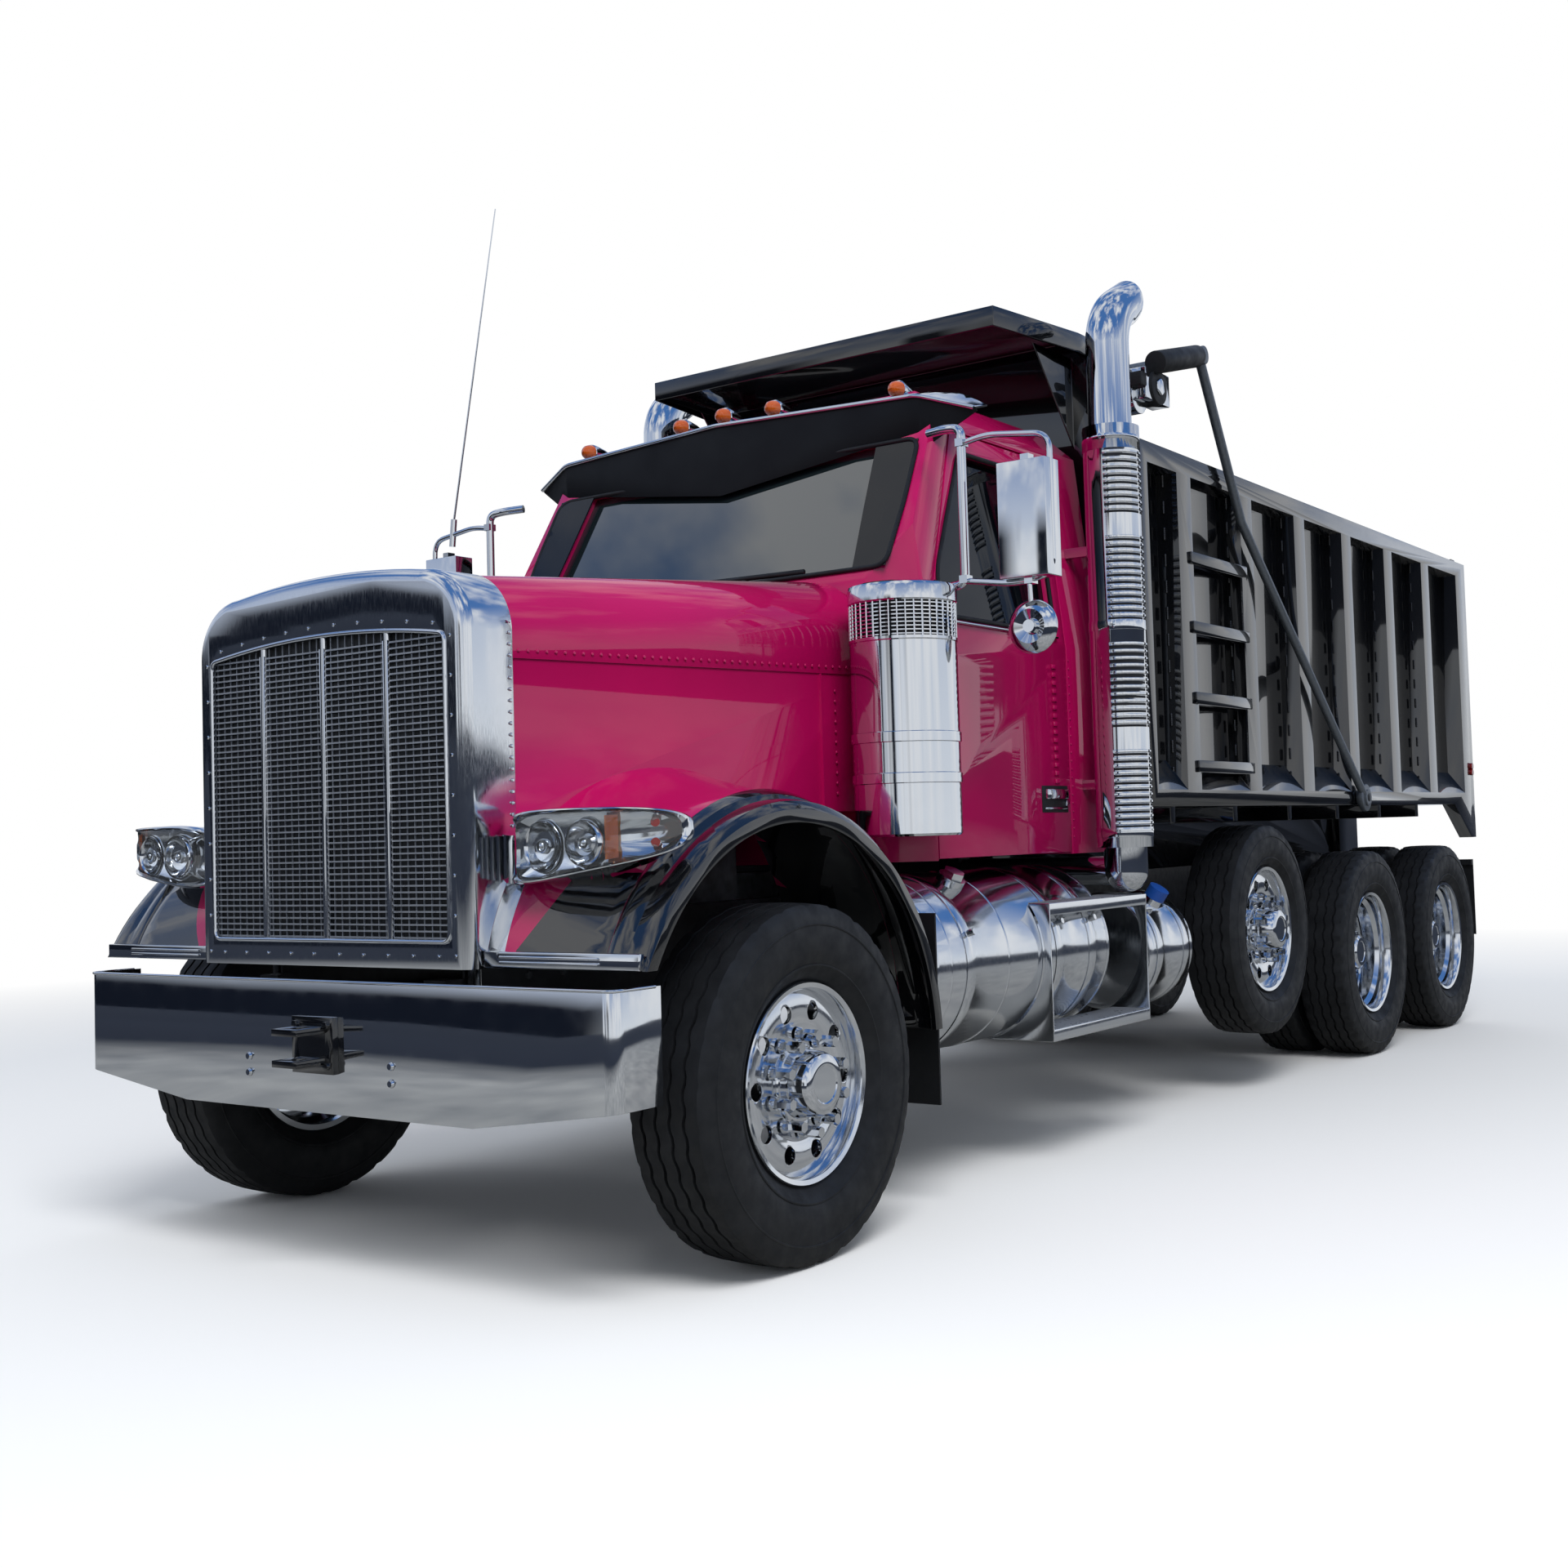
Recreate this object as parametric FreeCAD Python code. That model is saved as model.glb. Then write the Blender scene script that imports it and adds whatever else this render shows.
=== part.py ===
"""Long-nose tri-axle dump truck, modelled in millimetres.

X points to the vehicle's left, -Y points forward and +Z points up. Sizes and places are
given from the front axle's centre on the road, and every piece is moved at the end, so
that the origin lies on the road below the middle of the truck's length.
"""
import math
import os

import FreeCAD
import Part

V = FreeCAD.Vector

# Overall reach along the truck, from the front axle
FRONT_REACH = 930.0
REAR_REACH = 7500.0
MIDDLE = (REAR_REACH - FRONT_REACH) / 2

# Gaps and overruns
SEAT = 0.3
RUN = 0.05
CLEAR = 12.0
OVER = 5.0

# Wheels: tyre radius and section, rim radius and width
FRONT_TYRE_R = 537.0
FRONT_TYRE_W = 300.0
FRONT_RIM_R = 287.0
FRONT_RIM_W = 229.0
PUSHER_TYRE_R = 503.0
PUSHER_TYRE_W = 270.0
PUSHER_RIM_R = 287.0
PUSHER_RIM_W = 210.0
TWIN_TYRE_R = 552.0
TWIN_TYRE_W = 276.0
TWIN_RIM_R = 312.0
TWIN_RIM_W = 210.0
TWIN_SPACING = 318.0
RIM_LIP = 14.0
RIM_WALL = 12.0
SHOULDER_DROP = 16.0
TREAD_WIDTH_SHARE = 0.86
WIDEST_HEIGHT_SHARE = 0.52
HUB_R = 105.0
HUB_CAP_R = 92.0
HUB_REACH = 85.0
DISC_WALL = 22.0
HAND_HOLES = 10
HAND_HOLE_R = 26.0
HAND_HOLE_PITCH_R = 217.0
SPINDLE_R = 42.0
BORE_R = SPINDLE_R + RUN

# Axles: places along the truck and of the rims' outer planes
PUSHER_Y = 3861.0
PUSHER_LIFT = 258.0
TANDEM_Y = 5250.0
TANDEM_SPREAD = 1385.0
FRONT_RIM_X = 1241.0
PUSHER_RIM_X = 1178.0
TWIN_RIM_X = 1222.0
FRONT_DISC_INSET = 30.0
TWIN_DISC_INSET = 170.0

# Frame rails
RAIL_TOP = 1050.0
RAIL_H = 270.0
RAIL_X = 432.0
RAIL_FLANGE = 90.0
RAIL_WALL = 10.0
RAIL_FRONT_Y = -610.0
HINGE_Y = 7020.0
HINGE_Z = 960.0
HINGE_PIN_R = 40.0
HINGE_BOSS_R = 78.0
CROSS_W = 160.0
CROSS_H = 85.0
CROSS_PLACES = (150.0, 2100.0, 2950.0, 4400.0, 5942.0)

# Front axle, kingpins and knuckles
KINGPIN_X = 900.0
KINGPIN_R = 26.0
BEAM_W = 90.0
BEAM_H = 110.0
BEAM_DROP = 75.0
SPRING_W = 90.0
SPRING_H = 60.0
SPRING_X = 395.0
SPRING_HALF = 560.0
KNUCKLE_W = 110.0
KNUCKLE_H = 190.0
STEER_ARM = 230.0
TIE_R = 18.0
TIE_EYE_R = 32.0
TIE_EYE_H = 46.0
TIE_PIN_R = 11.0

# Rear axles and their suspension
AXLE_TUBE_R = 70.0
DIFF_R = 190.0
DIFF_W = 260.0
DIFF_SIDE_SHARE = 0.6
SHAFT_R = 48.0
SHAFT_Z = 905.0
COUPLER_R = 72.0
PUSHER_TUBE_R = 60.0

# Engine, gearbox and radiator
ENGINE_W = 760.0
ENGINE_FRONT_Y = -330.0
ENGINE_REAR_Y = 760.0
ENGINE_BOTTOM = 720.0
ENGINE_TOP = 1700.0
GEARBOX_W = 460.0
GEARBOX_REAR_Y = 1500.0
GEARBOX_TOP = 1140.0
RADIATOR_W = 1000.0
RADIATOR_D = 150.0
RADIATOR_FRONT_Y = -620.0
RADIATOR_TOP = 1900.0

# Bumper and tow coupling
BUMPER_Y = -807.0
BUMPER_HALF = 1205.0
BUMPER_TOP = 880.0
BUMPER_MID_Z = 484.0
BUMPER_END_Z = 557.0
BUMPER_FLAT_HALF = 662.0
BUMPER_RETURN = 190.0
BUMPER_WALL = 8.0
BUMPER_FOLD_R = 40.0
COUPLING_Z = 690.0
COUPLING_W = 190.0
COUPLING_H = 170.0
COUPLING_PLATE = 20.0
TOW_BORE_R = 20.0
TOW_EAR_W = 114.0

# Cab
CAB_HALF = 1035.0
CAB_FRONT_Y = 960.0
CAB_BACK_Y = 2450.0
CAB_BOTTOM = 1170.0
CAB_LOWER_H = 840.0
CAB_UPPER_H = 950.0
CAB_BELT = CAB_BOTTOM + CAB_LOWER_H
CAB_ROOF = CAB_BELT + CAB_UPPER_H
CAB_WALL = 55.0
GREENHOUSE_INSET = 95.0
WINDSCREEN_TOP_Y = 1310.0
WINDSCREEN_BOTTOM = CAB_BELT + 180.0
COWL_HALF = CAB_HALF - 185.0
WINDSCREEN_HALF = COWL_HALF
REAR_WINDOW_SHARE = 0.8
REAR_WINDOW_DROP = 275.0
COWL_BACK_Y = 1100.0
DOOR_FRONT_Y = 1110.0
DOOR_REAR_Y = 2130.0
DOOR_WALL = CAB_WALL
DOOR_GAP = 8.0
DOOR_HINGE_X = CAB_HALF + 14.0
DOOR_HINGE_Y = 1100.0
DOOR_HINGE_PLACES = (CAB_BOTTOM + 250.0, CAB_BELT - 130.0)
DOOR_BARREL_R = 14.0
DOOR_BARREL_H = 60.0
DOOR_PIN_R = 8.0
DOOR_LEAF = 60.0
DOOR_FRAME_W = 77.0
VISOR_HALF = CAB_HALF + 80.0
VISOR_NOSE_Y = 1190.0
VISOR_TIP_Y = 1330.0
VISOR_LIP_Z = CAB_ROOF - 30.0
VISOR_TIP_Z = CAB_ROOF - 115.0
VISOR_LOW_Z = CAB_ROOF - 330.0
VISOR_SIDE_LOW_Z = CAB_ROOF - 260.0
VISOR_SIDE_X = CAB_HALF - 135.0
VISOR_RISE = 58.0
VISOR_BACK_Y = 1420.0
VISOR_WALL = 6.0
MARKER_PLACES = (-794.0, -237.0, 0.0, 237.0, 794.0)
MARKER_R = 34.0
MARKER_L = 70.0
GLASS = 8.0
SEAT_X = 480.0
SEAT_HALF = 230.0
SEAT_FRONT_Y = 1720.0
SEAT_BACK_Y = 2200.0
SEAT_H = 420.0
SEAT_BACK_H = 650.0
SEAT_PAD = 120.0
DASH_BACK_Y = 1290.0
DASH_BOTTOM_H = 480.0
DASH_TOP_H = 860.0
HAND_WHEEL_R = 215.0
HAND_WHEEL_RIM_R = 14.0
HAND_WHEEL_REACH = 190.0
HAND_WHEEL_LEAN_SHARE = 0.45
COLUMN_R = 25.0
ALONG_SHARE = 0.9

# Air cleaners, stacks, tanks and steps
CLEANER_X = CAB_HALF + 40.0
CLEANER_Y = 850.0
CLEANER_R = 192.0
CLEANER_BOTTOM = 1262.0
CLEANER_TOP = 2130.0
CLEANER_CAP_H = 60.0
CLEANER_BAND_RISES = (0.0, 173.0, 365.0, 568.0)
BAND_WALL = 5.0
BAND_H = 40.0
STACK_X = CAB_HALF + 175.0
STACK_Y = 2260.0
PIPE_R = 89.0
GUARD_R = 115.0
GUARD_WALL = 4.0
GUARD_BOTTOM = 1190.0
GUARD_TOP = 2950.0
PIPE_BEND_Z = 3330.0
PIPE_BEND_R = 200.0
PIPE_BEND_ANGLE = 62.0
PIPE_TIP = 190.0
PIPE_CUT_SHARE = 0.8
STAY_LOW_RISE = 240.0
STAY_HIGH_RISE = 385.0
STAY_IN_SHARE = 0.55
ELBOW_Z = 1095.0
ELBOW_R = 60.0
TANK_R = 330.0
TANK_X = 870.0
TANK_Z = 802.0
TANK_FRONT_Y = 805.0
TANK_REAR_Y = 2130.0
STRAP_INSET = 200.0
STRAP_W = 60.0
HANGER_SHARE = 0.6
CAP_OUT_SHARE = 0.7
CAP_UP_SHARE = 0.95
CAP_R = 40.0
DEF_R = 255.0
DEF_X = 895.0
DEF_Z = 735.0
DEF_FRONT_Y = 2620.0
DEF_REAR_Y = 3050.0
STEP_FRONT_Y = 1560.0
STEP_REAR_Y = 2390.0
STEP_X = 1228.0
STEP_LOW_Z = 480.0
STEP_HIGH_Z = 950.0
STEP_DEPTH = 170.0
STEP_WALL = 6.0
STEP_TREAD_H = 45.0

# Mirrors
MIRROR_X = CAB_HALF + 408.0
MIRROR_Y = 1085.0
MIRROR_LOOP_Y = 1271.0
MIRROR_W = 170.0
MIRROR_D = 70.0
MIRROR_BOTTOM = CAB_BELT + 135.0
MIRROR_TOP = CAB_BELT + 530.0
MIRROR_ARM_R = 13.0
MIRROR_POST_X = CAB_HALF + 40.0
MIRROR_POST_Y = 1290.0
MIRROR_ARM_TOP = CAB_BELT + 680.0
MIRROR_ARM_BOTTOM = CAB_BELT + 85.0
CONVEX_R = 95.0
CONVEX_Z = CAB_BELT - 35.0
WHIP_R = 4.0
WHIP_TOP = 4050.0
WHIP_LEAN = 120.0

# Hood, crown and grille
CROWN_FRONT_Y = -770.0
CROWN_BACK_Y = -580.0
CROWN_HALF = 630.0
CROWN_TOP = 2090.0
CROWN_BOTTOM = 922.0
CROWN_CORNER_R = 190.0
CROWN_RISE = 30.0
CROWN_EDGE_R = 40.0
CROWN_WALL = 6.0
GRILLE_HALF = 548.0
GRILLE_BOTTOM = 1000.0
GRILLE_TOP = 1930.0
GRILLE_DEPTH = 40.0
GRILLE_BARS = (-291.0, 0.0, 291.0)
GRILLE_BAR_W = 22.0
HOOD_REAR_Y = 930.0
HOOD_REAR_HALF = COWL_HALF
HOOD_REAR_TOP = 2200.0
HOOD_REAR_BOTTOM = 1340.0
HOOD_WALL = 12.0
HOOD_CORNER_R = 225.0
HOOD_RISE = 36.0
HOOD_CREASE_FRONT_Z = 1822.0
HOOD_CREASE_REAR_Z = 1842.0
HOOD_CREASE_STEP = 5.0
HOOD_PIVOT_Y = -760.0
HOOD_PIVOT_Z = 700.0
HOOD_PIN_R = 14.0
HOOD_LUG_R = 24.0
HOOD_LUG_W = 28.0
HOOD_LUG_REACH = 178.0
HOOD_LUG_RISE = 90.0
FENDER_Y = -20.0
FENDER_Z = 580.0
FENDER_R = 775.0
FENDER_LIP = 40.0
FENDER_WALL = 14.0
FENDER_OUT_X = 1245.0
FENDER_CROWN = 110.0
FENDER_RISE_IN = 176.0
FLARE_W = 160.0
FLARE_RISES = (55.0, 66.0, 48.0, 22.0, 34.0, 26.0, 0.0)
FLARE_PLACES = (0.0, 0.14, 0.36, 0.44, 0.58, 0.86, 1.0)
FENDER_FRONT_Z = 925.0
FENDER_REAR_Z = 618.0
POD_IN_X = 636.0
POD_OUT_X = 1290.0
POD_BOTTOM = 1150.0
POD_TOP = 1385.0
POD_FRONT_Y = -700.0
POD_BACK_Y = -400.0
LAMP_R = 88.0
POD_EDGE_R = 45.0
POD_TAIL_RISE = 62.0
POD_LAMP_SHARES = (0.24, 0.55)

# Dump bed
BED_HALF = 1210.0
BED_FRONT_Y = 2530.0
BED_REAR_Y = 7440.0
FLOOR_BOTTOM = 1355.0
FLOOR_WALL = 20.0
SIDE_X = 1100.0
SIDE_WALL = 8.0
RAIL_BAND_H = 72.0
TOP_RAIL_BOTTOM = 2830.0
TOP_RAIL_TOP = 2920.0
TOP_RAIL_LIP = 20.0
POST_FIRST_Y = 2906.0
POST_PITCH = 716.0
POST_COUNT = 6
POST_W = 150.0
CORNER_POST_W = 210.0
CORNER_DROP_Z = 1140.0
CORNER_FOOT = 462.0
HINGE_CHEEK_SHARE = 0.77
EYE_BLOCK_RISE = 208.0
SILL_X = 390.0
SILL_W = 80.0
SILL_GAP = 3.0
FRONT_WALL_TOP = 3300.0
DOGHOUSE_HALF = 230.0
DOGHOUSE_D = 270.0
DOGHOUSE_FOOT_D = 600.0
SHIELD_FRONT_Y = 1861.0
SHIELD_HALF = 904.0
SHIELD_BACK_HALF = 990.0
SHIELD_Z = 3310.0
SHIELD_LIP = 85.0
SHIELD_WALL = 8.0
TAILGATE_GAP = 8.0
TAILGATE_PIN_R = 22.0
TAILGATE_EAR_REACH = 40.0
LADDER_RUNGS = (1504.0, 1809.0, 2126.0, 2437.0)
LADDER_RUNG_H = 45.0
TARP_PIVOT_Y = 5143.0
TARP_PIVOT_Z = 1392.0
TARP_ARM_X = 1250.0
TARP_BEND_Y = 3537.0
TARP_BEND_Z = 2684.0
TARP_TOP_Y = 3110.0
TARP_TOP_Z = 3386.0
TARP_TUBE_R = 22.0
ROLLER_Z = 3120.0
ROLLER_R = 75.0
ROLLER_HALF = 1180.0
FLAP_WALL = 8.0
FLAP_BAR = 36.0
FLAP_IN_X = 700.0
FLAP_OUT_X = 1200.0
FLAP_TOP = 1000.0
FLAP_BEHIND = 215.0
FRONT_FLAP_LOW = 355.0
REAR_FLAP_LOW = 520.0

# Front hoist: pins, barrel and stages
HOIST_Y = 2640.0
HOIST_Z = 1120.0
HOIST_EYE_Z = 2750.0
HOIST_BARREL_R = 105.0
HOIST_STAGE_STEP = 17.0
HOIST_STAGES = 3
HOIST_WALL = 9.0
HOIST_GLAND_H = 50.0
HOIST_PIN_R = 25.0
HOIST_LUG_R = 48.0
HOIST_NECK_R = 38.0
HOIST_FOOT_GAP = 10.0
HOIST_BARREL_TOP = 2520.0


def box(x0, x1, y0, y1, z0, z1):
    """A block between two corners."""
    return Part.makeBox(x1 - x0, y1 - y0, z1 - z0, V(x0, y0, z0))


def rod(start, end, radius):
    """A round bar from one point to another."""
    along = end.sub(start)
    return Part.makeCylinder(radius, along.Length, start, along)


def tube(start, end, radius, wall):
    """A round tube, open at both ends."""
    return rod(start, end, radius).cut(rod(start, end, radius - wall))


def across(x0, x1, y, z, radius):
    """A round bar along X."""
    return rod(V(x0, y, z), V(x1, y, z), radius)


def side_plate(points, x0, x1):
    """A flat plate whose outline of (y, z) points is given in the side view."""
    corners = [V(x0, y, z) for y, z in points]
    wire = Part.makePolygon(corners + corners[:1])
    return Part.Face(wire).extrude(V(x1 - x0, 0, 0))


def front_plate(points, y0, y1):
    """A flat plate whose outline of (x, z) points is given in the front view."""
    corners = [V(x, y0, z) for x, z in points]
    wire = Part.makePolygon(corners + corners[:1])
    return Part.Face(wire).extrude(V(0, y1 - y0, 0))


def plan_plate(points, z0, z1):
    """A flat plate whose outline of (x, y) points is given from above."""
    corners = [V(x, y, z0) for x, y in points]
    wire = Part.makePolygon(corners + corners[:1])
    return Part.Face(wire).extrude(V(0, 0, z1 - z0))


def turned(points, y, z):
    """A body turned about a line along X, from (x, radius) points."""
    corners = [V(x, y, z + r) for x, r in points]
    wire = Part.makePolygon(corners + corners[:1])
    return Part.Face(wire).revolve(V(0, y, z), V(1, 0, 0), 360)


def fused(first, *others):
    """Pieces welded into one."""
    return first.multiFuse(list(others)).removeSplitter()


def mirrored(shape):
    """The same piece on the other side of the truck."""
    return shape.mirror(V(0, 0, 0), V(1, 0, 0))


def pair(shape):
    """A piece and its mirror image, side by side."""
    return Part.makeCompound([shape, mirrored(shape)])


def rounded(shape, radius, test):
    """Round the edges for which the test of an edge's middle and direction holds."""
    picked = []
    for edge in shape.Edges:
        middle = edge.valueAt((edge.FirstParameter + edge.LastParameter) / 2)
        along = edge.tangentAt(edge.FirstParameter)
        if test(middle, along):
            picked.append(edge)
    return shape.makeFillet(radius, picked)


def save(name, shape):
    """Move a piece to the truck's own origin and write it."""
    moved = shape.copy()
    moved.translate(V(0, -MIDDLE, 0))
    moved.exportStep(f"parts/{name}.step")


def tyre(mid_x, y, z, radius, width, rim_r, rim_w):
    """One tyre, turned from its section."""
    half = width / 2
    widest = rim_r + (radius - rim_r) * WIDEST_HEIGHT_SHARE
    tread = half * TREAD_WIDTH_SHARE
    bead = rim_w / 2 - RIM_LIP - SEAT
    lip_top = rim_r + RIM_LIP + SEAT
    shoulder = radius - SHOULDER_DROP
    right = [(bead, rim_r), (bead, lip_top), (half, widest), (tread, shoulder),
             (tread - SHOULDER_DROP, radius)]
    left = [(-x, r) for x, r in reversed(right)]
    return turned([(mid_x + x, r) for x, r in right + left], y, z)


def wheel(outer_x, y, z, rim_r, rim_w, disc_inset, hub_cap):
    """A disc wheel: barrel with lips, disc with round hand holes, and its hub.

    The rim's outer plane is at outer_x, and the hub's bore runs on the spindle.
    """
    back = outer_x - rim_w
    disc = outer_x - disc_inset
    lip_r = rim_r + RIM_LIP
    in_r = rim_r - RIM_WALL - SEAT
    barrel = turned([
        (back, in_r), (back, lip_r), (back + RIM_LIP, lip_r), (back + RIM_LIP, rim_r - SEAT),
        (outer_x - RIM_LIP, rim_r - SEAT), (outer_x - RIM_LIP, lip_r), (outer_x, lip_r),
        (outer_x, in_r)], y, z)
    hub_back = disc - DISC_WALL - HUB_REACH
    plate = turned([
        (disc - DISC_WALL, BORE_R), (disc, BORE_R), (disc, HAND_HOLE_PITCH_R),
        (disc - DISC_WALL, in_r + RIM_WALL / 2),
        (disc - 2 * DISC_WALL, in_r + RIM_WALL / 2),
        (disc - 2 * DISC_WALL, HAND_HOLE_PITCH_R)], y, z)
    for i in range(HAND_HOLES):
        turn = 2 * math.pi * (i + 0.5) / HAND_HOLES
        hy = y + HAND_HOLE_PITCH_R * math.sin(turn)
        hz = z + HAND_HOLE_PITCH_R * math.cos(turn)
        plate = plate.cut(across(disc - 3 * DISC_WALL, disc + OVER, hy, hz, HAND_HOLE_R))
    hub = turned([
        (hub_back, BORE_R), (hub_back, HUB_R), (disc + hub_cap - DISC_WALL, HUB_R),
        (disc + hub_cap, HUB_CAP_R), (disc + hub_cap, 0), (disc + DISC_WALL, 0),
        (disc + DISC_WALL, BORE_R)], y, z)
    return fused(barrel, plate, hub)


def spindle_end(outer_x, disc_inset):
    """Where the spindle ends inside the hub."""
    return outer_x - disc_inset + DISC_WALL - SEAT


def make_wheels():
    """All the wheels, each tyre and rim a piece of its own."""
    front_mid = FRONT_RIM_X - FRONT_RIM_W / 2
    pusher_mid = PUSHER_RIM_X - PUSHER_RIM_W / 2
    twin_mid = TWIN_RIM_X - TWIN_RIM_W / 2
    pusher_z = PUSHER_TYRE_R + PUSHER_LIFT
    single = [
        ("front", 0, FRONT_TYRE_R, FRONT_TYRE_R, FRONT_TYRE_W, FRONT_RIM_R, FRONT_RIM_W,
         FRONT_RIM_X, front_mid),
        ("pusher", PUSHER_Y, pusher_z, PUSHER_TYRE_R, PUSHER_TYRE_W, PUSHER_RIM_R,
         PUSHER_RIM_W, PUSHER_RIM_X, pusher_mid),
    ]
    for name, y, z, radius, width, rim_r, rim_w, rim_x, mid in single:
        rubber = tyre(mid, y, z, radius, width, rim_r, rim_w)
        metal = wheel(rim_x, y, z, rim_r, rim_w, FRONT_DISC_INSET, HUB_REACH)
        for side, turn in (("left", lambda s: s), ("right", mirrored)):
            save(f"{name}_tyre_{side}", turn(rubber))
            save(f"{name}_wheel_{side}", turn(metal))
    for row, y in (("mid", TANDEM_Y), ("rear", TANDEM_Y + TANDEM_SPREAD)):
        z = TWIN_TYRE_R
        outer = tyre(twin_mid, y, z, TWIN_TYRE_R, TWIN_TYRE_W, TWIN_RIM_R, TWIN_RIM_W)
        inner = tyre(twin_mid - TWIN_SPACING, y, z, TWIN_TYRE_R, TWIN_TYRE_W, TWIN_RIM_R,
                     TWIN_RIM_W)
        metal = wheel(TWIN_RIM_X, y, z, TWIN_RIM_R, TWIN_RIM_W, TWIN_DISC_INSET, HUB_REACH)
        inner_rim = twin_inner_rim(y, z)
        metal = fused(metal, inner_rim)
        rubber = Part.makeCompound([outer, inner])
        for side, turn in (("left", lambda s: s), ("right", mirrored)):
            save(f"{row}_twin_tyres_{side}", turn(rubber))
            save(f"{row}_twin_wheels_{side}", turn(metal))


def twin_inner_rim(y, z):
    """The inner rim of a twin pair, bolted back to back with the outer one."""
    outer_x = TWIN_RIM_X - TWIN_SPACING
    back = outer_x - TWIN_RIM_W
    lip_r = TWIN_RIM_R + RIM_LIP
    in_r = TWIN_RIM_R - RIM_WALL - SEAT
    barrel = turned([
        (back, in_r), (back, lip_r), (back + RIM_LIP, lip_r),
        (back + RIM_LIP, TWIN_RIM_R - SEAT), (outer_x - RIM_LIP, TWIN_RIM_R - SEAT),
        (outer_x - RIM_LIP, lip_r), (outer_x, lip_r), (outer_x, in_r)], y, z)
    disc = TWIN_RIM_X - TWIN_DISC_INSET - DISC_WALL
    cone = turned([
        (disc - DISC_WALL, HUB_R), (disc, HUB_R), (disc, HAND_HOLE_PITCH_R),
        (outer_x, in_r + RIM_WALL / 2), (outer_x - DISC_WALL, in_r + RIM_WALL / 2),
        (disc - DISC_WALL, HAND_HOLE_PITCH_R - DISC_WALL)], y, z)
    return fused(barrel, cone)


def channel(x_out, x_in, y0, y1, z0, z1, wall):
    """A rail of C section, its flanges towards x_in."""
    low, high = min(x_out, x_in), max(x_out, x_in)
    inner_low = low if x_in < x_out else low + wall
    inner_high = high - wall if x_in < x_out else high
    return box(low, high, y0, y1, z0, z1).cut(
        box(inner_low, inner_high, y0 - OVER, y1 + OVER, z0 + wall, z1 - wall))


def make_frame():
    """Two channel rails, their crossmembers, and the hinge bosses and pin of the bed."""
    bottom = RAIL_TOP - RAIL_H
    inner = RAIL_X - RAIL_FLANGE
    pieces = []
    for side in (1, -1):
        pieces.append(channel(side * RAIL_X, side * inner, RAIL_FRONT_Y, HINGE_Y, bottom,
                              RAIL_TOP, RAIL_WALL))
        low = min(side * RAIL_X, side * inner)
        pieces.append(across(low, low + RAIL_FLANGE, HINGE_Y, HINGE_Z, HINGE_BOSS_R))
        pieces.append(box(low, low + RAIL_FLANGE, RAIL_FRONT_Y - CROSS_W / 2, RAIL_FRONT_Y,
                          bottom, BUMPER_TOP))
    for y in CROSS_PLACES:
        pieces.append(box(-RAIL_X + RAIL_WALL, RAIL_X - RAIL_WALL, y - CROSS_W / 2,
                          y + CROSS_W / 2, RAIL_TOP - CROSS_H, RAIL_TOP - RAIL_WALL / 2))
    pin_half = SILL_X + SILL_W + CROSS_W / 4
    pieces.append(across(-pin_half, pin_half, HINGE_Y, HINGE_Z, HINGE_PIN_R))
    frame = fused(*pieces)
    save("frame", frame)


def leaf_spring(x, y, axle_z, half, top):
    """A leaf pack bowed below the rail, with its two hangers."""
    low = axle_z - SPRING_H
    points = [(y - half, top - SPRING_H), (y - half / 2, low + SPRING_H / 2), (y, low),
              (y + half / 2, low + SPRING_H / 2), (y + half, top - SPRING_H)]
    upper = [(py, pz + SPRING_H) for py, pz in reversed(points)]
    return side_plate(points + upper, x - SPRING_W / 2, x + SPRING_W / 2)


def make_front_axle():
    """The dropped I-beam with its kingpins, carried by a leaf pack under each rail."""
    z = FRONT_TYRE_R
    rail_bottom = RAIL_TOP - RAIL_H
    eye_x = KINGPIN_X - BEAM_W
    low, high = z - BEAM_H / 2, z + BEAM_H / 2
    drop_x = SPRING_X + SPRING_W
    outline = [(-eye_x, low), (-drop_x, low - BEAM_DROP), (drop_x, low - BEAM_DROP),
               (eye_x, low), (eye_x, high), (drop_x, high - BEAM_DROP),
               (-drop_x, high - BEAM_DROP), (-eye_x, high)]
    beam = front_plate(outline, -BEAM_W / 2, BEAM_W / 2)
    pieces = [beam]
    for side in (1, -1):
        boss = rod(V(side * KINGPIN_X, 0, low), V(side * KINGPIN_X, 0, high), BEAM_W / 2)
        pin = rod(V(side * KINGPIN_X, 0, z - KNUCKLE_H / 2),
                  V(side * KINGPIN_X, 0, z + KNUCKLE_H / 2), KINGPIN_R)
        web = box(min(side * eye_x, side * KINGPIN_X), max(side * eye_x, side * KINGPIN_X),
                  -BEAM_W / 2, BEAM_W / 2, low, high)
        spring = leaf_spring(side * SPRING_X, 0, high - BEAM_DROP + SPRING_H, SPRING_HALF,
                             rail_bottom - SEAT)
        pieces += [boss, pin, web, spring]
    save("front_axle", fused(*pieces))


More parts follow.
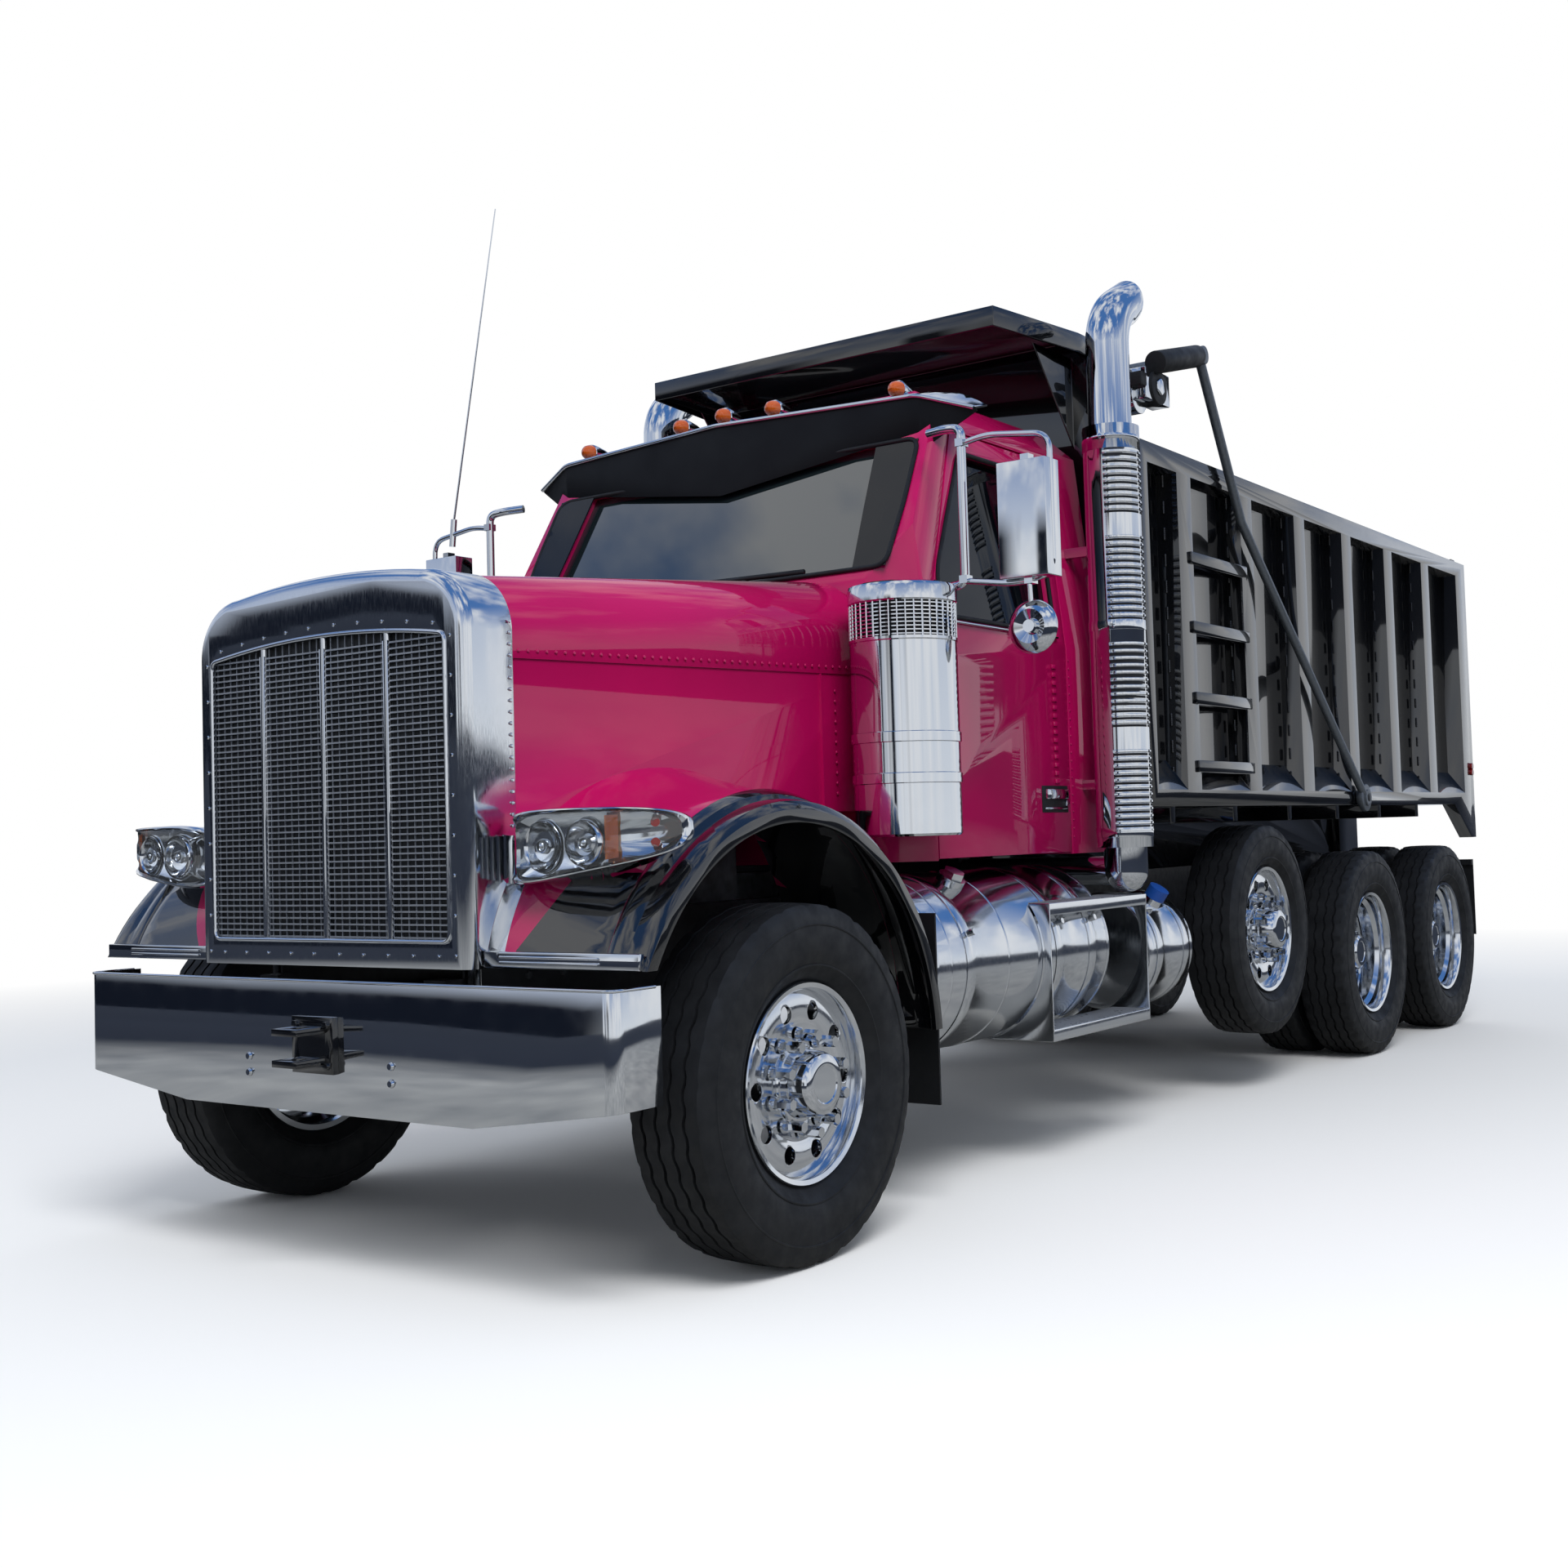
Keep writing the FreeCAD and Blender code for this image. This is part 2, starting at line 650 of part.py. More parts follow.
def make_knuckles():
    """A forked knuckle with its spindle and steering arm on each kingpin, and the tie rod."""
    z = FRONT_TYRE_R
    end_x = spindle_end(FRONT_RIM_X, FRONT_DISC_INSET)
    fork_x = KINGPIN_X + BEAM_W / 2 + CLEAR
    gap = BEAM_H / 2 + SEAT
    ear = (KNUCKLE_H - BEAM_H) / 2
    pieces = [box(fork_x, fork_x + KNUCKLE_W / 2, -KNUCKLE_W / 2, KNUCKLE_W / 2,
                  z - KNUCKLE_H / 2, z + KNUCKLE_H / 2)]
    for low in (z - gap - ear, z + gap):
        arm = box(KINGPIN_X, fork_x + OVER, -KNUCKLE_W / 2, KNUCKLE_W / 2, low, low + ear)
        boss = rod(V(KINGPIN_X, 0, low), V(KINGPIN_X, 0, low + ear), KNUCKLE_W / 2)
        pieces.append(arm.fuse(boss))
    pieces.append(across(fork_x, end_x, 0, z, SPINDLE_R))
    arm_z = z - gap - ear
    pieces.append(box(KINGPIN_X - KNUCKLE_W / 4, KINGPIN_X + KNUCKLE_W / 4, 0,
                      STEER_ARM + TIE_R, arm_z, arm_z + ear))
    eye_low = arm_z - SEAT - TIE_EYE_H
    pieces.append(rod(V(KINGPIN_X, STEER_ARM, eye_low - CLEAR / 2), V(KINGPIN_X, STEER_ARM, arm_z + OVER),
                      TIE_PIN_R))
    knuckle = fused(*pieces)
    hole = rod(V(KINGPIN_X, 0, z - KNUCKLE_H), V(KINGPIN_X, 0, z + KNUCKLE_H),
               KINGPIN_R + RUN)
    knuckle = knuckle.cut(hole)
    tie_z = eye_low + TIE_EYE_H / 2
    link = across(-KINGPIN_X + TIE_R, KINGPIN_X - TIE_R, STEER_ARM, tie_z, TIE_R)
    for x in (-KINGPIN_X, KINGPIN_X):
        link = link.fuse(rod(V(x, STEER_ARM, eye_low), V(x, STEER_ARM, eye_low + TIE_EYE_H), TIE_EYE_R))
    for x in (-KINGPIN_X, KINGPIN_X):
        link = link.cut(rod(V(x, STEER_ARM, eye_low - TIE_EYE_H), V(x, STEER_ARM, eye_low + TIE_EYE_H * 2),
                            TIE_PIN_R + RUN))
    save("knuckle_left", knuckle)
    save("knuckle_right", mirrored(knuckle))
    save("tie_rod", link)


def drive_axle(y):
    """One driven axle: tube, differential housing and spindles."""
    z = TWIN_TYRE_R
    end_x = spindle_end(TWIN_RIM_X, TWIN_DISC_INSET)
    tube_x = end_x - HUB_REACH - 3 * DISC_WALL
    diff = turned([(-DIFF_W / 2, 0), (-DIFF_W / 2, DIFF_R * DIFF_SIDE_SHARE), (0, DIFF_R),
                   (DIFF_W / 2, DIFF_R * DIFF_SIDE_SHARE), (DIFF_W / 2, 0)], y, z)
    return fused(across(-tube_x, tube_x, y, z, AXLE_TUBE_R),
                 across(-end_x, end_x, y, z, SPINDLE_R), diff)


def make_tandem():
    """Both driven axles, the walking springs between them, and the drive shaft."""
    rear_y = TANDEM_Y + TANDEM_SPREAD
    z = TWIN_TYRE_R
    rail_bottom = RAIL_TOP - RAIL_H
    middle_y = TANDEM_Y + TANDEM_SPREAD / 2
    pieces = [drive_axle(TANDEM_Y), drive_axle(rear_y)]
    for side in (1, -1):
        x = side * (SPRING_X + SPRING_W / 2)
        low, high = x - SPRING_W / 2, x + SPRING_W / 2
        bar_z = z + AXLE_TUBE_R
        pieces.append(side_plate([
            (TANDEM_Y - SPRING_W, z), (rear_y + SPRING_W, z), (rear_y + SPRING_W, bar_z),
            (middle_y + SPRING_W, rail_bottom - SEAT), (middle_y - SPRING_W, rail_bottom - SEAT),
            (TANDEM_Y - SPRING_W, bar_z)], low, high))
    joint_z = RAIL_TOP - CROSS_H - SHAFT_R * 2
    joint_y = CROSS_PLACES[3]
    places = [V(0, GEARBOX_REAR_Y + SEAT, SHAFT_Z), V(0, GEARBOX_REAR_Y + CROSS_W, SHAFT_Z),
              V(0, joint_y, joint_z), V(0, TANDEM_Y, z)]
    for start, end in zip(places, places[1:]):
        pieces += [rod(start, end, SHAFT_R), Part.makeSphere(SHAFT_R, end)]
    pieces.append(rod(V(0, TANDEM_Y, z), V(0, rear_y, z), SHAFT_R))
    save("tandem_axles", fused(*pieces))


def make_pusher():
    """The raised pusher axle, its trailing arms and lift air springs."""
    z = PUSHER_TYRE_R + PUSHER_LIFT
    end_x = spindle_end(PUSHER_RIM_X, FRONT_DISC_INSET)
    tube_x = end_x - HUB_REACH - 3 * DISC_WALL
    rail_bottom = RAIL_TOP - RAIL_H
    beam_z = rail_bottom - PUSHER_TUBE_R - SEAT
    arm_x = SPRING_X + SPRING_W
    pieces = [across(-arm_x - SPRING_W, arm_x + SPRING_W, PUSHER_Y, beam_z, PUSHER_TUBE_R)]
    for side in (1, -1):
        drop = front_plate([
            (side * arm_x, beam_z - PUSHER_TUBE_R), (side * (arm_x + SPRING_W), beam_z - PUSHER_TUBE_R),
            (side * tube_x, z - PUSHER_TUBE_R), (side * tube_x, z + PUSHER_TUBE_R),
            (side * (arm_x + SPRING_W), z + PUSHER_TUBE_R / 2),
            (side * arm_x, beam_z)], PUSHER_Y - PUSHER_TUBE_R, PUSHER_Y + PUSHER_TUBE_R)
        low, high = sorted((side * (tube_x - OVER), side * end_x))
        arm = side_plate([
            (PUSHER_Y, beam_z - PUSHER_TUBE_R), (PUSHER_Y - SPRING_HALF, rail_bottom - CROSS_H),
            (PUSHER_Y - SPRING_HALF, rail_bottom - SEAT), (PUSHER_Y - SPRING_HALF / 2, rail_bottom - SEAT),
            (PUSHER_Y, beam_z)], side * SPRING_X - SPRING_W / 4, side * SPRING_X + SPRING_W / 4)
        pieces += [drop, across(low, high, PUSHER_Y, z, SPINDLE_R), arm]
    save("pusher_axle", fused(*pieces))


def make_engine():
    """Engine and gearbox as one plain block at their real size and place, with the radiator."""
    block = box(-ENGINE_W / 2, ENGINE_W / 2, ENGINE_FRONT_Y, ENGINE_REAR_Y,
                RAIL_TOP + SEAT, ENGINE_TOP)
    gearbox = box(-GEARBOX_W / 2, GEARBOX_W / 2, CROSS_PLACES[0] + CROSS_W, GEARBOX_REAR_Y - CROSS_W,
                  ENGINE_BOTTOM + CROSS_W, GEARBOX_TOP)
    tail = rod(V(0, GEARBOX_REAR_Y - CROSS_W - OVER, SHAFT_Z), V(0, GEARBOX_REAR_Y, SHAFT_Z),
               COUPLER_R)
    engine = fused(block, gearbox, tail)
    save("engine_block", engine)
    half = RADIATOR_W / 2
    core = box(-half, half, RADIATOR_FRONT_Y, RADIATOR_FRONT_Y + RADIATOR_D,
               RAIL_TOP + SEAT, RADIATOR_TOP)
    save("radiator", core)


def cab_solid(inset):
    """The cab's outer form, or its hollow when it is drawn in by the wall thickness."""
    half = CAB_HALF - inset
    top_half = half - GREENHOUSE_INSET
    low, high = CAB_BOTTOM + inset, CAB_ROOF - inset
    front, back = CAB_FRONT_Y + inset, CAB_BACK_Y - inset
    crown = high - CAB_WALL
    side = side_plate([
        (front, low), (back, low), (back, crown - CAB_WALL), (back - CAB_WALL, high),
        (WINDSCREEN_TOP_Y + CAB_WALL + inset, high), (WINDSCREEN_TOP_Y + inset / 2, crown - CAB_WALL),
        (front, WINDSCREEN_BOTTOM)], -half, half)
    face = front_plate([
        (-half, low), (half, low), (half, CAB_BELT), (top_half, crown - CAB_WALL),
        (top_half - CAB_WALL * 2, high), (-top_half + CAB_WALL * 2, high),
        (-top_half, crown - CAB_WALL), (-half, CAB_BELT)], front - OVER, back + OVER)
    cowl = COWL_HALF - inset
    plan = plan_plate([
        (-half, back), (-half, COWL_BACK_Y), (-cowl, front), (cowl, front), (half, COWL_BACK_Y),
        (half, back)], low, high)
    return side.common(face).common(plan)


def door_outline(grow):
    """The door's outline in the side view, drawn out by the gap around it."""
    top = CAB_ROOF - CAB_WALL * 3
    slope_y = WINDSCREEN_TOP_Y + CAB_WALL * 2
    return [(DOOR_FRONT_Y - grow, CAB_BOTTOM - grow), (DOOR_REAR_Y + grow, CAB_BOTTOM - grow),
            (DOOR_REAR_Y + grow, top + grow), (slope_y - grow, top + grow),
            (DOOR_FRONT_Y - grow, CAB_BELT + CAB_WALL)]


def door_window():
    """The window opening in the door."""
    frame_w = DOOR_FRAME_W
    top = CAB_ROOF - CAB_WALL * 3 - frame_w
    slope_y = WINDSCREEN_TOP_Y + CAB_WALL * 2
    return [(DOOR_FRONT_Y + frame_w, CAB_BELT + CAB_WALL), (DOOR_REAR_Y - frame_w, CAB_BELT + CAB_WALL),
            (DOOR_REAR_Y - frame_w, top), (slope_y + frame_w / 2, top),
            (DOOR_FRONT_Y + frame_w, CAB_BELT + CAB_WALL * 4)]


def make_cab():
    """The hollow cab shell with its windscreen, rear window and door openings cut."""
    shell = cab_solid(0).cut(cab_solid(CAB_WALL))
    reach = CAB_HALF + OVER
    inner = CAB_HALF - GREENHOUSE_INSET - CAB_WALL * 2
    doors = side_plate(door_outline(DOOR_GAP), inner, reach)
    shell = shell.cut(doors).cut(mirrored(doors))
    screen_half = WINDSCREEN_HALF - CAB_WALL
    opening = front_plate([
        (-screen_half, WINDSCREEN_BOTTOM + CAB_WALL), (screen_half, WINDSCREEN_BOTTOM + CAB_WALL),
        (screen_half - CAB_WALL, CAB_ROOF - CAB_WALL * 4),
        (-screen_half + CAB_WALL, CAB_ROOF - CAB_WALL * 4)],
        CAB_FRONT_Y - OVER, WINDSCREEN_TOP_Y + CAB_WALL * 2)
    shell = shell.cut(opening)
    rear_half = screen_half * REAR_WINDOW_SHARE
    rear = box(-rear_half, rear_half, CAB_BACK_Y - CAB_WALL - OVER,
               CAB_BACK_Y + OVER, CAB_BELT + CAB_WALL, CAB_ROOF - REAR_WINDOW_DROP)
    shell = shell.cut(rear)
    mount_half = RAIL_X - RAIL_WALL
    for y in (CAB_FRONT_Y + CAB_WALL * 3, CAB_BACK_Y - CAB_WALL * 3):
        for side in (1, -1):
            low, high = sorted((side * (mount_half - RAIL_FLANGE), side * mount_half))
            foot = box(low, high, y - CAB_WALL, y + CAB_WALL, RAIL_TOP + SEAT, CAB_BOTTOM + OVER)
            shell = shell.fuse(foot)
    for z in DOOR_HINGE_PLACES:
        knuckle = cab_hinge(z)
        shell = shell.fuse(knuckle).fuse(mirrored(knuckle))
    save("cab_shell", shell.removeSplitter())


def cab_hinge(z):
    """The cab's half of a door hinge: its pin and the two eyes that hold it."""
    x, y, half = DOOR_HINGE_X, DOOR_HINGE_Y, DOOR_BARREL_H / 2
    pin = rod(V(x, y, z - 2 * half), V(x, y, z + 2 * half), DOOR_PIN_R)
    pieces = []
    for low in (z - 2 * half, z + half + SEAT):
        high = low + half - SEAT
        web = box(x - CAB_WALL, x, y - DOOR_BARREL_R, y + DOOR_BARREL_R / 4, low, high)
        pieces += [rod(V(x, y, low), V(x, y, high), DOOR_BARREL_R), web]
    return fused(pin, *pieces)


def door_hinge(z):
    """The door's half of a hinge: a barrel on the pin, and its leaf on the door's face."""
    x, y, half = DOOR_HINGE_X, DOOR_HINGE_Y, DOOR_BARREL_H / 2
    barrel = rod(V(x, y, z - half), V(x, y, z + half), DOOR_BARREL_R)
    leaf = box(x - DOOR_BARREL_R / 2, x + DOOR_BARREL_R / 3, y, y + DOOR_LEAF, z - half, z + half)
    foot = box(CAB_HALF - OVER, x + DOOR_BARREL_R / 3, DOOR_FRONT_Y + OVER, y + DOOR_LEAF,
               z - half, z + half)
    bore = rod(V(x, y, z - 2 * half), V(x, y, z + 2 * half), DOOR_PIN_R + RUN)
    return fused(barrel, leaf, foot).cut(bore)


def make_cab_glass():
    """The windscreen panes and the rear window, set in the middle of the walls."""
    half = WINDSCREEN_HALF - CAB_WALL - SEAT
    low, high = WINDSCREEN_BOTTOM + CAB_WALL + SEAT, CAB_ROOF - CAB_WALL * 4 - SEAT
    rise = (CAB_ROOF - CAB_WALL * 2) - WINDSCREEN_BOTTOM
    run = WINDSCREEN_TOP_Y - CAB_FRONT_Y
    lean = run / rise

    def at(z):
        return CAB_FRONT_Y + CAB_WALL / 2 + (z - WINDSCREEN_BOTTOM) * lean
    pane = side_plate([(at(low), low), (at(low) + GLASS, low), (at(high) + GLASS, high),
                       (at(high), high)], -half, half)
    face = front_plate([(-half, low), (half, low), (half - CAB_WALL, high),
                        (-half + CAB_WALL, high)], CAB_FRONT_Y, CAB_BACK_Y)
    rear_half = (WINDSCREEN_HALF - CAB_WALL) * REAR_WINDOW_SHARE - SEAT
    rear = box(-rear_half, rear_half, CAB_BACK_Y - CAB_WALL / 2, CAB_BACK_Y - CAB_WALL / 2 + GLASS,
               CAB_BELT + CAB_WALL + SEAT, CAB_ROOF - REAR_WINDOW_DROP - SEAT)
    save("cab_glass", Part.makeCompound([pane.common(face), rear]))


def visor_section(x, lip_y, lip_z, low_z, back_z):
    """One section of the visor: back edge on the roof, lip, and lower edge, with its wall."""
    wall = VISOR_WALL
    return Part.makePolygon([
        V(x, VISOR_BACK_Y, back_z), V(x, lip_y, lip_z), V(x, lip_y + wall * 2, low_z),
        V(x, lip_y + wall * 3, low_z), V(x, lip_y + wall, lip_z - wall),
        V(x, VISOR_BACK_Y, back_z - wall), V(x, VISOR_BACK_Y, back_z)])


def make_visor():
    """The polished drop visor, pointed at its middle, and the marker lamps on its top."""
    side_y = (VISOR_NOSE_Y + VISOR_TIP_Y) / 2
    side_lip = (VISOR_LIP_Z + VISOR_TIP_Z) / 2 + VISOR_WALL * 4
    half = Part.makeLoft([
        visor_section(0, VISOR_NOSE_Y, VISOR_LIP_Z, VISOR_LOW_Z, CAB_ROOF + VISOR_RISE),
        visor_section(VISOR_SIDE_X, side_y, side_lip, VISOR_SIDE_LOW_Z,
                      CAB_ROOF + VISOR_RISE - VISOR_WALL * 2),
        visor_section(VISOR_HALF, VISOR_TIP_Y, VISOR_TIP_Z, VISOR_TIP_Z - VISOR_WALL * 2,
                      VISOR_TIP_Z + VISOR_WALL * 4)], True, True)
    visor = fused(half, mirrored(half))
    visor = visor.cut(cab_solid(-SEAT))
    save("sun_visor", visor)
    lamps = []
    for x in MARKER_PLACES:
        share = abs(x) / VISOR_SIDE_X
        y = VISOR_NOSE_Y + (side_y - VISOR_NOSE_Y) * share + MARKER_L
        z = VISOR_LIP_Z + (side_lip - VISOR_LIP_Z) * share + MARKER_R
        lamp = rod(V(x, y - MARKER_L / 2, z), V(x, y + MARKER_L, z), MARKER_R)
        foot = box(x - MARKER_R / 2, x + MARKER_R / 2, y, y + MARKER_L, z - MARKER_R * 2, z)
        lamps.append(lamp.fuse(foot))
    solid = Part.makeCompound(lamps)
    save("marker_lamps", solid.cut(grown_visor()).cut(cab_solid(-SEAT)))


def grown_visor():
    """The visor and the space below it, for what seats on its top."""
    side_y = (VISOR_NOSE_Y + VISOR_TIP_Y) / 2
    side_lip = (VISOR_LIP_Z + VISOR_TIP_Z) / 2 + VISOR_WALL * 4

    def section(x, lip_y, lip_z, back_z):
        return Part.makePolygon([
            V(x, VISOR_BACK_Y + MARKER_L, back_z + SEAT), V(x, VISOR_BACK_Y, back_z + SEAT),
            V(x, lip_y - SEAT, lip_z + SEAT), V(x, lip_y - SEAT, VISOR_LOW_Z),
            V(x, VISOR_BACK_Y + MARKER_L, VISOR_LOW_Z), V(x, VISOR_BACK_Y + MARKER_L, back_z + SEAT)])
    half = Part.makeLoft([
        section(0, VISOR_NOSE_Y, VISOR_LIP_Z, CAB_ROOF + VISOR_RISE),
        section(VISOR_SIDE_X, side_y, side_lip, CAB_ROOF + VISOR_RISE - VISOR_WALL * 2)], True, True)
    return half.fuse(mirrored(half))


def make_interior():
    """Seats, dash and steering wheel, which show through the glass."""
    floor = CAB_BOTTOM + CAB_WALL + SEAT
    seat_top = floor + SEAT_H
    pieces = []
    for x in (-SEAT_X, SEAT_X):
        base = box(x - SEAT_HALF, x + SEAT_HALF, SEAT_FRONT_Y, SEAT_BACK_Y, floor, seat_top)
        back = box(x - SEAT_HALF, x + SEAT_HALF, SEAT_BACK_Y - SEAT_PAD, SEAT_BACK_Y, seat_top - OVER,
                   seat_top + SEAT_BACK_H)
        pieces.append(rounded(fused(base, back), SEAT_PAD / 3, lambda m, a: abs(a.x) > ALONG_SHARE))
    dash_half = COWL_HALF - CAB_WALL - CLEAR
    dash = box(-dash_half, dash_half, CAB_FRONT_Y + CAB_WALL + SEAT, DASH_BACK_Y,
               floor + DASH_BOTTOM_H, floor + DASH_TOP_H)
    hub = V(SEAT_X, DASH_BACK_Y + HAND_WHEEL_REACH, floor + DASH_TOP_H - HAND_WHEEL_R / 4)
    lean = V(0, HAND_WHEEL_LEAN_SHARE, 1)
    rim = Part.makeTorus(HAND_WHEEL_R, HAND_WHEEL_RIM_R, hub, lean)
    foot = V(SEAT_X, DASH_BACK_Y - OVER, hub.z - HAND_WHEEL_REACH)
    pieces.append(fused(dash, rod(foot, hub, COLUMN_R)))
    spokes = [rod(hub, hub.add(V(math.sin(turn), 0, 0) * HAND_WHEEL_R), HAND_WHEEL_RIM_R)
              for turn in (math.pi / 2, -math.pi / 2)]
    pieces[-1] = fused(pieces[-1], rim, *spokes)
    save("cab_interior", Part.makeCompound(pieces))


def make_doors():
    """The doors, each as thick as the cab's wall, with their windows cut, and their glass."""
    outer = cab_solid(0)
    inner = cab_solid(DOOR_WALL)
    reach = CAB_HALF + OVER
    deep = CAB_HALF - GREENHOUSE_INSET - CAB_WALL * 2
    slab = side_plate(door_outline(0), deep, reach)
    floor_cut = box(0, CAB_HALF - DOOR_WALL, DOOR_FRONT_Y - OVER, DOOR_REAR_Y + OVER,
                    CAB_BOTTOM - OVER, CAB_BOTTOM + DOOR_WALL)
    door = outer.cut(inner).common(slab).cut(floor_cut)
    door = door.cut(side_plate(door_window(), deep - OVER, reach))
    cut_low = box(0, reach, DOOR_FRONT_Y - OVER, DOOR_REAR_Y + OVER, CAB_BOTTOM - OVER,
                  CAB_BOTTOM + DOOR_GAP)
    door = fused(door.cut(cut_low), *[door_hinge(z) for z in DOOR_HINGE_PLACES])
    pane_out = cab_solid(DOOR_WALL / 2)
    pane_in = cab_solid(DOOR_WALL / 2 + GLASS)
    grow = [(y, z) for y, z in door_window()]
    pane = pane_out.cut(pane_in).common(side_plate(grow, deep - OVER, reach))
    save("door_left", door)
    save("door_right", mirrored(door))
    save("door_glass_left", pane)
    save("door_glass_right", mirrored(pane))


def make_bumper():
    """The tapered, polished bumper with returned ends."""
    y0, y1 = BUMPER_Y, BUMPER_Y + BUMPER_RETURN
    face = front_plate([
        (-BUMPER_HALF, BUMPER_TOP), (-BUMPER_HALF, BUMPER_END_Z), (-BUMPER_FLAT_HALF, BUMPER_MID_Z),
        (BUMPER_FLAT_HALF, BUMPER_MID_Z), (BUMPER_HALF, BUMPER_END_Z), (BUMPER_HALF, BUMPER_TOP)],
        y0, y1)

    def upright(middle, along):
        return abs(along.z) > ALONG_SHARE and abs(middle.y - y0) < 1
    face = rounded(face, BUMPER_FOLD_R, upright)
    hollow_half = BUMPER_HALF - BUMPER_WALL
    hollow = front_plate([
        (-hollow_half, BUMPER_TOP + OVER), (-hollow_half, BUMPER_MID_Z - OVER),
        (hollow_half, BUMPER_MID_Z - OVER), (hollow_half, BUMPER_TOP + OVER)],
        y0 + BUMPER_WALL, y1 + OVER)
    hollow = rounded(hollow, BUMPER_FOLD_R - BUMPER_WALL,
                     lambda m, a: abs(a.z) > ALONG_SHARE and abs(m.y - y0 - BUMPER_WALL) < 1)
    bracket_y = RAIL_FRONT_Y - CROSS_W / 2 - SEAT
    pieces = [face.cut(hollow)]
    for side in (1, -1):
        low, high = sorted((side * (RAIL_X - RAIL_FLANGE), side * RAIL_X))
        pieces.append(box(low, high, y0 + BUMPER_WALL / 2, bracket_y,
                          BUMPER_MID_Z + CROSS_W, BUMPER_TOP - CROSS_W / 2))
        low, high = sorted((side * (RAIL_X - OVER), side * (RAIL_X + HOOD_LUG_W + 2 * CLEAR)))
        pieces.append(across(low, high, HOOD_PIVOT_Y, HOOD_PIVOT_Z, HOOD_PIN_R))
    save("bumper", fused(*pieces))


def make_coupling():
    """The tow coupling on the bumper: back plate, two ears bored for a tow pin, and its bolts."""
    half = COUPLING_W / 2
    back = BUMPER_Y - SEAT
    front = -FRONT_REACH
    low = COUPLING_Z - COUPLING_H / 2
    plate = box(-half, half, back - COUPLING_PLATE, back, low, low + COUPLING_H)
    ears = [box(-TOW_EAR_W / 2, TOW_EAR_W / 2, front, back - COUPLING_PLATE / 2, z, z + COUPLING_PLATE)
            for z in (COUPLING_Z - COUPLING_H / 3, COUPLING_Z + COUPLING_H / 3 - COUPLING_PLATE)]
    bore_y = front + TOW_EAR_W / 2
    bore = rod(V(0, bore_y, COUPLING_Z - COUPLING_H), V(0, bore_y, COUPLING_Z + COUPLING_H), TOW_BORE_R)
    bolts = [rod(V(x, back - COUPLING_PLATE - CLEAR, z), V(x, back - OVER, z), CLEAR)
             for x in (-half + 2 * CLEAR, half - 2 * CLEAR)
             for z in (low + 2 * CLEAR, low + COUPLING_H - 2 * CLEAR)]
    save("tow_coupling", fused(plate, *ears, *bolts).cut(bore))


def make_air_cleaners():
    """The air cleaner canisters with their caps and band clamps, on brackets to the cowl."""
    body = rod(V(CLEANER_X, CLEANER_Y, CLEANER_BOTTOM), V(CLEANER_X, CLEANER_Y, CLEANER_TOP),
               CLEANER_R - BAND_WALL)
    cap = rod(V(CLEANER_X, CLEANER_Y, CLEANER_TOP - CLEANER_CAP_H),
              V(CLEANER_X, CLEANER_Y, CLEANER_TOP), CLEANER_R)
    cap = rounded(cap, CLEAR, lambda m, a: m.z > CLEANER_TOP - 1)
    bands = [rod(V(CLEANER_X, CLEANER_Y, CLEANER_BOTTOM + rise),
                 V(CLEANER_X, CLEANER_Y, CLEANER_BOTTOM + rise + BAND_H), CLEANER_R)
             for rise in CLEANER_BAND_RISES]
    bracket = box(COWL_HALF - CAB_WALL * 2, CLEANER_X, CLEANER_Y + CLEANER_R / 2,
                  CAB_FRONT_Y - SEAT, CLEANER_BOTTOM + CLEANER_R, CLEANER_BOTTOM + CLEANER_R * 2)
    save("air_cleaners", pair(fused(body, cap, bracket, *bands)))


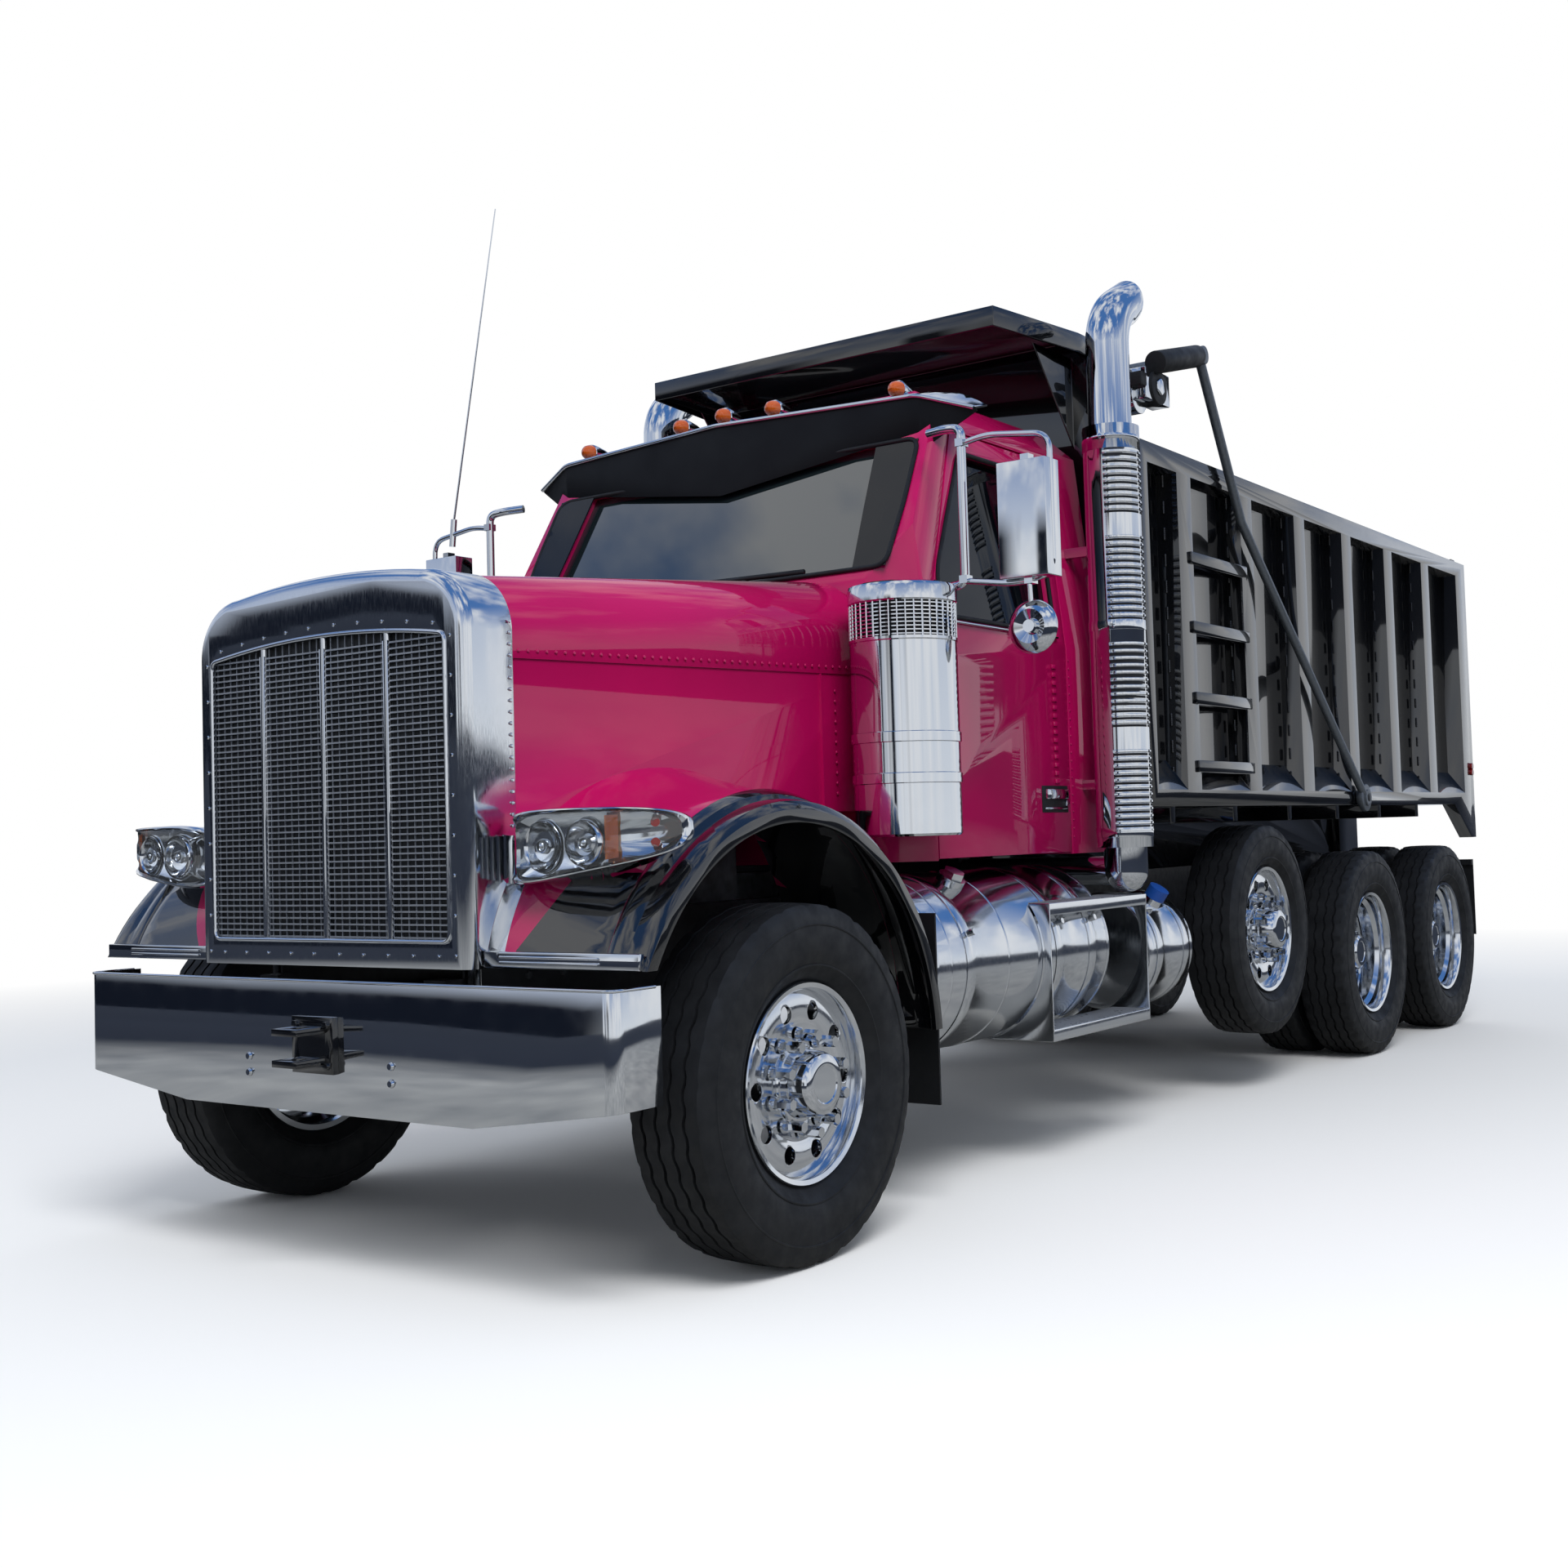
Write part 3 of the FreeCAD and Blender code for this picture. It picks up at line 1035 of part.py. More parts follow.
def make_stacks():
    """The exhaust stacks: pipe bent to the rear at the top, louvred guard, elbow to the frame."""
    guard = tube(V(STACK_X, STACK_Y, GUARD_BOTTOM), V(STACK_X, STACK_Y, GUARD_TOP), GUARD_R, GUARD_WALL)
    pipe = rod(V(STACK_X, STACK_Y, ELBOW_Z), V(STACK_X, STACK_Y, PIPE_BEND_Z), PIPE_R)
    rings = [tube(V(STACK_X, STACK_Y, z), V(STACK_X, STACK_Y, z + BAND_H), GUARD_R + BAND_WALL / 2,
                  GUARD_R + BAND_WALL / 2 - PIPE_R + OVER)
             for z in (GUARD_BOTTOM + BAND_H, (GUARD_BOTTOM + GUARD_TOP) / 2, GUARD_TOP - BAND_H)]
    centre = V(STACK_X, STACK_Y + PIPE_BEND_R, PIPE_BEND_Z)
    face = Part.Face(Part.Wire(Part.makeCircle(PIPE_R, V(STACK_X, STACK_Y, PIPE_BEND_Z), V(0, 0, 1))))
    bend = face.revolve(centre, V(-1, 0, 0), PIPE_BEND_ANGLE)
    turn = math.radians(PIPE_BEND_ANGLE)
    tip = V(STACK_X, STACK_Y + PIPE_BEND_R * (1 - math.cos(turn)),
            PIPE_BEND_Z + PIPE_BEND_R * math.sin(turn))
    end = rod(tip, tip.add(V(0, math.sin(turn), math.cos(turn)) * PIPE_TIP), PIPE_R)
    end = end.common(box(STACK_X - PIPE_R * 2, STACK_X + PIPE_R * 2, 0, tip.y + PIPE_R * PIPE_CUT_SHARE,
                         0, WHIP_TOP))
    elbow = fused(rod(V(STACK_X, STACK_Y, ELBOW_Z), V(RAIL_X + SEAT, STACK_Y, ELBOW_Z),
                      ELBOW_R), Part.makeSphere(PIPE_R, V(STACK_X, STACK_Y, ELBOW_Z)))
    stays = []
    for inner, low in ((CAB_HALF + SEAT, GUARD_BOTTOM + STAY_LOW_RISE),
                       (CAB_HALF - GREENHOUSE_INSET * STAY_IN_SHARE, CAB_BELT + STAY_HIGH_RISE)):
        stays.append(box(inner, STACK_X, STACK_Y - BAND_H / 2, STACK_Y + BAND_H / 2, low, low + BAND_H))
    stay = stays[0].fuse(stays[1])
    stay = stay.cut(cab_solid(-SEAT))
    stack = fused(pipe, bend, end, guard, elbow, stay, *rings)
    save("exhaust_stacks", pair(stack))


def make_tanks():
    """The round fuel tanks with their straps, and the smaller tank behind them."""
    def tank(x, z, y0, y1, radius, strap_places):
        body = rod(V(x, y0, z), V(x, y1, z), radius - BAND_WALL)
        body = rounded(body, CLEAR * 2, lambda m, a: abs(m.y - y0) < 1 or abs(m.y - y1) < 1)
        straps = [rod(V(x, y, z), V(x, y + STRAP_W, z), radius) for y in strap_places]
        hang_x = RAIL_X + SEAT
        hangers = [box(hang_x, x, y, y + STRAP_W, z, min(z + radius * HANGER_SHARE, RAIL_TOP - CLEAR))
                   for y in strap_places]
        return fused(body, *straps, *hangers)
    main = tank(TANK_X, TANK_Z, TANK_FRONT_Y, TANK_REAR_Y, TANK_R,
                [TANK_FRONT_Y + STRAP_INSET, STEP_FRONT_Y + STRAP_INSET / 2,
                 TANK_REAR_Y - STRAP_INSET])
    small = tank(DEF_X, DEF_Z, DEF_FRONT_Y, DEF_REAR_Y, DEF_R,
                 [DEF_FRONT_Y + BAND_H, DEF_REAR_Y - BAND_H * 3])
    cap_y = (DEF_FRONT_Y + DEF_REAR_Y) / 2
    cap = rod(V(DEF_X, cap_y, DEF_Z), V(DEF_X + DEF_R * CAP_OUT_SHARE, cap_y, DEF_Z + DEF_R * CAP_UP_SHARE),
              CAP_R)
    save("side_tanks", Part.makeCompound([main, small.fuse(cap), mirrored(main)]))


def make_steps():
    """Two steps on each side between polished end plates, hung over the tank."""
    plates = []
    inner = STEP_X - STEP_DEPTH
    for y in (STEP_FRONT_Y, STEP_REAR_Y):
        plate = box(TANK_X, STEP_X, y, y + STEP_WALL, STEP_LOW_Z, STEP_HIGH_Z + STEP_TREAD_H)
        bite = rod(V(TANK_X, y - OVER, TANK_Z), V(TANK_X, y + STEP_WALL + OVER, TANK_Z),
                   TANK_R + SEAT)
        plates.append(plate.cut(bite))
    high = box(inner, STEP_X, STEP_FRONT_Y, STEP_REAR_Y, STEP_HIGH_Z, STEP_HIGH_Z + STEP_TREAD_H)
    low = box(inner, STEP_X, STEP_FRONT_Y, STEP_REAR_Y, STEP_LOW_Z, STEP_LOW_Z + STEP_TREAD_H)
    bite = rod(V(TANK_X, STEP_FRONT_Y - OVER, TANK_Z), V(TANK_X, STEP_REAR_Y + OVER, TANK_Z),
               TANK_R + SEAT)
    steps = fused(high.cut(bite), low.cut(bite), *plates)
    save("side_steps", pair(steps))


def make_flaps():
    """Mud flaps before the tanks and behind the rear wheels, on their bars."""
    y = TANK_FRONT_Y - SEAT - FLAP_WALL
    front = box(FLAP_IN_X, FLAP_OUT_X, y, y + FLAP_WALL, FRONT_FLAP_LOW, FLAP_TOP)
    bar_y = HINGE_Y + FLAP_BEHIND
    arm_x = SILL_X + SILL_W + CROSS_W / 4 + CLEAR
    low = RAIL_TOP - RAIL_H + FLAP_BAR / 2
    far_x = BED_HALF + FLAP_BAR / 2
    bar = fused(
        box(RAIL_X + SEAT, arm_x + FLAP_BAR, HINGE_Y - FLAP_BAR * 3, HINGE_Y - FLAP_BAR, low,
            low + FLAP_BAR),
        box(arm_x, arm_x + FLAP_BAR, HINGE_Y - FLAP_BAR * 3, bar_y + FLAP_BAR, low, low + FLAP_BAR),
        box(arm_x, arm_x + FLAP_BAR, bar_y, bar_y + FLAP_BAR, low, FLAP_TOP),
        box(arm_x, far_x, bar_y, bar_y + FLAP_BAR, FLAP_TOP - FLAP_BAR, FLAP_TOP),
        box(TWIN_RIM_X - TWIN_SPACING - TWIN_RIM_W, far_x, bar_y + FLAP_BAR - OVER,
            bar_y + FLAP_BAR - OVER + FLAP_WALL, REAR_FLAP_LOW, FLAP_TOP))
    save("mud_flaps", Part.makeCompound([front, mirrored(front), bar, mirrored(bar)]))


def make_mirrors():
    """The mirror on each door: loop of tube, head clamped before it, and round convex glass."""
    head = box(MIRROR_X - MIRROR_W / 2, MIRROR_X + MIRROR_W / 2, MIRROR_Y, MIRROR_Y + MIRROR_D,
               MIRROR_BOTTOM, MIRROR_TOP)
    head = rounded(head, MIRROR_D / 3, lambda m, a: abs(m.y - MIRROR_Y) < 1)
    post_low = V(MIRROR_POST_X, MIRROR_POST_Y, MIRROR_ARM_BOTTOM)
    post_high = V(MIRROR_POST_X, MIRROR_POST_Y, MIRROR_ARM_TOP)
    low = V(MIRROR_X, MIRROR_LOOP_Y, CONVEX_Z)
    high = V(MIRROR_X, MIRROR_LOOP_Y, MIRROR_ARM_TOP)
    tubes = [rod(post_low, post_high, MIRROR_ARM_R), rod(post_high, high, MIRROR_ARM_R),
             rod(low, high, MIRROR_ARM_R), rod(post_low, low, MIRROR_ARM_R)]
    tubes += [Part.makeSphere(MIRROR_ARM_R, end) for end in (low, high, post_low, post_high)]
    clamps = [box(MIRROR_X - BAND_H / 2, MIRROR_X + BAND_H / 2, MIRROR_Y + MIRROR_D - OVER,
                  MIRROR_LOOP_Y, z, z + BAND_H)
              for z in (MIRROR_BOTTOM + BAND_H, MIRROR_TOP - 2 * BAND_H)]
    convex = rod(V(MIRROR_X, MIRROR_Y, CONVEX_Z), V(MIRROR_X, MIRROR_Y + MIRROR_D / 2, CONVEX_Z),
                 CONVEX_R)
    stem = rod(V(MIRROR_X, MIRROR_Y + MIRROR_D / 4, CONVEX_Z), low, MIRROR_ARM_R)
    feet = [rod(post_low, V(CAB_HALF - CAB_WALL, MIRROR_POST_Y, MIRROR_ARM_BOTTOM), MIRROR_ARM_R),
            rod(V(MIRROR_POST_X, MIRROR_POST_Y, MIRROR_ARM_TOP),
                V(CAB_HALF - GREENHOUSE_INSET - CAB_WALL, WINDSCREEN_TOP_Y + CAB_WALL * 2,
                  MIRROR_ARM_TOP), MIRROR_ARM_R)]
    feet = [foot.cut(cab_solid(-SEAT)) for foot in feet]
    left = fused(head, convex, stem, *tubes, *clamps, *feet)
    whip = rod(V(-MIRROR_X, MIRROR_LOOP_Y, MIRROR_ARM_TOP),
               V(-MIRROR_X + WHIP_LEAN, MIRROR_LOOP_Y, WHIP_TOP), WHIP_R)
    save("mirror_left", left)
    save("mirror_right", mirrored(left).fuse(whip))


def hood_section(y, half, top, bottom, crease):
    """A closed section of the hood: side panels, creased step, round shoulders, crowned top."""
    corner = HOOD_CORNER_R
    bend = corner * math.sqrt(0.5)
    side = half - HOOD_CREASE_STEP
    a, b = V(-half, y, top - corner), V(-half + corner, y, top)
    c, d = V(half - corner, y, top), V(half, y, top - corner)
    left_mid = V(-half + corner - bend, y, top - corner + bend)
    right_mid = V(half - corner + bend, y, top - corner + bend)
    return Part.Wire([
        Part.LineSegment(V(-side, y, bottom), V(-side, y, crease)).toShape(),
        Part.LineSegment(V(-side, y, crease), V(-half, y, crease)).toShape(),
        Part.LineSegment(V(-half, y, crease), a).toShape(),
        Part.Arc(a, left_mid, b).toShape(),
        Part.Arc(b, V(0, y, top + HOOD_RISE), c).toShape(),
        Part.Arc(c, right_mid, d).toShape(),
        Part.LineSegment(d, V(half, y, crease)).toShape(),
        Part.LineSegment(V(half, y, crease), V(side, y, crease)).toShape(),
        Part.LineSegment(V(side, y, crease), V(side, y, bottom)).toShape(),
        Part.LineSegment(V(side, y, bottom), V(-side, y, bottom)).toShape()])


def hood_form(inset):
    """The hood's outer form, or its hollow when drawn in by the wall."""
    front = hood_section(CROWN_BACK_Y, CROWN_HALF - inset, CROWN_TOP - SEAT - inset,
                         HOOD_REAR_BOTTOM, HOOD_CREASE_FRONT_Z)
    rear = hood_section(HOOD_REAR_Y, HOOD_REAR_HALF - inset, HOOD_REAR_TOP - inset,
                        HOOD_REAR_BOTTOM, HOOD_CREASE_REAR_Z)
    return Part.makeLoft([front, rear], True, True)


def fender_curve(x, lift):
    """The fender's outer line in the side view, as its front foot, crown and rear foot."""
    radius = FENDER_R + lift
    front_z = FENDER_FRONT_Z
    rear_z = FENDER_REAR_Z
    front_y = FENDER_Y - math.sqrt(FENDER_R ** 2 - (front_z - FENDER_Z) ** 2)
    rear_y = FENDER_Y + math.sqrt(FENDER_R ** 2 - (rear_z - FENDER_Z) ** 2)
    top = V(x, FENDER_Y, FENDER_Z + radius)
    return V(x, front_y, front_z), top, V(x, rear_y, rear_z)


def fender_section(x, lift, wall):
    """A closed band between the fender's outer and inner lines at one place across."""
    foot, top, heel = fender_curve(x, lift)
    inner_foot = foot.add(V(0, wall, 0))
    inner_top = top.sub(V(0, 0, wall))
    inner_heel = heel.sub(V(0, wall, 0))
    return Part.Wire([
        Part.Arc(foot, top, heel).toShape(),
        Part.LineSegment(heel, inner_heel).toShape(),
        Part.Arc(inner_heel, inner_top, inner_foot).toShape(),
        Part.LineSegment(inner_foot, foot).toShape()])


def make_hood():
    """The tilting hood: hollow top and sides, and the fender tops that run into them."""
    shell = hood_form(0).cut(hood_form(HOOD_WALL))
    low = box(-HOOD_REAR_HALF - OVER, HOOD_REAR_HALF + OVER, CROWN_BACK_Y - OVER, HOOD_REAR_Y + OVER,
              HOOD_REAR_BOTTOM - OVER, HOOD_REAR_BOTTOM + HOOD_WALL + OVER)
    shell = shell.cut(low)
    flare_x = FENDER_OUT_X - FLARE_W
    top = Part.makeLoft([
        fender_section(CROWN_HALF - HOOD_WALL, FENDER_RISE_IN, FENDER_WALL),
        fender_section(HOOD_REAR_HALF, FENDER_CROWN, FENDER_WALL),
        fender_section(flare_x - SEAT, FENDER_CROWN / 2, FENDER_WALL)], True)
    inside = hood_form(HOOD_WALL)
    top = top.cut(inside)
    wing = side_plate([
        (CROWN_BACK_Y, HOOD_REAR_BOTTOM + 2 * HOOD_WALL), (CROWN_BACK_Y, FENDER_FRONT_Z),
        (CROWN_BACK_Y + FENDER_LIP, FENDER_FRONT_Z), (FENDER_Y, HOOD_REAR_BOTTOM),
        (HOOD_REAR_Y - FENDER_LIP * 3, HOOD_REAR_BOTTOM + 2 * HOOD_WALL)],
        CROWN_HALF - HOOD_WALL, CROWN_HALF)
    hood = fused(shell, top, mirrored(top), wing, mirrored(wing))
    crown_room = box(-CROWN_HALF - SEAT, CROWN_HALF + SEAT, -FRONT_REACH, CROWN_BACK_Y, 0, WHIP_TOP)
    hood = hood.cut(crown_room)
    save("hood", hood)


def flare_stations():
    """Each place across the flare with its rise over the lip: two rolled ridges and a valley."""
    flare_x = FENDER_OUT_X - FLARE_W
    return [(flare_x + FLARE_W * share, rise) for share, rise in zip(FLARE_PLACES, FLARE_RISES)]


def make_fenders():
    """The black flares along the fenders, with two rolled ridges and a turned-in lip."""
    band = Part.makeLoft([fender_section(x, rise, FENDER_WALL) for x, rise in flare_stations()],
                         True, True)
    lip = Part.makeLoft([
        fender_section(FENDER_OUT_X - FENDER_LIP / 2, 0, FENDER_LIP),
        fender_section(FENDER_OUT_X, 0, FENDER_LIP)], True)
    save("fenders", pair(band.fuse(lip)))


def crown_form(inset, y0, y1):
    """The radiator crown's outline in the front view, with its round upper corners."""
    half, top, radius = CROWN_HALF - inset, CROWN_TOP - inset, CROWN_CORNER_R
    low = CROWN_BOTTOM + inset
    bend = radius * math.sqrt(0.5)
    a, b = V(-half, y0, top - radius), V(-half + radius, y0, top)
    c, d = V(half - radius, y0, top), V(half, y0, top - radius)
    wire = Part.Wire([
        Part.LineSegment(V(-half, y0, low), a).toShape(),
        Part.Arc(a, V(-half + radius - bend, y0, top - radius + bend), b).toShape(),
        Part.Arc(b, V(0, y0, top + inset / 2 + CROWN_RISE), c).toShape(),
        Part.Arc(c, V(half - radius + bend, y0, top - radius + bend), d).toShape(),
        Part.LineSegment(d, V(half, y0, low)).toShape(),
        Part.LineSegment(V(half, y0, low), V(-half, y0, low)).toShape()])
    return Part.Face(wire).extrude(V(0, y1 - y0, 0))


def make_crown():
    """The polished crown around the grille, rounded at its front edge."""
    crown = crown_form(0, CROWN_FRONT_Y, CROWN_BACK_Y - SEAT)
    crown = rounded(crown, CROWN_EDGE_R,
                    lambda m, a: abs(m.y - CROWN_FRONT_Y) < 1 and m.z > CROWN_BOTTOM + OVER)
    hollow = crown_form(CROWN_WALL, CROWN_FRONT_Y + GRILLE_DEPTH + CROWN_WALL, CROWN_BACK_Y + OVER)
    opening = grille_outline(0, CROWN_FRONT_Y - OVER, CROWN_FRONT_Y + GRILLE_DEPTH * 2)
    room = box(-RAIL_X - CLEAR, RAIL_X + CLEAR, RAIL_FRONT_Y - CROSS_W / 2 - CLEAR, CROWN_BACK_Y,
               CROWN_BOTTOM - OVER, GRILLE_BOTTOM)
    lug = hood_lug()
    save("crown", fused(crown.cut(hollow).cut(opening).cut(room), lug, mirrored(lug)))


def hood_lug():
    """A cranked lug that hangs the crown from its hinge pin behind the bumper."""
    y, z = HOOD_PIVOT_Y, HOOD_PIVOT_Z
    top = CROWN_BOTTOM + CROWN_WALL
    lug = side_plate([
        (y - HOOD_LUG_R, z - HOOD_LUG_R), (y + HOOD_LUG_R, z - HOOD_LUG_R),
        (y + HOOD_LUG_REACH, z + HOOD_LUG_R), (y + HOOD_LUG_REACH, top),
        (y + HOOD_LUG_REACH - HOOD_LUG_W, top), (y + HOOD_LUG_REACH - HOOD_LUG_W, z + HOOD_LUG_RISE),
        (y, z + HOOD_LUG_R), (y - HOOD_LUG_R, z + HOOD_LUG_R)],
        RAIL_X + CLEAR, RAIL_X + CLEAR + HOOD_LUG_W)
    return lug.cut(across(RAIL_X, RAIL_X + CROSS_W, y, z, HOOD_PIN_R + RUN))


def grille_outline(inset, y0, y1):
    """The grille opening: square at the foot, with its upper edge gently arched."""
    half, low, top = GRILLE_HALF - inset, GRILLE_BOTTOM + inset, GRILLE_TOP - inset
    wire = Part.Wire([
        Part.LineSegment(V(-half, y0, low), V(-half, y0, top - GRILLE_DEPTH)).toShape(),
        Part.Arc(V(-half, y0, top - GRILLE_DEPTH), V(0, y0, top),
                 V(half, y0, top - GRILLE_DEPTH)).toShape(),
        Part.LineSegment(V(half, y0, top - GRILLE_DEPTH), V(half, y0, low)).toShape(),
        Part.LineSegment(V(half, y0, low), V(-half, y0, low)).toShape()])
    return Part.Face(wire).extrude(V(0, y1 - y0, 0))


def make_grille():
    """The dark mesh insert and the three upright bars before it."""
    y0 = CROWN_FRONT_Y + GRILLE_DEPTH / 2
    insert = grille_outline(SEAT, y0, y0 + GRILLE_DEPTH / 2)
    bars = [box(x - GRILLE_BAR_W / 2, x + GRILLE_BAR_W / 2, y0 - GRILLE_DEPTH / 2, y0,
                GRILLE_BOTTOM + SEAT, GRILLE_TOP - GRILLE_DEPTH) for x in GRILLE_BARS]
    save("grille", fused(insert, *bars))


def make_pods():
    """The headlamp pods: housings that taper to the rear, with two lamps in each."""
    bevel = (POD_BACK_Y - POD_FRONT_Y) / 4
    points = [(POD_IN_X, POD_FRONT_Y + bevel), (POD_IN_X + bevel / 2, POD_FRONT_Y),
              (POD_OUT_X - bevel * 3, POD_FRONT_Y), (POD_OUT_X - bevel, POD_FRONT_Y + bevel),
              (POD_OUT_X, POD_BACK_Y - bevel), (POD_OUT_X - bevel / 2, POD_BACK_Y),
              (POD_IN_X + bevel * 2, POD_BACK_Y), (POD_IN_X, POD_BACK_Y - bevel)]
    body = plan_plate(points, POD_BOTTOM, POD_TOP)
    under = front_plate([(POD_IN_X - OVER, POD_BOTTOM - OVER), (POD_OUT_X + OVER, POD_BOTTOM - OVER),
                         (POD_OUT_X + OVER, POD_BOTTOM + POD_TAIL_RISE), (POD_IN_X - OVER, POD_BOTTOM)],
                        POD_FRONT_Y - OVER, POD_BACK_Y + OVER)
    body = body.cut(under)
    body = rounded(body, POD_EDGE_R, lambda m, a: abs(m.z - POD_TOP) < 1)
    body = body.cut(fender_clear()).cut(hood_form(-SEAT))
    mid_z = (POD_BOTTOM + POD_TOP) / 2
    width = POD_OUT_X - POD_IN_X
    lamps = [rod(V(POD_IN_X + width * share, POD_FRONT_Y - CLEAR, mid_z),
                 V(POD_IN_X + width * share, POD_FRONT_Y + CLEAR, mid_z), LAMP_R)
             for share in POD_LAMP_SHARES]
    save("headlamp_pods", pair(fused(body, *lamps)))


def fender_clear():
    """The space that the fender takes, so that the pod seats on it."""
    gap = SEAT * 4

    def filled(x, lift):
        foot, top, heel = fender_curve(x, lift + gap)
        return Part.Wire([Part.Arc(foot, top, heel).toShape(),
                          Part.LineSegment(heel, foot).toShape()])
    stations = flare_stations()
    inner = Part.makeLoft([filled(CROWN_HALF - HOOD_WALL, FENDER_RISE_IN),
                           filled(HOOD_REAR_HALF, FENDER_CROWN), filled(*stations[0])], True)
    end_x, end_rise = stations[-1]
    outer = Part.makeLoft([filled(x, rise) for x, rise in stations[:-1]]
                          + [filled(end_x + gap, end_rise)], True, True)
    return inner.fuse(outer)


def post_places():
    """Where the side posts' front edges stand along the bed."""
    return [POST_FIRST_Y + i * POST_PITCH for i in range(POST_COUNT)]


def make_bed_floor():
    """Floor plate, long sills, cross bearers and the hinge lugs around the frame's pin."""
    floor = box(-SIDE_X + SEAT, SIDE_X - SEAT, BED_FRONT_Y, BED_REAR_Y, FLOOR_BOTTOM,
                FLOOR_BOTTOM + FLOOR_WALL)
    pieces = [floor]
    sill_low = RAIL_TOP + SILL_GAP
    lug_low = SILL_X + SILL_W / 2 + CLEAR
    for side in (1, -1):
        low, high = sorted((side * (SILL_X - SILL_W / 2), side * (SILL_X + SILL_W / 2)))
        pieces.append(box(low, high, BED_FRONT_Y, BED_REAR_Y, sill_low, FLOOR_BOTTOM + OVER))
        low, high = sorted((side * (SILL_X + SILL_W / 2 - OVER), side * (lug_low + CLEAR * 3)))
        pieces.append(box(low, high, HINGE_Y - HINGE_BOSS_R, HINGE_Y + HINGE_BOSS_R,
                          sill_low + CLEAR, FLOOR_BOTTOM + OVER))
        low, high = sorted((side * lug_low, side * (lug_low + CLEAR * 2)))
        pieces.append(side_plate([
            (HINGE_Y - HINGE_BOSS_R, sill_low + CROSS_W / 2), (HINGE_Y - HINGE_BOSS_R, HINGE_Z),
            (HINGE_Y - HINGE_BOSS_R / 2, HINGE_Z - HINGE_BOSS_R * HINGE_CHEEK_SHARE),
            (HINGE_Y + HINGE_BOSS_R / 2, HINGE_Z - HINGE_BOSS_R * HINGE_CHEEK_SHARE),
            (HINGE_Y + HINGE_BOSS_R, HINGE_Z), (HINGE_Y + HINGE_BOSS_R, sill_low + CROSS_W / 2)],
            low, high))
    for y in post_places():
        pieces.append(box(-SIDE_X + SEAT, SIDE_X - SEAT, y + POST_W / 3, y + POST_W * 2 / 3,
                          FLOOR_BOTTOM - RAIL_BAND_H, FLOOR_BOTTOM + OVER))
    hoist_room = box(-DOGHOUSE_HALF, DOGHOUSE_HALF, BED_FRONT_Y - OVER, BED_FRONT_Y + DOGHOUSE_FOOT_D,
                     sill_low - OVER, FLOOR_BOTTOM + FLOOR_WALL + OVER)
    floor = fused(*pieces).cut(hoist_room)
    pin = across(-BED_HALF, BED_HALF, HINGE_Y, HINGE_Z, HINGE_PIN_R + RUN)
    save("bed_floor", floor.cut(pin))


def make_bed_sides():
    """The side walls with their posts, sloped ledges, rails, corner posts and steps."""
    rear = BED_REAR_Y
    wall = box(SIDE_X, SIDE_X + SIDE_WALL, BED_FRONT_Y, rear, FLOOR_BOTTOM, TOP_RAIL_BOTTOM + OVER)
    top = box(SIDE_X - TOP_RAIL_LIP, BED_HALF, BED_FRONT_Y, rear, TOP_RAIL_BOTTOM, TOP_RAIL_TOP)
    low = box(SIDE_X, BED_HALF, BED_FRONT_Y, rear, FLOOR_BOTTOM, FLOOR_BOTTOM + RAIL_BAND_H)
    ledge_z = FLOOR_BOTTOM + RAIL_BAND_H
    ledge = Part.Face(Part.makePolygon([
        V(SIDE_X, BED_FRONT_Y, ledge_z - OVER), V(BED_HALF, BED_FRONT_Y, ledge_z - OVER),
        V(BED_HALF, BED_FRONT_Y, ledge_z), V(SIDE_X, BED_FRONT_Y, ledge_z + RAIL_BAND_H * 2),
        V(SIDE_X, BED_FRONT_Y, ledge_z - OVER)])).extrude(V(0, rear - BED_FRONT_Y, 0))
    posts = [box(SIDE_X, BED_HALF, y, y + POST_W, ledge_z - OVER, TOP_RAIL_BOTTOM + OVER)
             for y in post_places()]
    corner = box(SIDE_X, BED_HALF, rear - CORNER_POST_W, rear, FLOOR_BOTTOM, TOP_RAIL_TOP)
    nose = box(SIDE_X, BED_HALF, BED_FRONT_Y, BED_FRONT_Y + POST_W / 2, FLOOR_BOTTOM, TOP_RAIL_TOP)
    foot = side_plate([
        (rear - CORNER_FOOT, FLOOR_BOTTOM + OVER), (rear, FLOOR_BOTTOM + OVER), (rear, CORNER_DROP_Z),
        (rear - CORNER_POST_W / 2, CORNER_DROP_Z)], SIDE_X + SIDE_WALL * 4, BED_HALF)
    side = fused(wall, top, low, ledge, corner, nose, foot, *posts)
    rungs = ladder()
    pin = across(BED_HALF - OVER, TARP_ARM_X + TARP_TUBE_R, TARP_PIVOT_Y, TARP_PIVOT_Z, TARP_TUBE_R)
    side = fused(side, pin)
    left = fused(side, *rungs)
    hinge_y, hinge_z = tailgate_hinge()
    ear_low = TOP_RAIL_BOTTOM
    ear_r = TAILGATE_PIN_R + OVER
    ears = [side_plate([(rear - OVER, ear_low), (hinge_y + ear_r, ear_low),
                        (hinge_y + ear_r, hinge_z + ear_r), (rear - OVER, hinge_z + ear_r)],
                       SIDE_X + SIDE_WALL * 2, SIDE_X + SIDE_WALL * 4)]
    hole = across(SIDE_X - CLEAR, BED_HALF + CLEAR, hinge_y, hinge_z, TAILGATE_PIN_R + RUN)
    ears = [ear.cut(hole) for ear in ears]
    save("bed_sides", Part.makeCompound([left.multiFuse(ears), mirrored(side.multiFuse(ears))]))


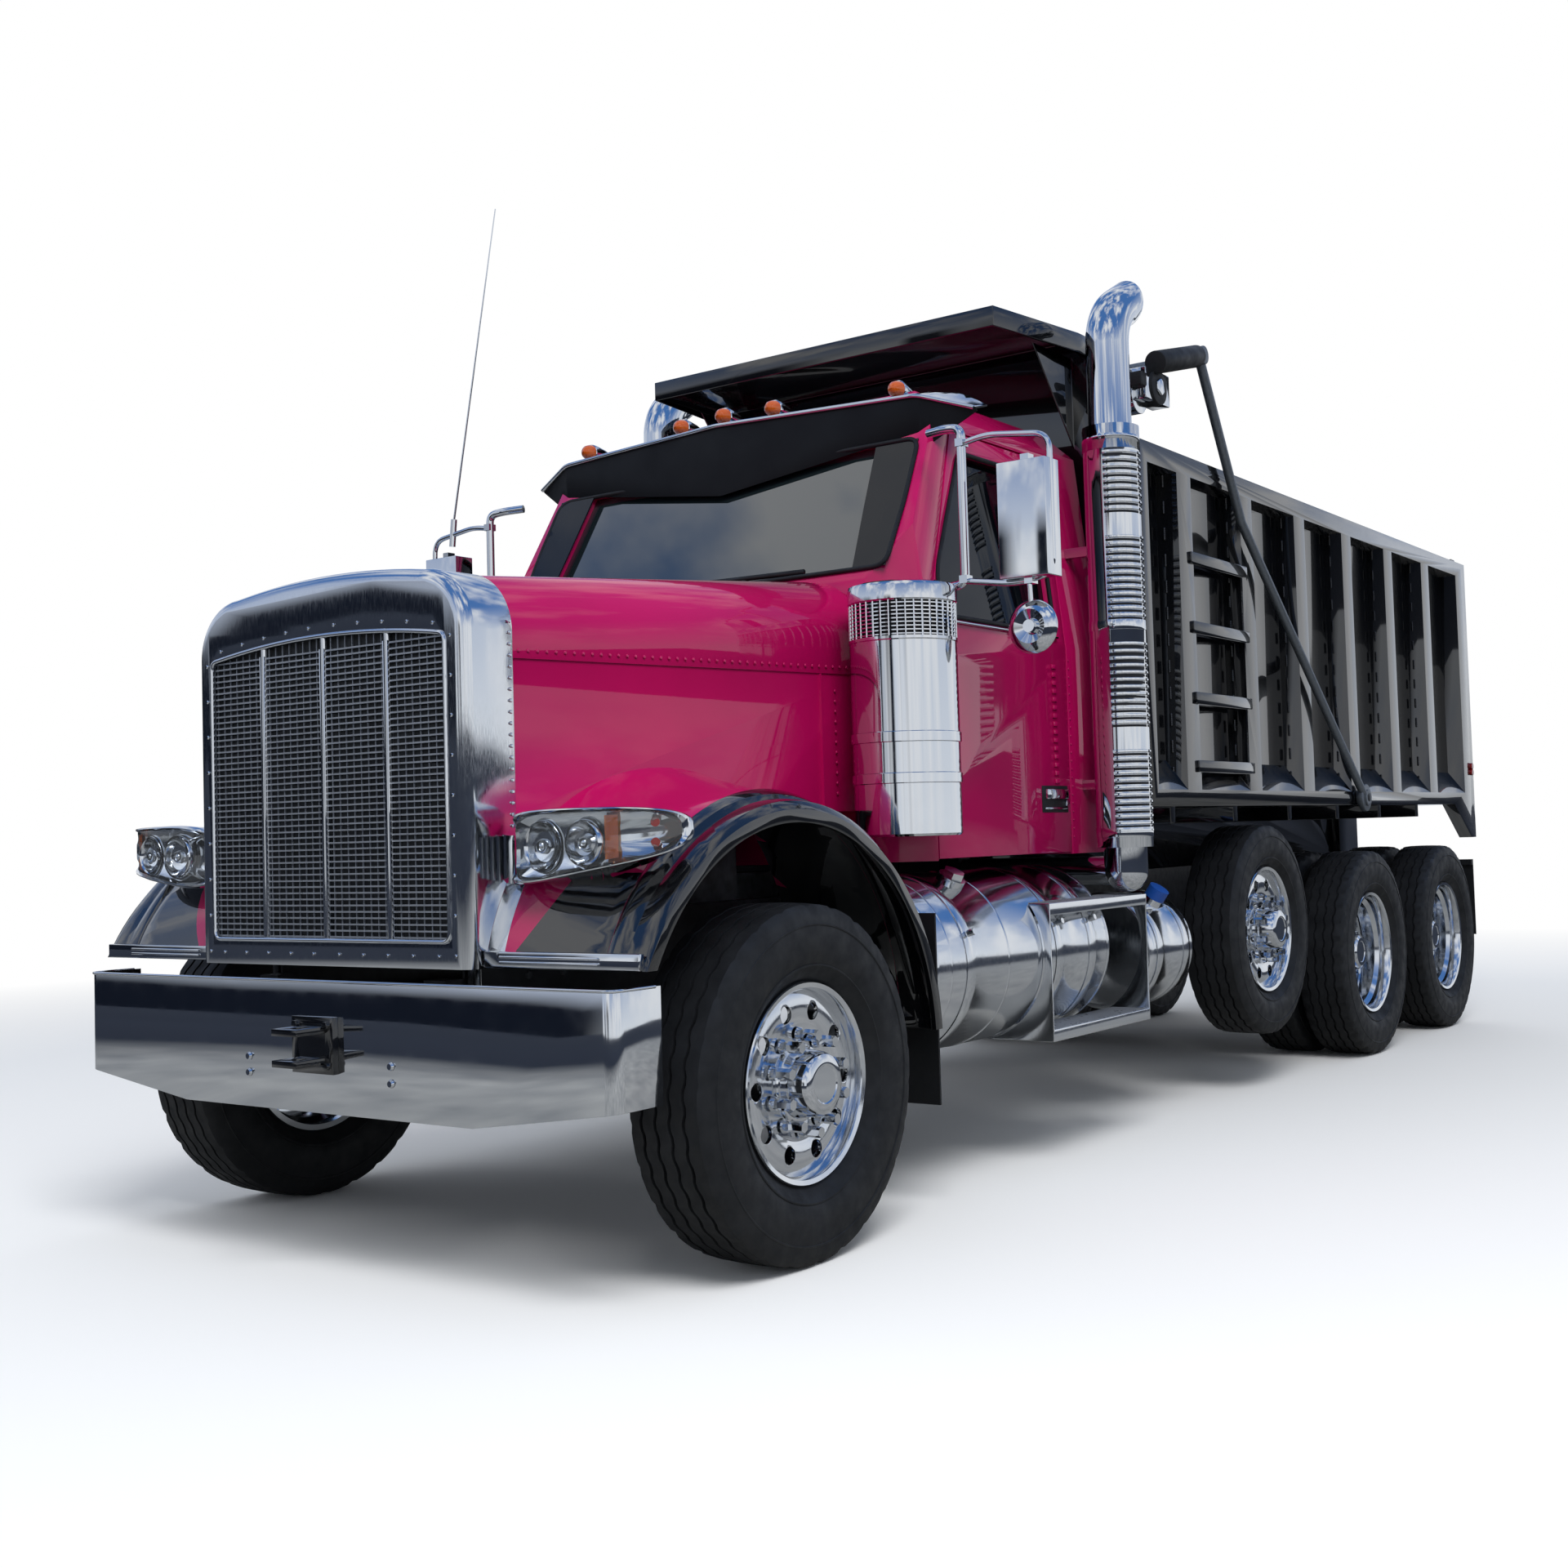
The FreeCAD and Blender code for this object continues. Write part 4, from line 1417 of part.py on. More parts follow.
def ladder():
    """Steps welded between the second and third posts on the left side."""
    first, second = post_places()[1] - POST_PITCH, post_places()[1]
    rungs = []
    for z in LADDER_RUNGS:
        rungs.append(box(BED_HALF - LADDER_RUNG_H, BED_HALF, first + POST_W - OVER, second + OVER,
                         z, z + LADDER_RUNG_H))
    return rungs


def make_bed_front():
    """The front wall with the hoist's recess, and the cab shield over the cab."""
    y0, y1 = BED_FRONT_Y, BED_FRONT_Y + SIDE_WALL * 2
    low = FLOOR_BOTTOM + FLOOR_WALL + SEAT
    half = SIDE_X - SEAT
    neck = SIDE_X - TOP_RAIL_LIP - SEAT
    wall = front_plate([
        (-half, low), (half, low), (half, TOP_RAIL_BOTTOM - SEAT),
        (neck, TOP_RAIL_BOTTOM - SEAT), (SHIELD_BACK_HALF, FRONT_WALL_TOP),
        (-SHIELD_BACK_HALF, FRONT_WALL_TOP), (-neck, TOP_RAIL_BOTTOM - SEAT),
        (-half, TOP_RAIL_BOTTOM - SEAT)], y0, y1)
    skin = SIDE_WALL
    outer = side_plate([
        (y0, low), (y0 + DOGHOUSE_FOOT_D, low), (y0 + DOGHOUSE_D, HOIST_EYE_Z + CROSS_W),
        (y0, HOIST_EYE_Z + CROSS_W * 2)], -DOGHOUSE_HALF - skin, DOGHOUSE_HALF + skin)
    inner = side_plate([
        (y0 - OVER, low - OVER), (y0 + DOGHOUSE_FOOT_D - skin, low - OVER),
        (y0 + DOGHOUSE_D - skin, HOIST_EYE_Z + CROSS_W - skin),
        (y0 - OVER, HOIST_EYE_Z + CROSS_W * 2 - skin)], -DOGHOUSE_HALF, DOGHOUSE_HALF)
    ears = [box(x, x + skin * 2, HOIST_Y - HINGE_BOSS_R, HOIST_Y + HINGE_BOSS_R,
                HOIST_EYE_Z - HINGE_BOSS_R, HOIST_EYE_Z + EYE_BLOCK_RISE)
            for x in (-HOIST_BARREL_R - skin * 2, HOIST_BARREL_R)]
    front = fused(wall, outer).cut(inner)
    cap_low = HOIST_EYE_Z + CROSS_W
    bridge = box(-DOGHOUSE_HALF - skin, DOGHOUSE_HALF + skin, HOIST_Y - HINGE_BOSS_R,
                 y0 + DOGHOUSE_D, cap_low, cap_low + skin)
    top = plan_plate([
        (-SHIELD_HALF, SHIELD_FRONT_Y), (SHIELD_HALF, SHIELD_FRONT_Y),
        (SHIELD_BACK_HALF, BED_FRONT_Y - SHIELD_LIP), (SHIELD_BACK_HALF, y1),
        (-SHIELD_BACK_HALF, y1), (-SHIELD_BACK_HALF, BED_FRONT_Y - SHIELD_LIP)],
        SHIELD_Z, SHIELD_Z + SHIELD_LIP)
    under = plan_plate([
        (-SHIELD_HALF + SHIELD_WALL, SHIELD_FRONT_Y + SHIELD_WALL),
        (SHIELD_HALF - SHIELD_WALL, SHIELD_FRONT_Y + SHIELD_WALL),
        (SHIELD_BACK_HALF - SHIELD_WALL, BED_FRONT_Y - SHIELD_LIP),
        (SHIELD_BACK_HALF - SHIELD_WALL, y0),
        (-SHIELD_BACK_HALF + SHIELD_WALL, y0),
        (-SHIELD_BACK_HALF + SHIELD_WALL, BED_FRONT_Y - SHIELD_LIP)],
        SHIELD_Z - OVER, SHIELD_Z + SHIELD_LIP - SHIELD_WALL)
    gussets = [side_plate([(y0 + OVER, SHIELD_Z + OVER), (y0 - SHIELD_LIP * 4, SHIELD_Z + OVER),
                           (y0 + OVER, TOP_RAIL_TOP)], x, x + SHIELD_WALL)
               for x in (-SHIELD_HALF, SHIELD_HALF - SHIELD_WALL)]
    lift = box(-SHIELD_BACK_HALF, SHIELD_BACK_HALF, y0, y1, FRONT_WALL_TOP - OVER, SHIELD_Z + OVER)
    save("bed_front", fused(front, top.cut(under), bridge, lift, *ears, *gussets))


def tailgate_hinge():
    """The tailgate's upper hinge line, as Y and Z."""
    return (BED_REAR_Y + TAILGATE_GAP + TAILGATE_PIN_R, TOP_RAIL_TOP + TAILGATE_PIN_R)


def make_tailgate():
    """The tailgate hung from its upper pins, with ribs on its outer face."""
    hinge_y, hinge_z = tailgate_hinge()
    y0 = BED_REAR_Y + TAILGATE_GAP
    y1 = REAR_REACH
    half = SIDE_X
    low = FLOOR_BOTTOM
    top = TOP_RAIL_BOTTOM - CLEAR
    panel = box(-half, half, y0, y0 + SIDE_WALL * 2, low, top)
    ribs = [box(x - POST_W / 3, x + POST_W / 3, y0, y1, low, top)
            for x in (-half + POST_W / 3, -half / 2, 0, half / 2, half - POST_W / 3)]
    rails = [box(-half, half, y0, y1, z, z + RAIL_BAND_H) for z in (low, (low + top) / 2, top - RAIL_BAND_H)]
    gate = fused(panel, *ribs, *rails)
    arms = []
    for side in (1, -1):
        low_x, high_x = sorted((side * (SIDE_X - POST_W / 2), side * (SIDE_X - SIDE_WALL)))
        arm = side_plate([(y0, top - OVER), (y1, top - OVER),
                          (hinge_y + TAILGATE_PIN_R, hinge_z + TAILGATE_PIN_R),
                          (hinge_y - TAILGATE_PIN_R, hinge_z + TAILGATE_PIN_R)], low_x, high_x)
        ends = sorted((side * (SIDE_X - POST_W / 2), side * (SIDE_X + TAILGATE_EAR_REACH)))
        arms += [arm, across(ends[0], ends[1], hinge_y, hinge_z, TAILGATE_PIN_R)]
    save("tailgate", fused(gate, *arms))


def make_tarp():
    """The roller housing on the front wall, and the sprung arms with their crossbar."""
    roller_y = BED_FRONT_Y + SIDE_WALL * 2 + ROLLER_R + SEAT
    roller = across(-ROLLER_HALF, ROLLER_HALF, roller_y, ROLLER_Z, ROLLER_R)
    save("tarp_roller", roller)
    pieces = []
    for side in (1, -1):
        x = side * TARP_ARM_X
        pivot = V(x, TARP_PIVOT_Y, TARP_PIVOT_Z)
        bend = V(x, TARP_BEND_Y, TARP_BEND_Z)
        top = V(x, TARP_TOP_Y, TARP_TOP_Z)
        low_x, high_x = sorted((x - side * (CLEAR + TARP_TUBE_R), x + side * TARP_TUBE_R))
        pieces += [rod(pivot, bend, TARP_TUBE_R), Part.makeSphere(TARP_TUBE_R, bend),
                   rod(bend, top, TARP_TUBE_R), Part.makeSphere(TARP_TUBE_R, top),
                   across(low_x, high_x, pivot.y, pivot.z, TARP_TUBE_R * 2)]
    pieces.append(across(-TARP_ARM_X, TARP_ARM_X, TARP_TOP_Y, TARP_TOP_Z, TARP_TUBE_R))
    bore = across(-TARP_ARM_X * 2, TARP_ARM_X * 2, TARP_PIVOT_Y, TARP_PIVOT_Z, TARP_TUBE_R + RUN)
    save("tarp_arms", fused(*pieces).cut(bore))


def make_hoist():
    """The telescopic hoist: its base on the frame, the swinging barrel and nested stages."""
    ear_x = HOIST_BARREL_R + CLEAR
    ear_w = CLEAR * 2
    beam = box(-RAIL_X + RAIL_WALL + SEAT, RAIL_X - RAIL_WALL - SEAT, HOIST_Y - CROSS_W / 3,
               HOIST_Y + CROSS_W / 3, RAIL_TOP - CROSS_H, RAIL_TOP - RAIL_WALL - SEAT)
    pieces = [beam, across(-ear_x - ear_w, ear_x + ear_w, HOIST_Y, HOIST_Z, HOIST_PIN_R)]
    for side in (1, -1):
        low, high = sorted((side * ear_x, side * (ear_x + ear_w)))
        pieces.append(box(low, high, HOIST_Y - HOIST_LUG_R, HOIST_Y + HOIST_LUG_R,
                          RAIL_TOP - RAIL_WALL - OVER, HOIST_Z + HOIST_LUG_R))
    save("hoist_base", fused(*pieces))
    foot = HOIST_Z + HOIST_LUG_R + HOIST_FOOT_GAP
    lug = box(-HOIST_LUG_R, HOIST_LUG_R, HOIST_Y - HOIST_LUG_R, HOIST_Y + HOIST_LUG_R,
              HOIST_Z - HOIST_LUG_R, foot + OVER)
    lug = lug.fuse(box(-ear_x + CLEAR / 2, ear_x - CLEAR / 2, HOIST_Y - HOIST_LUG_R, HOIST_Y + HOIST_LUG_R,
                       HOIST_Z - HOIST_LUG_R, HOIST_Z + HOIST_LUG_R))
    lug = lug.cut(across(-ear_x, ear_x, HOIST_Y, HOIST_Z, HOIST_PIN_R + RUN))
    radius, top = HOIST_BARREL_R, HOIST_BARREL_TOP
    for i in range(HOIST_STAGES + 1):
        inner = radius - HOIST_WALL
        sleeve = rod(V(0, HOIST_Y, foot), V(0, HOIST_Y, top), radius)
        if i < HOIST_STAGES:
            sleeve = sleeve.cut(rod(V(0, HOIST_Y, foot + HOIST_WALL), V(0, HOIST_Y, top + OVER), inner))
            gland = rod(V(0, HOIST_Y, top - HOIST_GLAND_H), V(0, HOIST_Y, top), radius - OVER)
            gland = gland.cut(rod(V(0, HOIST_Y, top - HOIST_GLAND_H), V(0, HOIST_Y, top),
                                  radius - HOIST_STAGE_STEP + SEAT))
            sleeve = sleeve.fuse(gland)
        else:
            eye = across(-radius, radius, HOIST_Y, HOIST_EYE_Z, HOIST_LUG_R)
            neck = rod(V(0, HOIST_Y, top - OVER), V(0, HOIST_Y, HOIST_EYE_Z), HOIST_NECK_R)
            sleeve = fused(sleeve, eye, neck)
            sleeve = sleeve.cut(across(-radius - OVER, radius + OVER, HOIST_Y, HOIST_EYE_Z, HOIST_PIN_R))
        if i == 0:
            save("hoist_barrel", fused(sleeve, lug))
        else:
            save(f"hoist_stage_{i}", sleeve)
        radius -= HOIST_STAGE_STEP
        foot += HOIST_WALL + CLEAR
        top += HOIST_GLAND_H / 2


def main():
    """Build every piece."""
    os.makedirs("parts", exist_ok=True)
    make_wheels()
    make_frame()
    make_front_axle()
    make_knuckles()
    make_tandem()
    make_pusher()
    make_engine()
    make_cab()
    make_cab_glass()
    make_visor()
    make_interior()
    make_doors()
    make_bumper()
    make_coupling()
    make_air_cleaners()
    make_stacks()
    make_tanks()
    make_steps()
    make_flaps()
    make_mirrors()
    make_hood()
    make_fenders()
    make_crown()
    make_grille()
    make_pods()
    make_bed_floor()
    make_bed_sides()
    make_bed_front()
    make_tailgate()
    make_tarp()
    make_hoist()


main()
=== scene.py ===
"""Looks of the long-nose dump truck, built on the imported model's frame.

All sizes are in metres in the frame's axes: +X is the truck's left, -Y its front, +Z up.
The places given to at() are in millimetres, with Y counted from the front axle.
"""
import math

import bmesh
import bpy
from mathutils import Matrix, Vector


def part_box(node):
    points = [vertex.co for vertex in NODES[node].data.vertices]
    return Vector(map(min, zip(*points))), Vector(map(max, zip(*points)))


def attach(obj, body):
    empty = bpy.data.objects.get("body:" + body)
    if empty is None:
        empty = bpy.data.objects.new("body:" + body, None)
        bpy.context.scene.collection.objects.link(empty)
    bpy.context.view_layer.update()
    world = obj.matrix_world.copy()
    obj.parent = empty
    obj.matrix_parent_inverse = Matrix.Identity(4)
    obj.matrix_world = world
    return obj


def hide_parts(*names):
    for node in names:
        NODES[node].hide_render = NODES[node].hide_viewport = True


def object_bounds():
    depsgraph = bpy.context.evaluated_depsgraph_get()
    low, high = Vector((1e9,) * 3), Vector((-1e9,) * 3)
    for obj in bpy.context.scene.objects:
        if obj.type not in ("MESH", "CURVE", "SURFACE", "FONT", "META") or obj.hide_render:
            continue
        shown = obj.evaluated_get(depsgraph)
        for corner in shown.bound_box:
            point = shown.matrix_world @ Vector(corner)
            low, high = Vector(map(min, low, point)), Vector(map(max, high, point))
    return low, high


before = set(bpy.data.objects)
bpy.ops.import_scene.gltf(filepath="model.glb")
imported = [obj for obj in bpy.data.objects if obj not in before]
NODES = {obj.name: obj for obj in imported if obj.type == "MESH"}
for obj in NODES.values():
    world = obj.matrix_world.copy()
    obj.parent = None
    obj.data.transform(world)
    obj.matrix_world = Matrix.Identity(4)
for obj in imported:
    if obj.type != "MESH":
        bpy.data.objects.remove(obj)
CAD_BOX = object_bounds()

bl_info = {
    "name": "Dump truck",
    "version": (1, 0, 0),
    "blender": (4, 5, 0),
    "location": "3D View > Sidebar > Truck",
    "description": "Builds a long-nose dump truck's finished pieces on its packed model",
    "category": "Add Mesh",
}

MM = 0.001
FRONT_AXLE_Y = -3.285
SIDES = ((1, "left"), (-1, "right"))


def linear(hex_code):
    """One sRGB hex value as a linear colour."""
    parts = [int(hex_code[i:i + 2], 16) / 255 for i in (1, 3, 5)]
    return [p / 12.92 if p <= 0.04045 else ((p + 0.055) / 1.055) ** 2.4 for p in parts]


def colour_property(label, text, hex_code):
    """A colour that the sidebar shows, with its default given in sRGB hex."""
    return bpy.props.FloatVectorProperty(
        name=label, description=text, default=linear(hex_code), subtype="COLOR", min=0, max=1)


def length_property(label, text, default):
    """A length that the sidebar shows, in metres."""
    return bpy.props.FloatProperty(name=label, description=text, default=default, unit="LENGTH")


class TruckColours(bpy.types.PropertyGroup):
    """Colours of the truck's finishes."""

    cherry: colour_property("Cherry", "Cab and hood paint", "#B80A58")
    black: colour_property("Black", "Body and fender paint", "#08090C")
    chrome: colour_property("Chrome", "Plated and polished trim", "#D5D8DC")
    alloy: colour_property("Alloy", "Polished aluminium of wheels and tanks", "#D8DBDF")
    galvanised: colour_property("Galvanised", "Tarp arms and small fittings", "#7E848B")
    rubber: colour_property("Rubber", "Tyres and flaps", "#141517")
    amber: colour_property("Amber", "Marker and turn lamps", "#E2660C")
    glass: colour_property("Glass", "Tinted window glass", "#1B2428")
    floor: colour_property("Floor", "Studio floor", "#FFFFFF")


class TruckSizes(bpy.types.PropertyGroup):
    """Sizes of the details that the finished pieces add."""

    groove: length_property("Groove", "Depth of the tread grooves", 13 * MM)
    rivet: length_property("Rivet", "Radius of a rivet head", 6 * MM)
    mesh_pitch: length_property(
        "Mesh pitch", "Pitch of the grille's slats, coarser than real so that it shows", 19 * MM)


def colours():
    """The colour settings of this scene."""
    return bpy.context.scene.truck_colours


def sizes():
    """The size settings of this scene."""
    return bpy.context.scene.truck_sizes


def add_node(tree, kind, settings=None, inputs=None):
    """Add a node with its settings; an input's value may be a number, colour or another node's output."""
    node = tree.nodes.new(kind)
    for name, value in (settings or {}).items():
        setattr(node, name, value)
    for name, value in (inputs or {}).items():
        if isinstance(value, bpy.types.NodeSocket):
            tree.links.new(value, node.inputs[name])
        else:
            node.inputs[name].default_value = value
    return node


def lumps(size, detail=3.0, stretch=(1, 1, 1)):
    """A pattern of noise, its largest lumps about one size across in metres, stretched along axes."""
    def pattern(tree, place):
        """The noise's grey."""
        scaled = add_node(tree, "ShaderNodeMapping", inputs={"Vector": place, "Scale": stretch})
        return add_node(tree, "ShaderNodeTexNoise", inputs={
            "Vector": scaled.outputs["Vector"], "Scale": 1 / size, "Detail": detail}).outputs["Fac"]
    return pattern


def cells(size):
    """A pattern of cells of one size across: zinc spangle, or the grain of vinyl."""
    def pattern(tree, place):
        """The grey that grows from each cell's middle."""
        return add_node(tree, "ShaderNodeTexVoronoi", inputs={
            "Vector": place, "Scale": 1 / size}).outputs["Distance"]
    return pattern


def flutes(tree, place):
    """A pattern of upright flutes about 8 mm apart, as lamp lenses have."""
    return add_node(tree, "ShaderNodeTexWave", {"bands_direction": "X"}, {
        "Vector": place, "Scale": 40.0}).outputs["Fac"]


def ranged(tree, value, start, end, low=0.0, high=1.0):
    """A grey between start and end, turned into low to high."""
    return add_node(tree, "ShaderNodeMapRange", inputs={
        "Value": value, "From Min": start, "From Max": end, "To Min": low, "To Max": high}).outputs["Result"]


def tinted(tree, share, *pair):
    """Two colours, or sockets that give them, mixed by a share."""
    first, second = [c if isinstance(c, bpy.types.NodeSocket) else (*c, 1) for c in pair]
    return add_node(tree, "ShaderNodeMix", {"data_type": "RGBA"}, {0: share, 6: first, 7: second}).outputs[2]


def finish(name, colour, settings, rough=None, bump=None, tint=None):
    """A Principled material whose roughness, relief and colour follow patterns.

    rough is (pattern, least, most), bump (pattern, strength, height) and tint (pattern, first colour,
    second colour); rough and tint may end with the greys that they start and end at.
    """
    material = bpy.data.materials.get(name)
    if material:
        return material
    material = bpy.data.materials.new(name)
    material.use_nodes = True
    tree = material.node_tree
    shader = tree.nodes["Principled BSDF"]
    shader.inputs["Base Color"].default_value = (*colour, 1)
    for key, value in settings.items():
        shader.inputs[key].default_value = value
    place = add_node(tree, "ShaderNodeTexCoord").outputs["Object"]
    if rough:
        pattern, least, most, *greys = rough
        value = ranged(tree, pattern(tree, place), *(greys or (0.3, 0.7)), least, most)
        tree.links.new(value, shader.inputs["Roughness"])
    if bump:
        pattern, strength, height = bump
        relief = add_node(tree, "ShaderNodeBump", inputs={
            "Strength": strength, "Distance": height, "Height": pattern(tree, place)}).outputs["Normal"]
        tree.links.new(relief, shader.inputs["Normal"])
        if settings.get("Coat Weight"):
            tree.links.new(relief, shader.inputs["Coat Normal"])
    if tint:
        pattern, first, second, *greys = tint
        share = ranged(tree, pattern(tree, place), *(greys or (0.3, 0.7)))
        tree.links.new(tinted(tree, share, first, second), shader.inputs["Base Color"])
    return material


def times(colour, share):
    """A lighter or darker colour."""
    return [c * share for c in colour]


def clear_coat_cherry():
    """Two-stage cherry enamel under a wet clear coat: deep, with faint orange peel."""
    cherry = colours().cherry
    return finish("cherry_clearcoat_enamel", cherry, {
        "Roughness": 0.5, "Specular IOR Level": 0.05, "Coat Weight": 1.0, "Coat Roughness": 0.03},
        bump=(lumps(9 * MM, 2.0), 0.05, 0.3 * MM), tint=(lumps(0.6), cherry, times(cherry, 0.82)))


def gloss_black_enamel():
    """Gloss black enamel on folded steel plate: mirror-like, with slow waves from the welding and dust."""
    return finish("gloss_black_enamel", colours().black, {
        "Specular IOR Level": 0.1, "Coat Weight": 1.0, "Coat IOR": 1.75, "Coat Roughness": 0.03},
        rough=(lumps(0.12, 6.0), 0.2, 0.26), bump=(lumps(0.5, 1.0), 0.12, 5 * MM))


def bright_chrome():
    """Plated steel: near-perfect mirror with the faintest haze."""
    return finish("bright_chrome_plate", colours().chrome, {"Metallic": 1.0},
                  rough=(lumps(0.08, 4.0), 0.03, 0.09))


def polished_aluminium():
    """Buffed aluminium: a softer mirror with fine upright buffing streaks."""
    streaks = lumps(3 * MM, 2.0, (1, 1, 0.1))
    return finish("polished_aluminium", colours().alloy, {"Metallic": 1.0},
                  rough=(streaks, 0.07, 0.17), bump=(streaks, 0.04, 0.1 * MM))


def tyre_rubber():
    """Vulcanised tyre rubber: dull black, bloomed a little grey, with fine mould grain."""
    rubber = colours().rubber
    return finish("tyre_rubber", rubber, {"Specular IOR Level": 0.35},
                  rough=(lumps(0.05), 0.5, 0.75), bump=(lumps(2 * MM, 4.0), 0.25, 0.4 * MM),
                  tint=(lumps(0.09, 5.0), rubber, times(rubber, 1.9)))


def chassis_paint():
    """Satin black chassis enamel on rolled steel, slightly dusty."""
    return finish("chassis_satin_enamel", linear("#101113"), {},
                  rough=(lumps(0.03, 4.0), 0.35, 0.6), bump=(lumps(4 * MM), 0.1, 0.5 * MM),
                  tint=(lumps(0.1, 6.0), linear("#0D0E10"), linear("#25262A")))


def galvanised_steel():
    """Galvanised tube: grey zinc spangle, half dull."""
    grey, spangle = colours().galvanised, cells(12 * MM)
    return finish("galvanised_steel", grey, {"Metallic": 0.9}, rough=(spangle, 0.35, 0.55, 0.0, 0.6),
                  tint=(spangle, times(grey, 0.72), grey, 0.0, 1.0))


def hard_chrome_rod():
    """Ground and hard-chromed hydraulic rod: a mirror broken by fine grinding lines."""
    return finish("hard_chrome_rod", linear("#B9BDC2"), {"Metallic": 1.0},
                  rough=(lumps(2 * MM, 2.0, (1, 1, 8)), 0.12, 0.26))


def amber_lens():
    """Moulded amber acrylic lens: clear colour, fluted inside."""
    return finish("amber_acrylic_lens", colours().amber, {
        "Roughness": 0.08, "Transmission Weight": 0.35, "IOR": 1.49, "Coat Weight": 0.5,
        "Coat Roughness": 0.05},
        bump=(flutes, 0.3, 1 * MM))


def red_lens():
    """Moulded red acrylic lens: deep colour, slightly uneven inside."""
    return finish("red_acrylic_lens", linear("#8E1010"), {
        "Roughness": 0.1, "Transmission Weight": 0.3, "Coat Weight": 0.5},
        bump=(lumps(3 * MM, 2.0), 0.1, 0.5 * MM))


def clear_lens():
    """Clear polycarbonate lamp lens: what lies behind it shows, with a sharp glint."""
    return finish("clear_polycarbonate_lens", linear("#EEF2F4"), {
        "Roughness": 0.02, "Transmission Weight": 0.95, "IOR": 1.58}, bump=(lumps(0.2, 1.0), 0.02, 1 * MM))


def tinted_glass():
    """Laminated, tinted windscreen glass: dark, sharply reflecting."""
    return finish("tinted_safety_glass", colours().glass, {
        "Roughness": 0.02, "Transmission Weight": 0.15, "IOR": 1.5, "Coat Weight": 1.0, "Coat IOR": 1.8,
        "Coat Roughness": 0.02}, bump=(lumps(0.5, 1.0), 0.03, 2 * MM))


def side_glass():
    """Dark side glass: deep tint and a weak reflection."""
    return finish("dark_side_glass", linear("#080C12"), {
        "Roughness": 0.02, "Transmission Weight": 0.25, "IOR": 1.35}, bump=(lumps(0.5, 1.0), 0.02, 1 * MM))


def black_frit():
    """Black ceramic edge of bonded glass: black under a sharp clear surface."""
    return finish("black_ceramic_glass_edge", linear("#070A10"), {
        "Specular IOR Level": 0.1, "Coat Weight": 0.5, "Coat IOR": 1.5, "Coat Roughness": 0.02},
        rough=(lumps(0.2), 0.2, 0.35))


def mirror_glass():
    """Silvered mirror glass: a clean reflection."""
    return finish("silvered_mirror_glass", linear("#DCE3E8"), {"Metallic": 1.0}, rough=(lumps(0.1), 0.01, 0.04))


def stainless_mesh():
    """Stainless slats and wire: grey metal, softly reflecting."""
    return finish("stainless_mesh", linear("#A9AEB6"), {"Metallic": 0.6}, rough=(lumps(0.05, 4.0), 0.24, 0.4))


def blue_cap():
    """Moulded blue polyethylene of the small tank's cap: even colour with fine grain."""
    return finish("blue_polyethylene", linear("#1D4FA3"), {"Roughness": 0.4}, bump=(lumps(2 * MM), 0.2, 0.3 * MM))


def moulded_black():
    """Moulded black polypropylene and sheet rubber: matt with fine grain."""
    return finish("moulded_black_polypropylene", linear("#131416"), {},
                  rough=(lumps(0.06), 0.5, 0.72), bump=(lumps(1.5 * MM), 0.3, 0.3 * MM))


def visor_shade_black():
    """Near-black on the visor's pressed steel drop face, deep and soft with little sheen: painted shade of the
    underside below the lip.
    """
    return finish("visor_painted_shade_black", linear("#07080C"), {"Specular IOR Level": 0.25},
                  rough=(lumps(0.15), 0.4, 0.55), bump=(lumps(4 * MM, 2.0), 0.08, 0.3 * MM))


def grained_vinyl():
    """Grey grained vinyl of seats and dash: small cells, soft sheen."""
    grain = cells(6 * MM)
    return finish("grained_vinyl", linear("#3A3C40"), {"Roughness": 0.55}, bump=(grain, 0.3, 0.4 * MM),
                  tint=(grain, linear("#2E3034"), linear("#45474C"), 0.0, 1.0))


def cast_iron():
    """Sand-cast iron under thin grey engine paint: rough and lumpy."""
    return finish("painted_cast_iron", linear("#3B3E42"), {"Roughness": 0.6},
                  bump=(lumps(5 * MM, 5.0), 0.5, 1 * MM), tint=(lumps(0.05), linear("#2A2C2F"), linear("#4A4D52")))


def at(x, y, z):
    """A place in millimetres, its Y counted from the front axle."""
    return Vector((x * MM, y * MM + FRONT_AXLE_Y, z * MM))


def placed(name, data):
    """A new object of the scene that holds a mesh, curve or lamp."""
    item = bpy.data.objects.new(name, data)
    bpy.context.scene.collection.objects.link(item)
    return item


def new_object(name, bm, *materials, smooth=True):
    """Turn a bmesh into an object of the scene, its faces smooth or flat."""
    data = bpy.data.meshes.new(name)
    bm.to_mesh(data)
    bm.free()
    for material in materials:
        data.materials.append(material)
    data.polygons.foreach_set("use_smooth", [smooth] * len(data.polygons))
    return placed(name, data)


def evaluated_mesh(item):
    """The mesh that an object's modifiers or bevel give."""
    bpy.context.view_layer.update()
    graph = bpy.context.evaluated_depsgraph_get()
    return bpy.data.meshes.new_from_object(item.evaluated_get(graph))


def applied(piece):
    """Bake a piece's modifiers into its mesh."""
    result, old = evaluated_mesh(piece), piece.data
    piece.modifiers.clear()
    piece.data = result
    bpy.data.meshes.remove(old)
    return piece


def shade(piece, angle=35):
    """Smooth faces that meet at less than an angle, and keep the sharper edges."""
    piece.data.shade_smooth()
    piece.data.set_sharp_from_angle(angle=math.radians(angle))
    return piece


def carried(piece, body, slot, *nodes):
    """Let a finished piece ride on its body, and stand for the nodes it replaces; slot is not used."""
    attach(piece, body)
    if nodes:
        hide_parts(*nodes)
    return piece


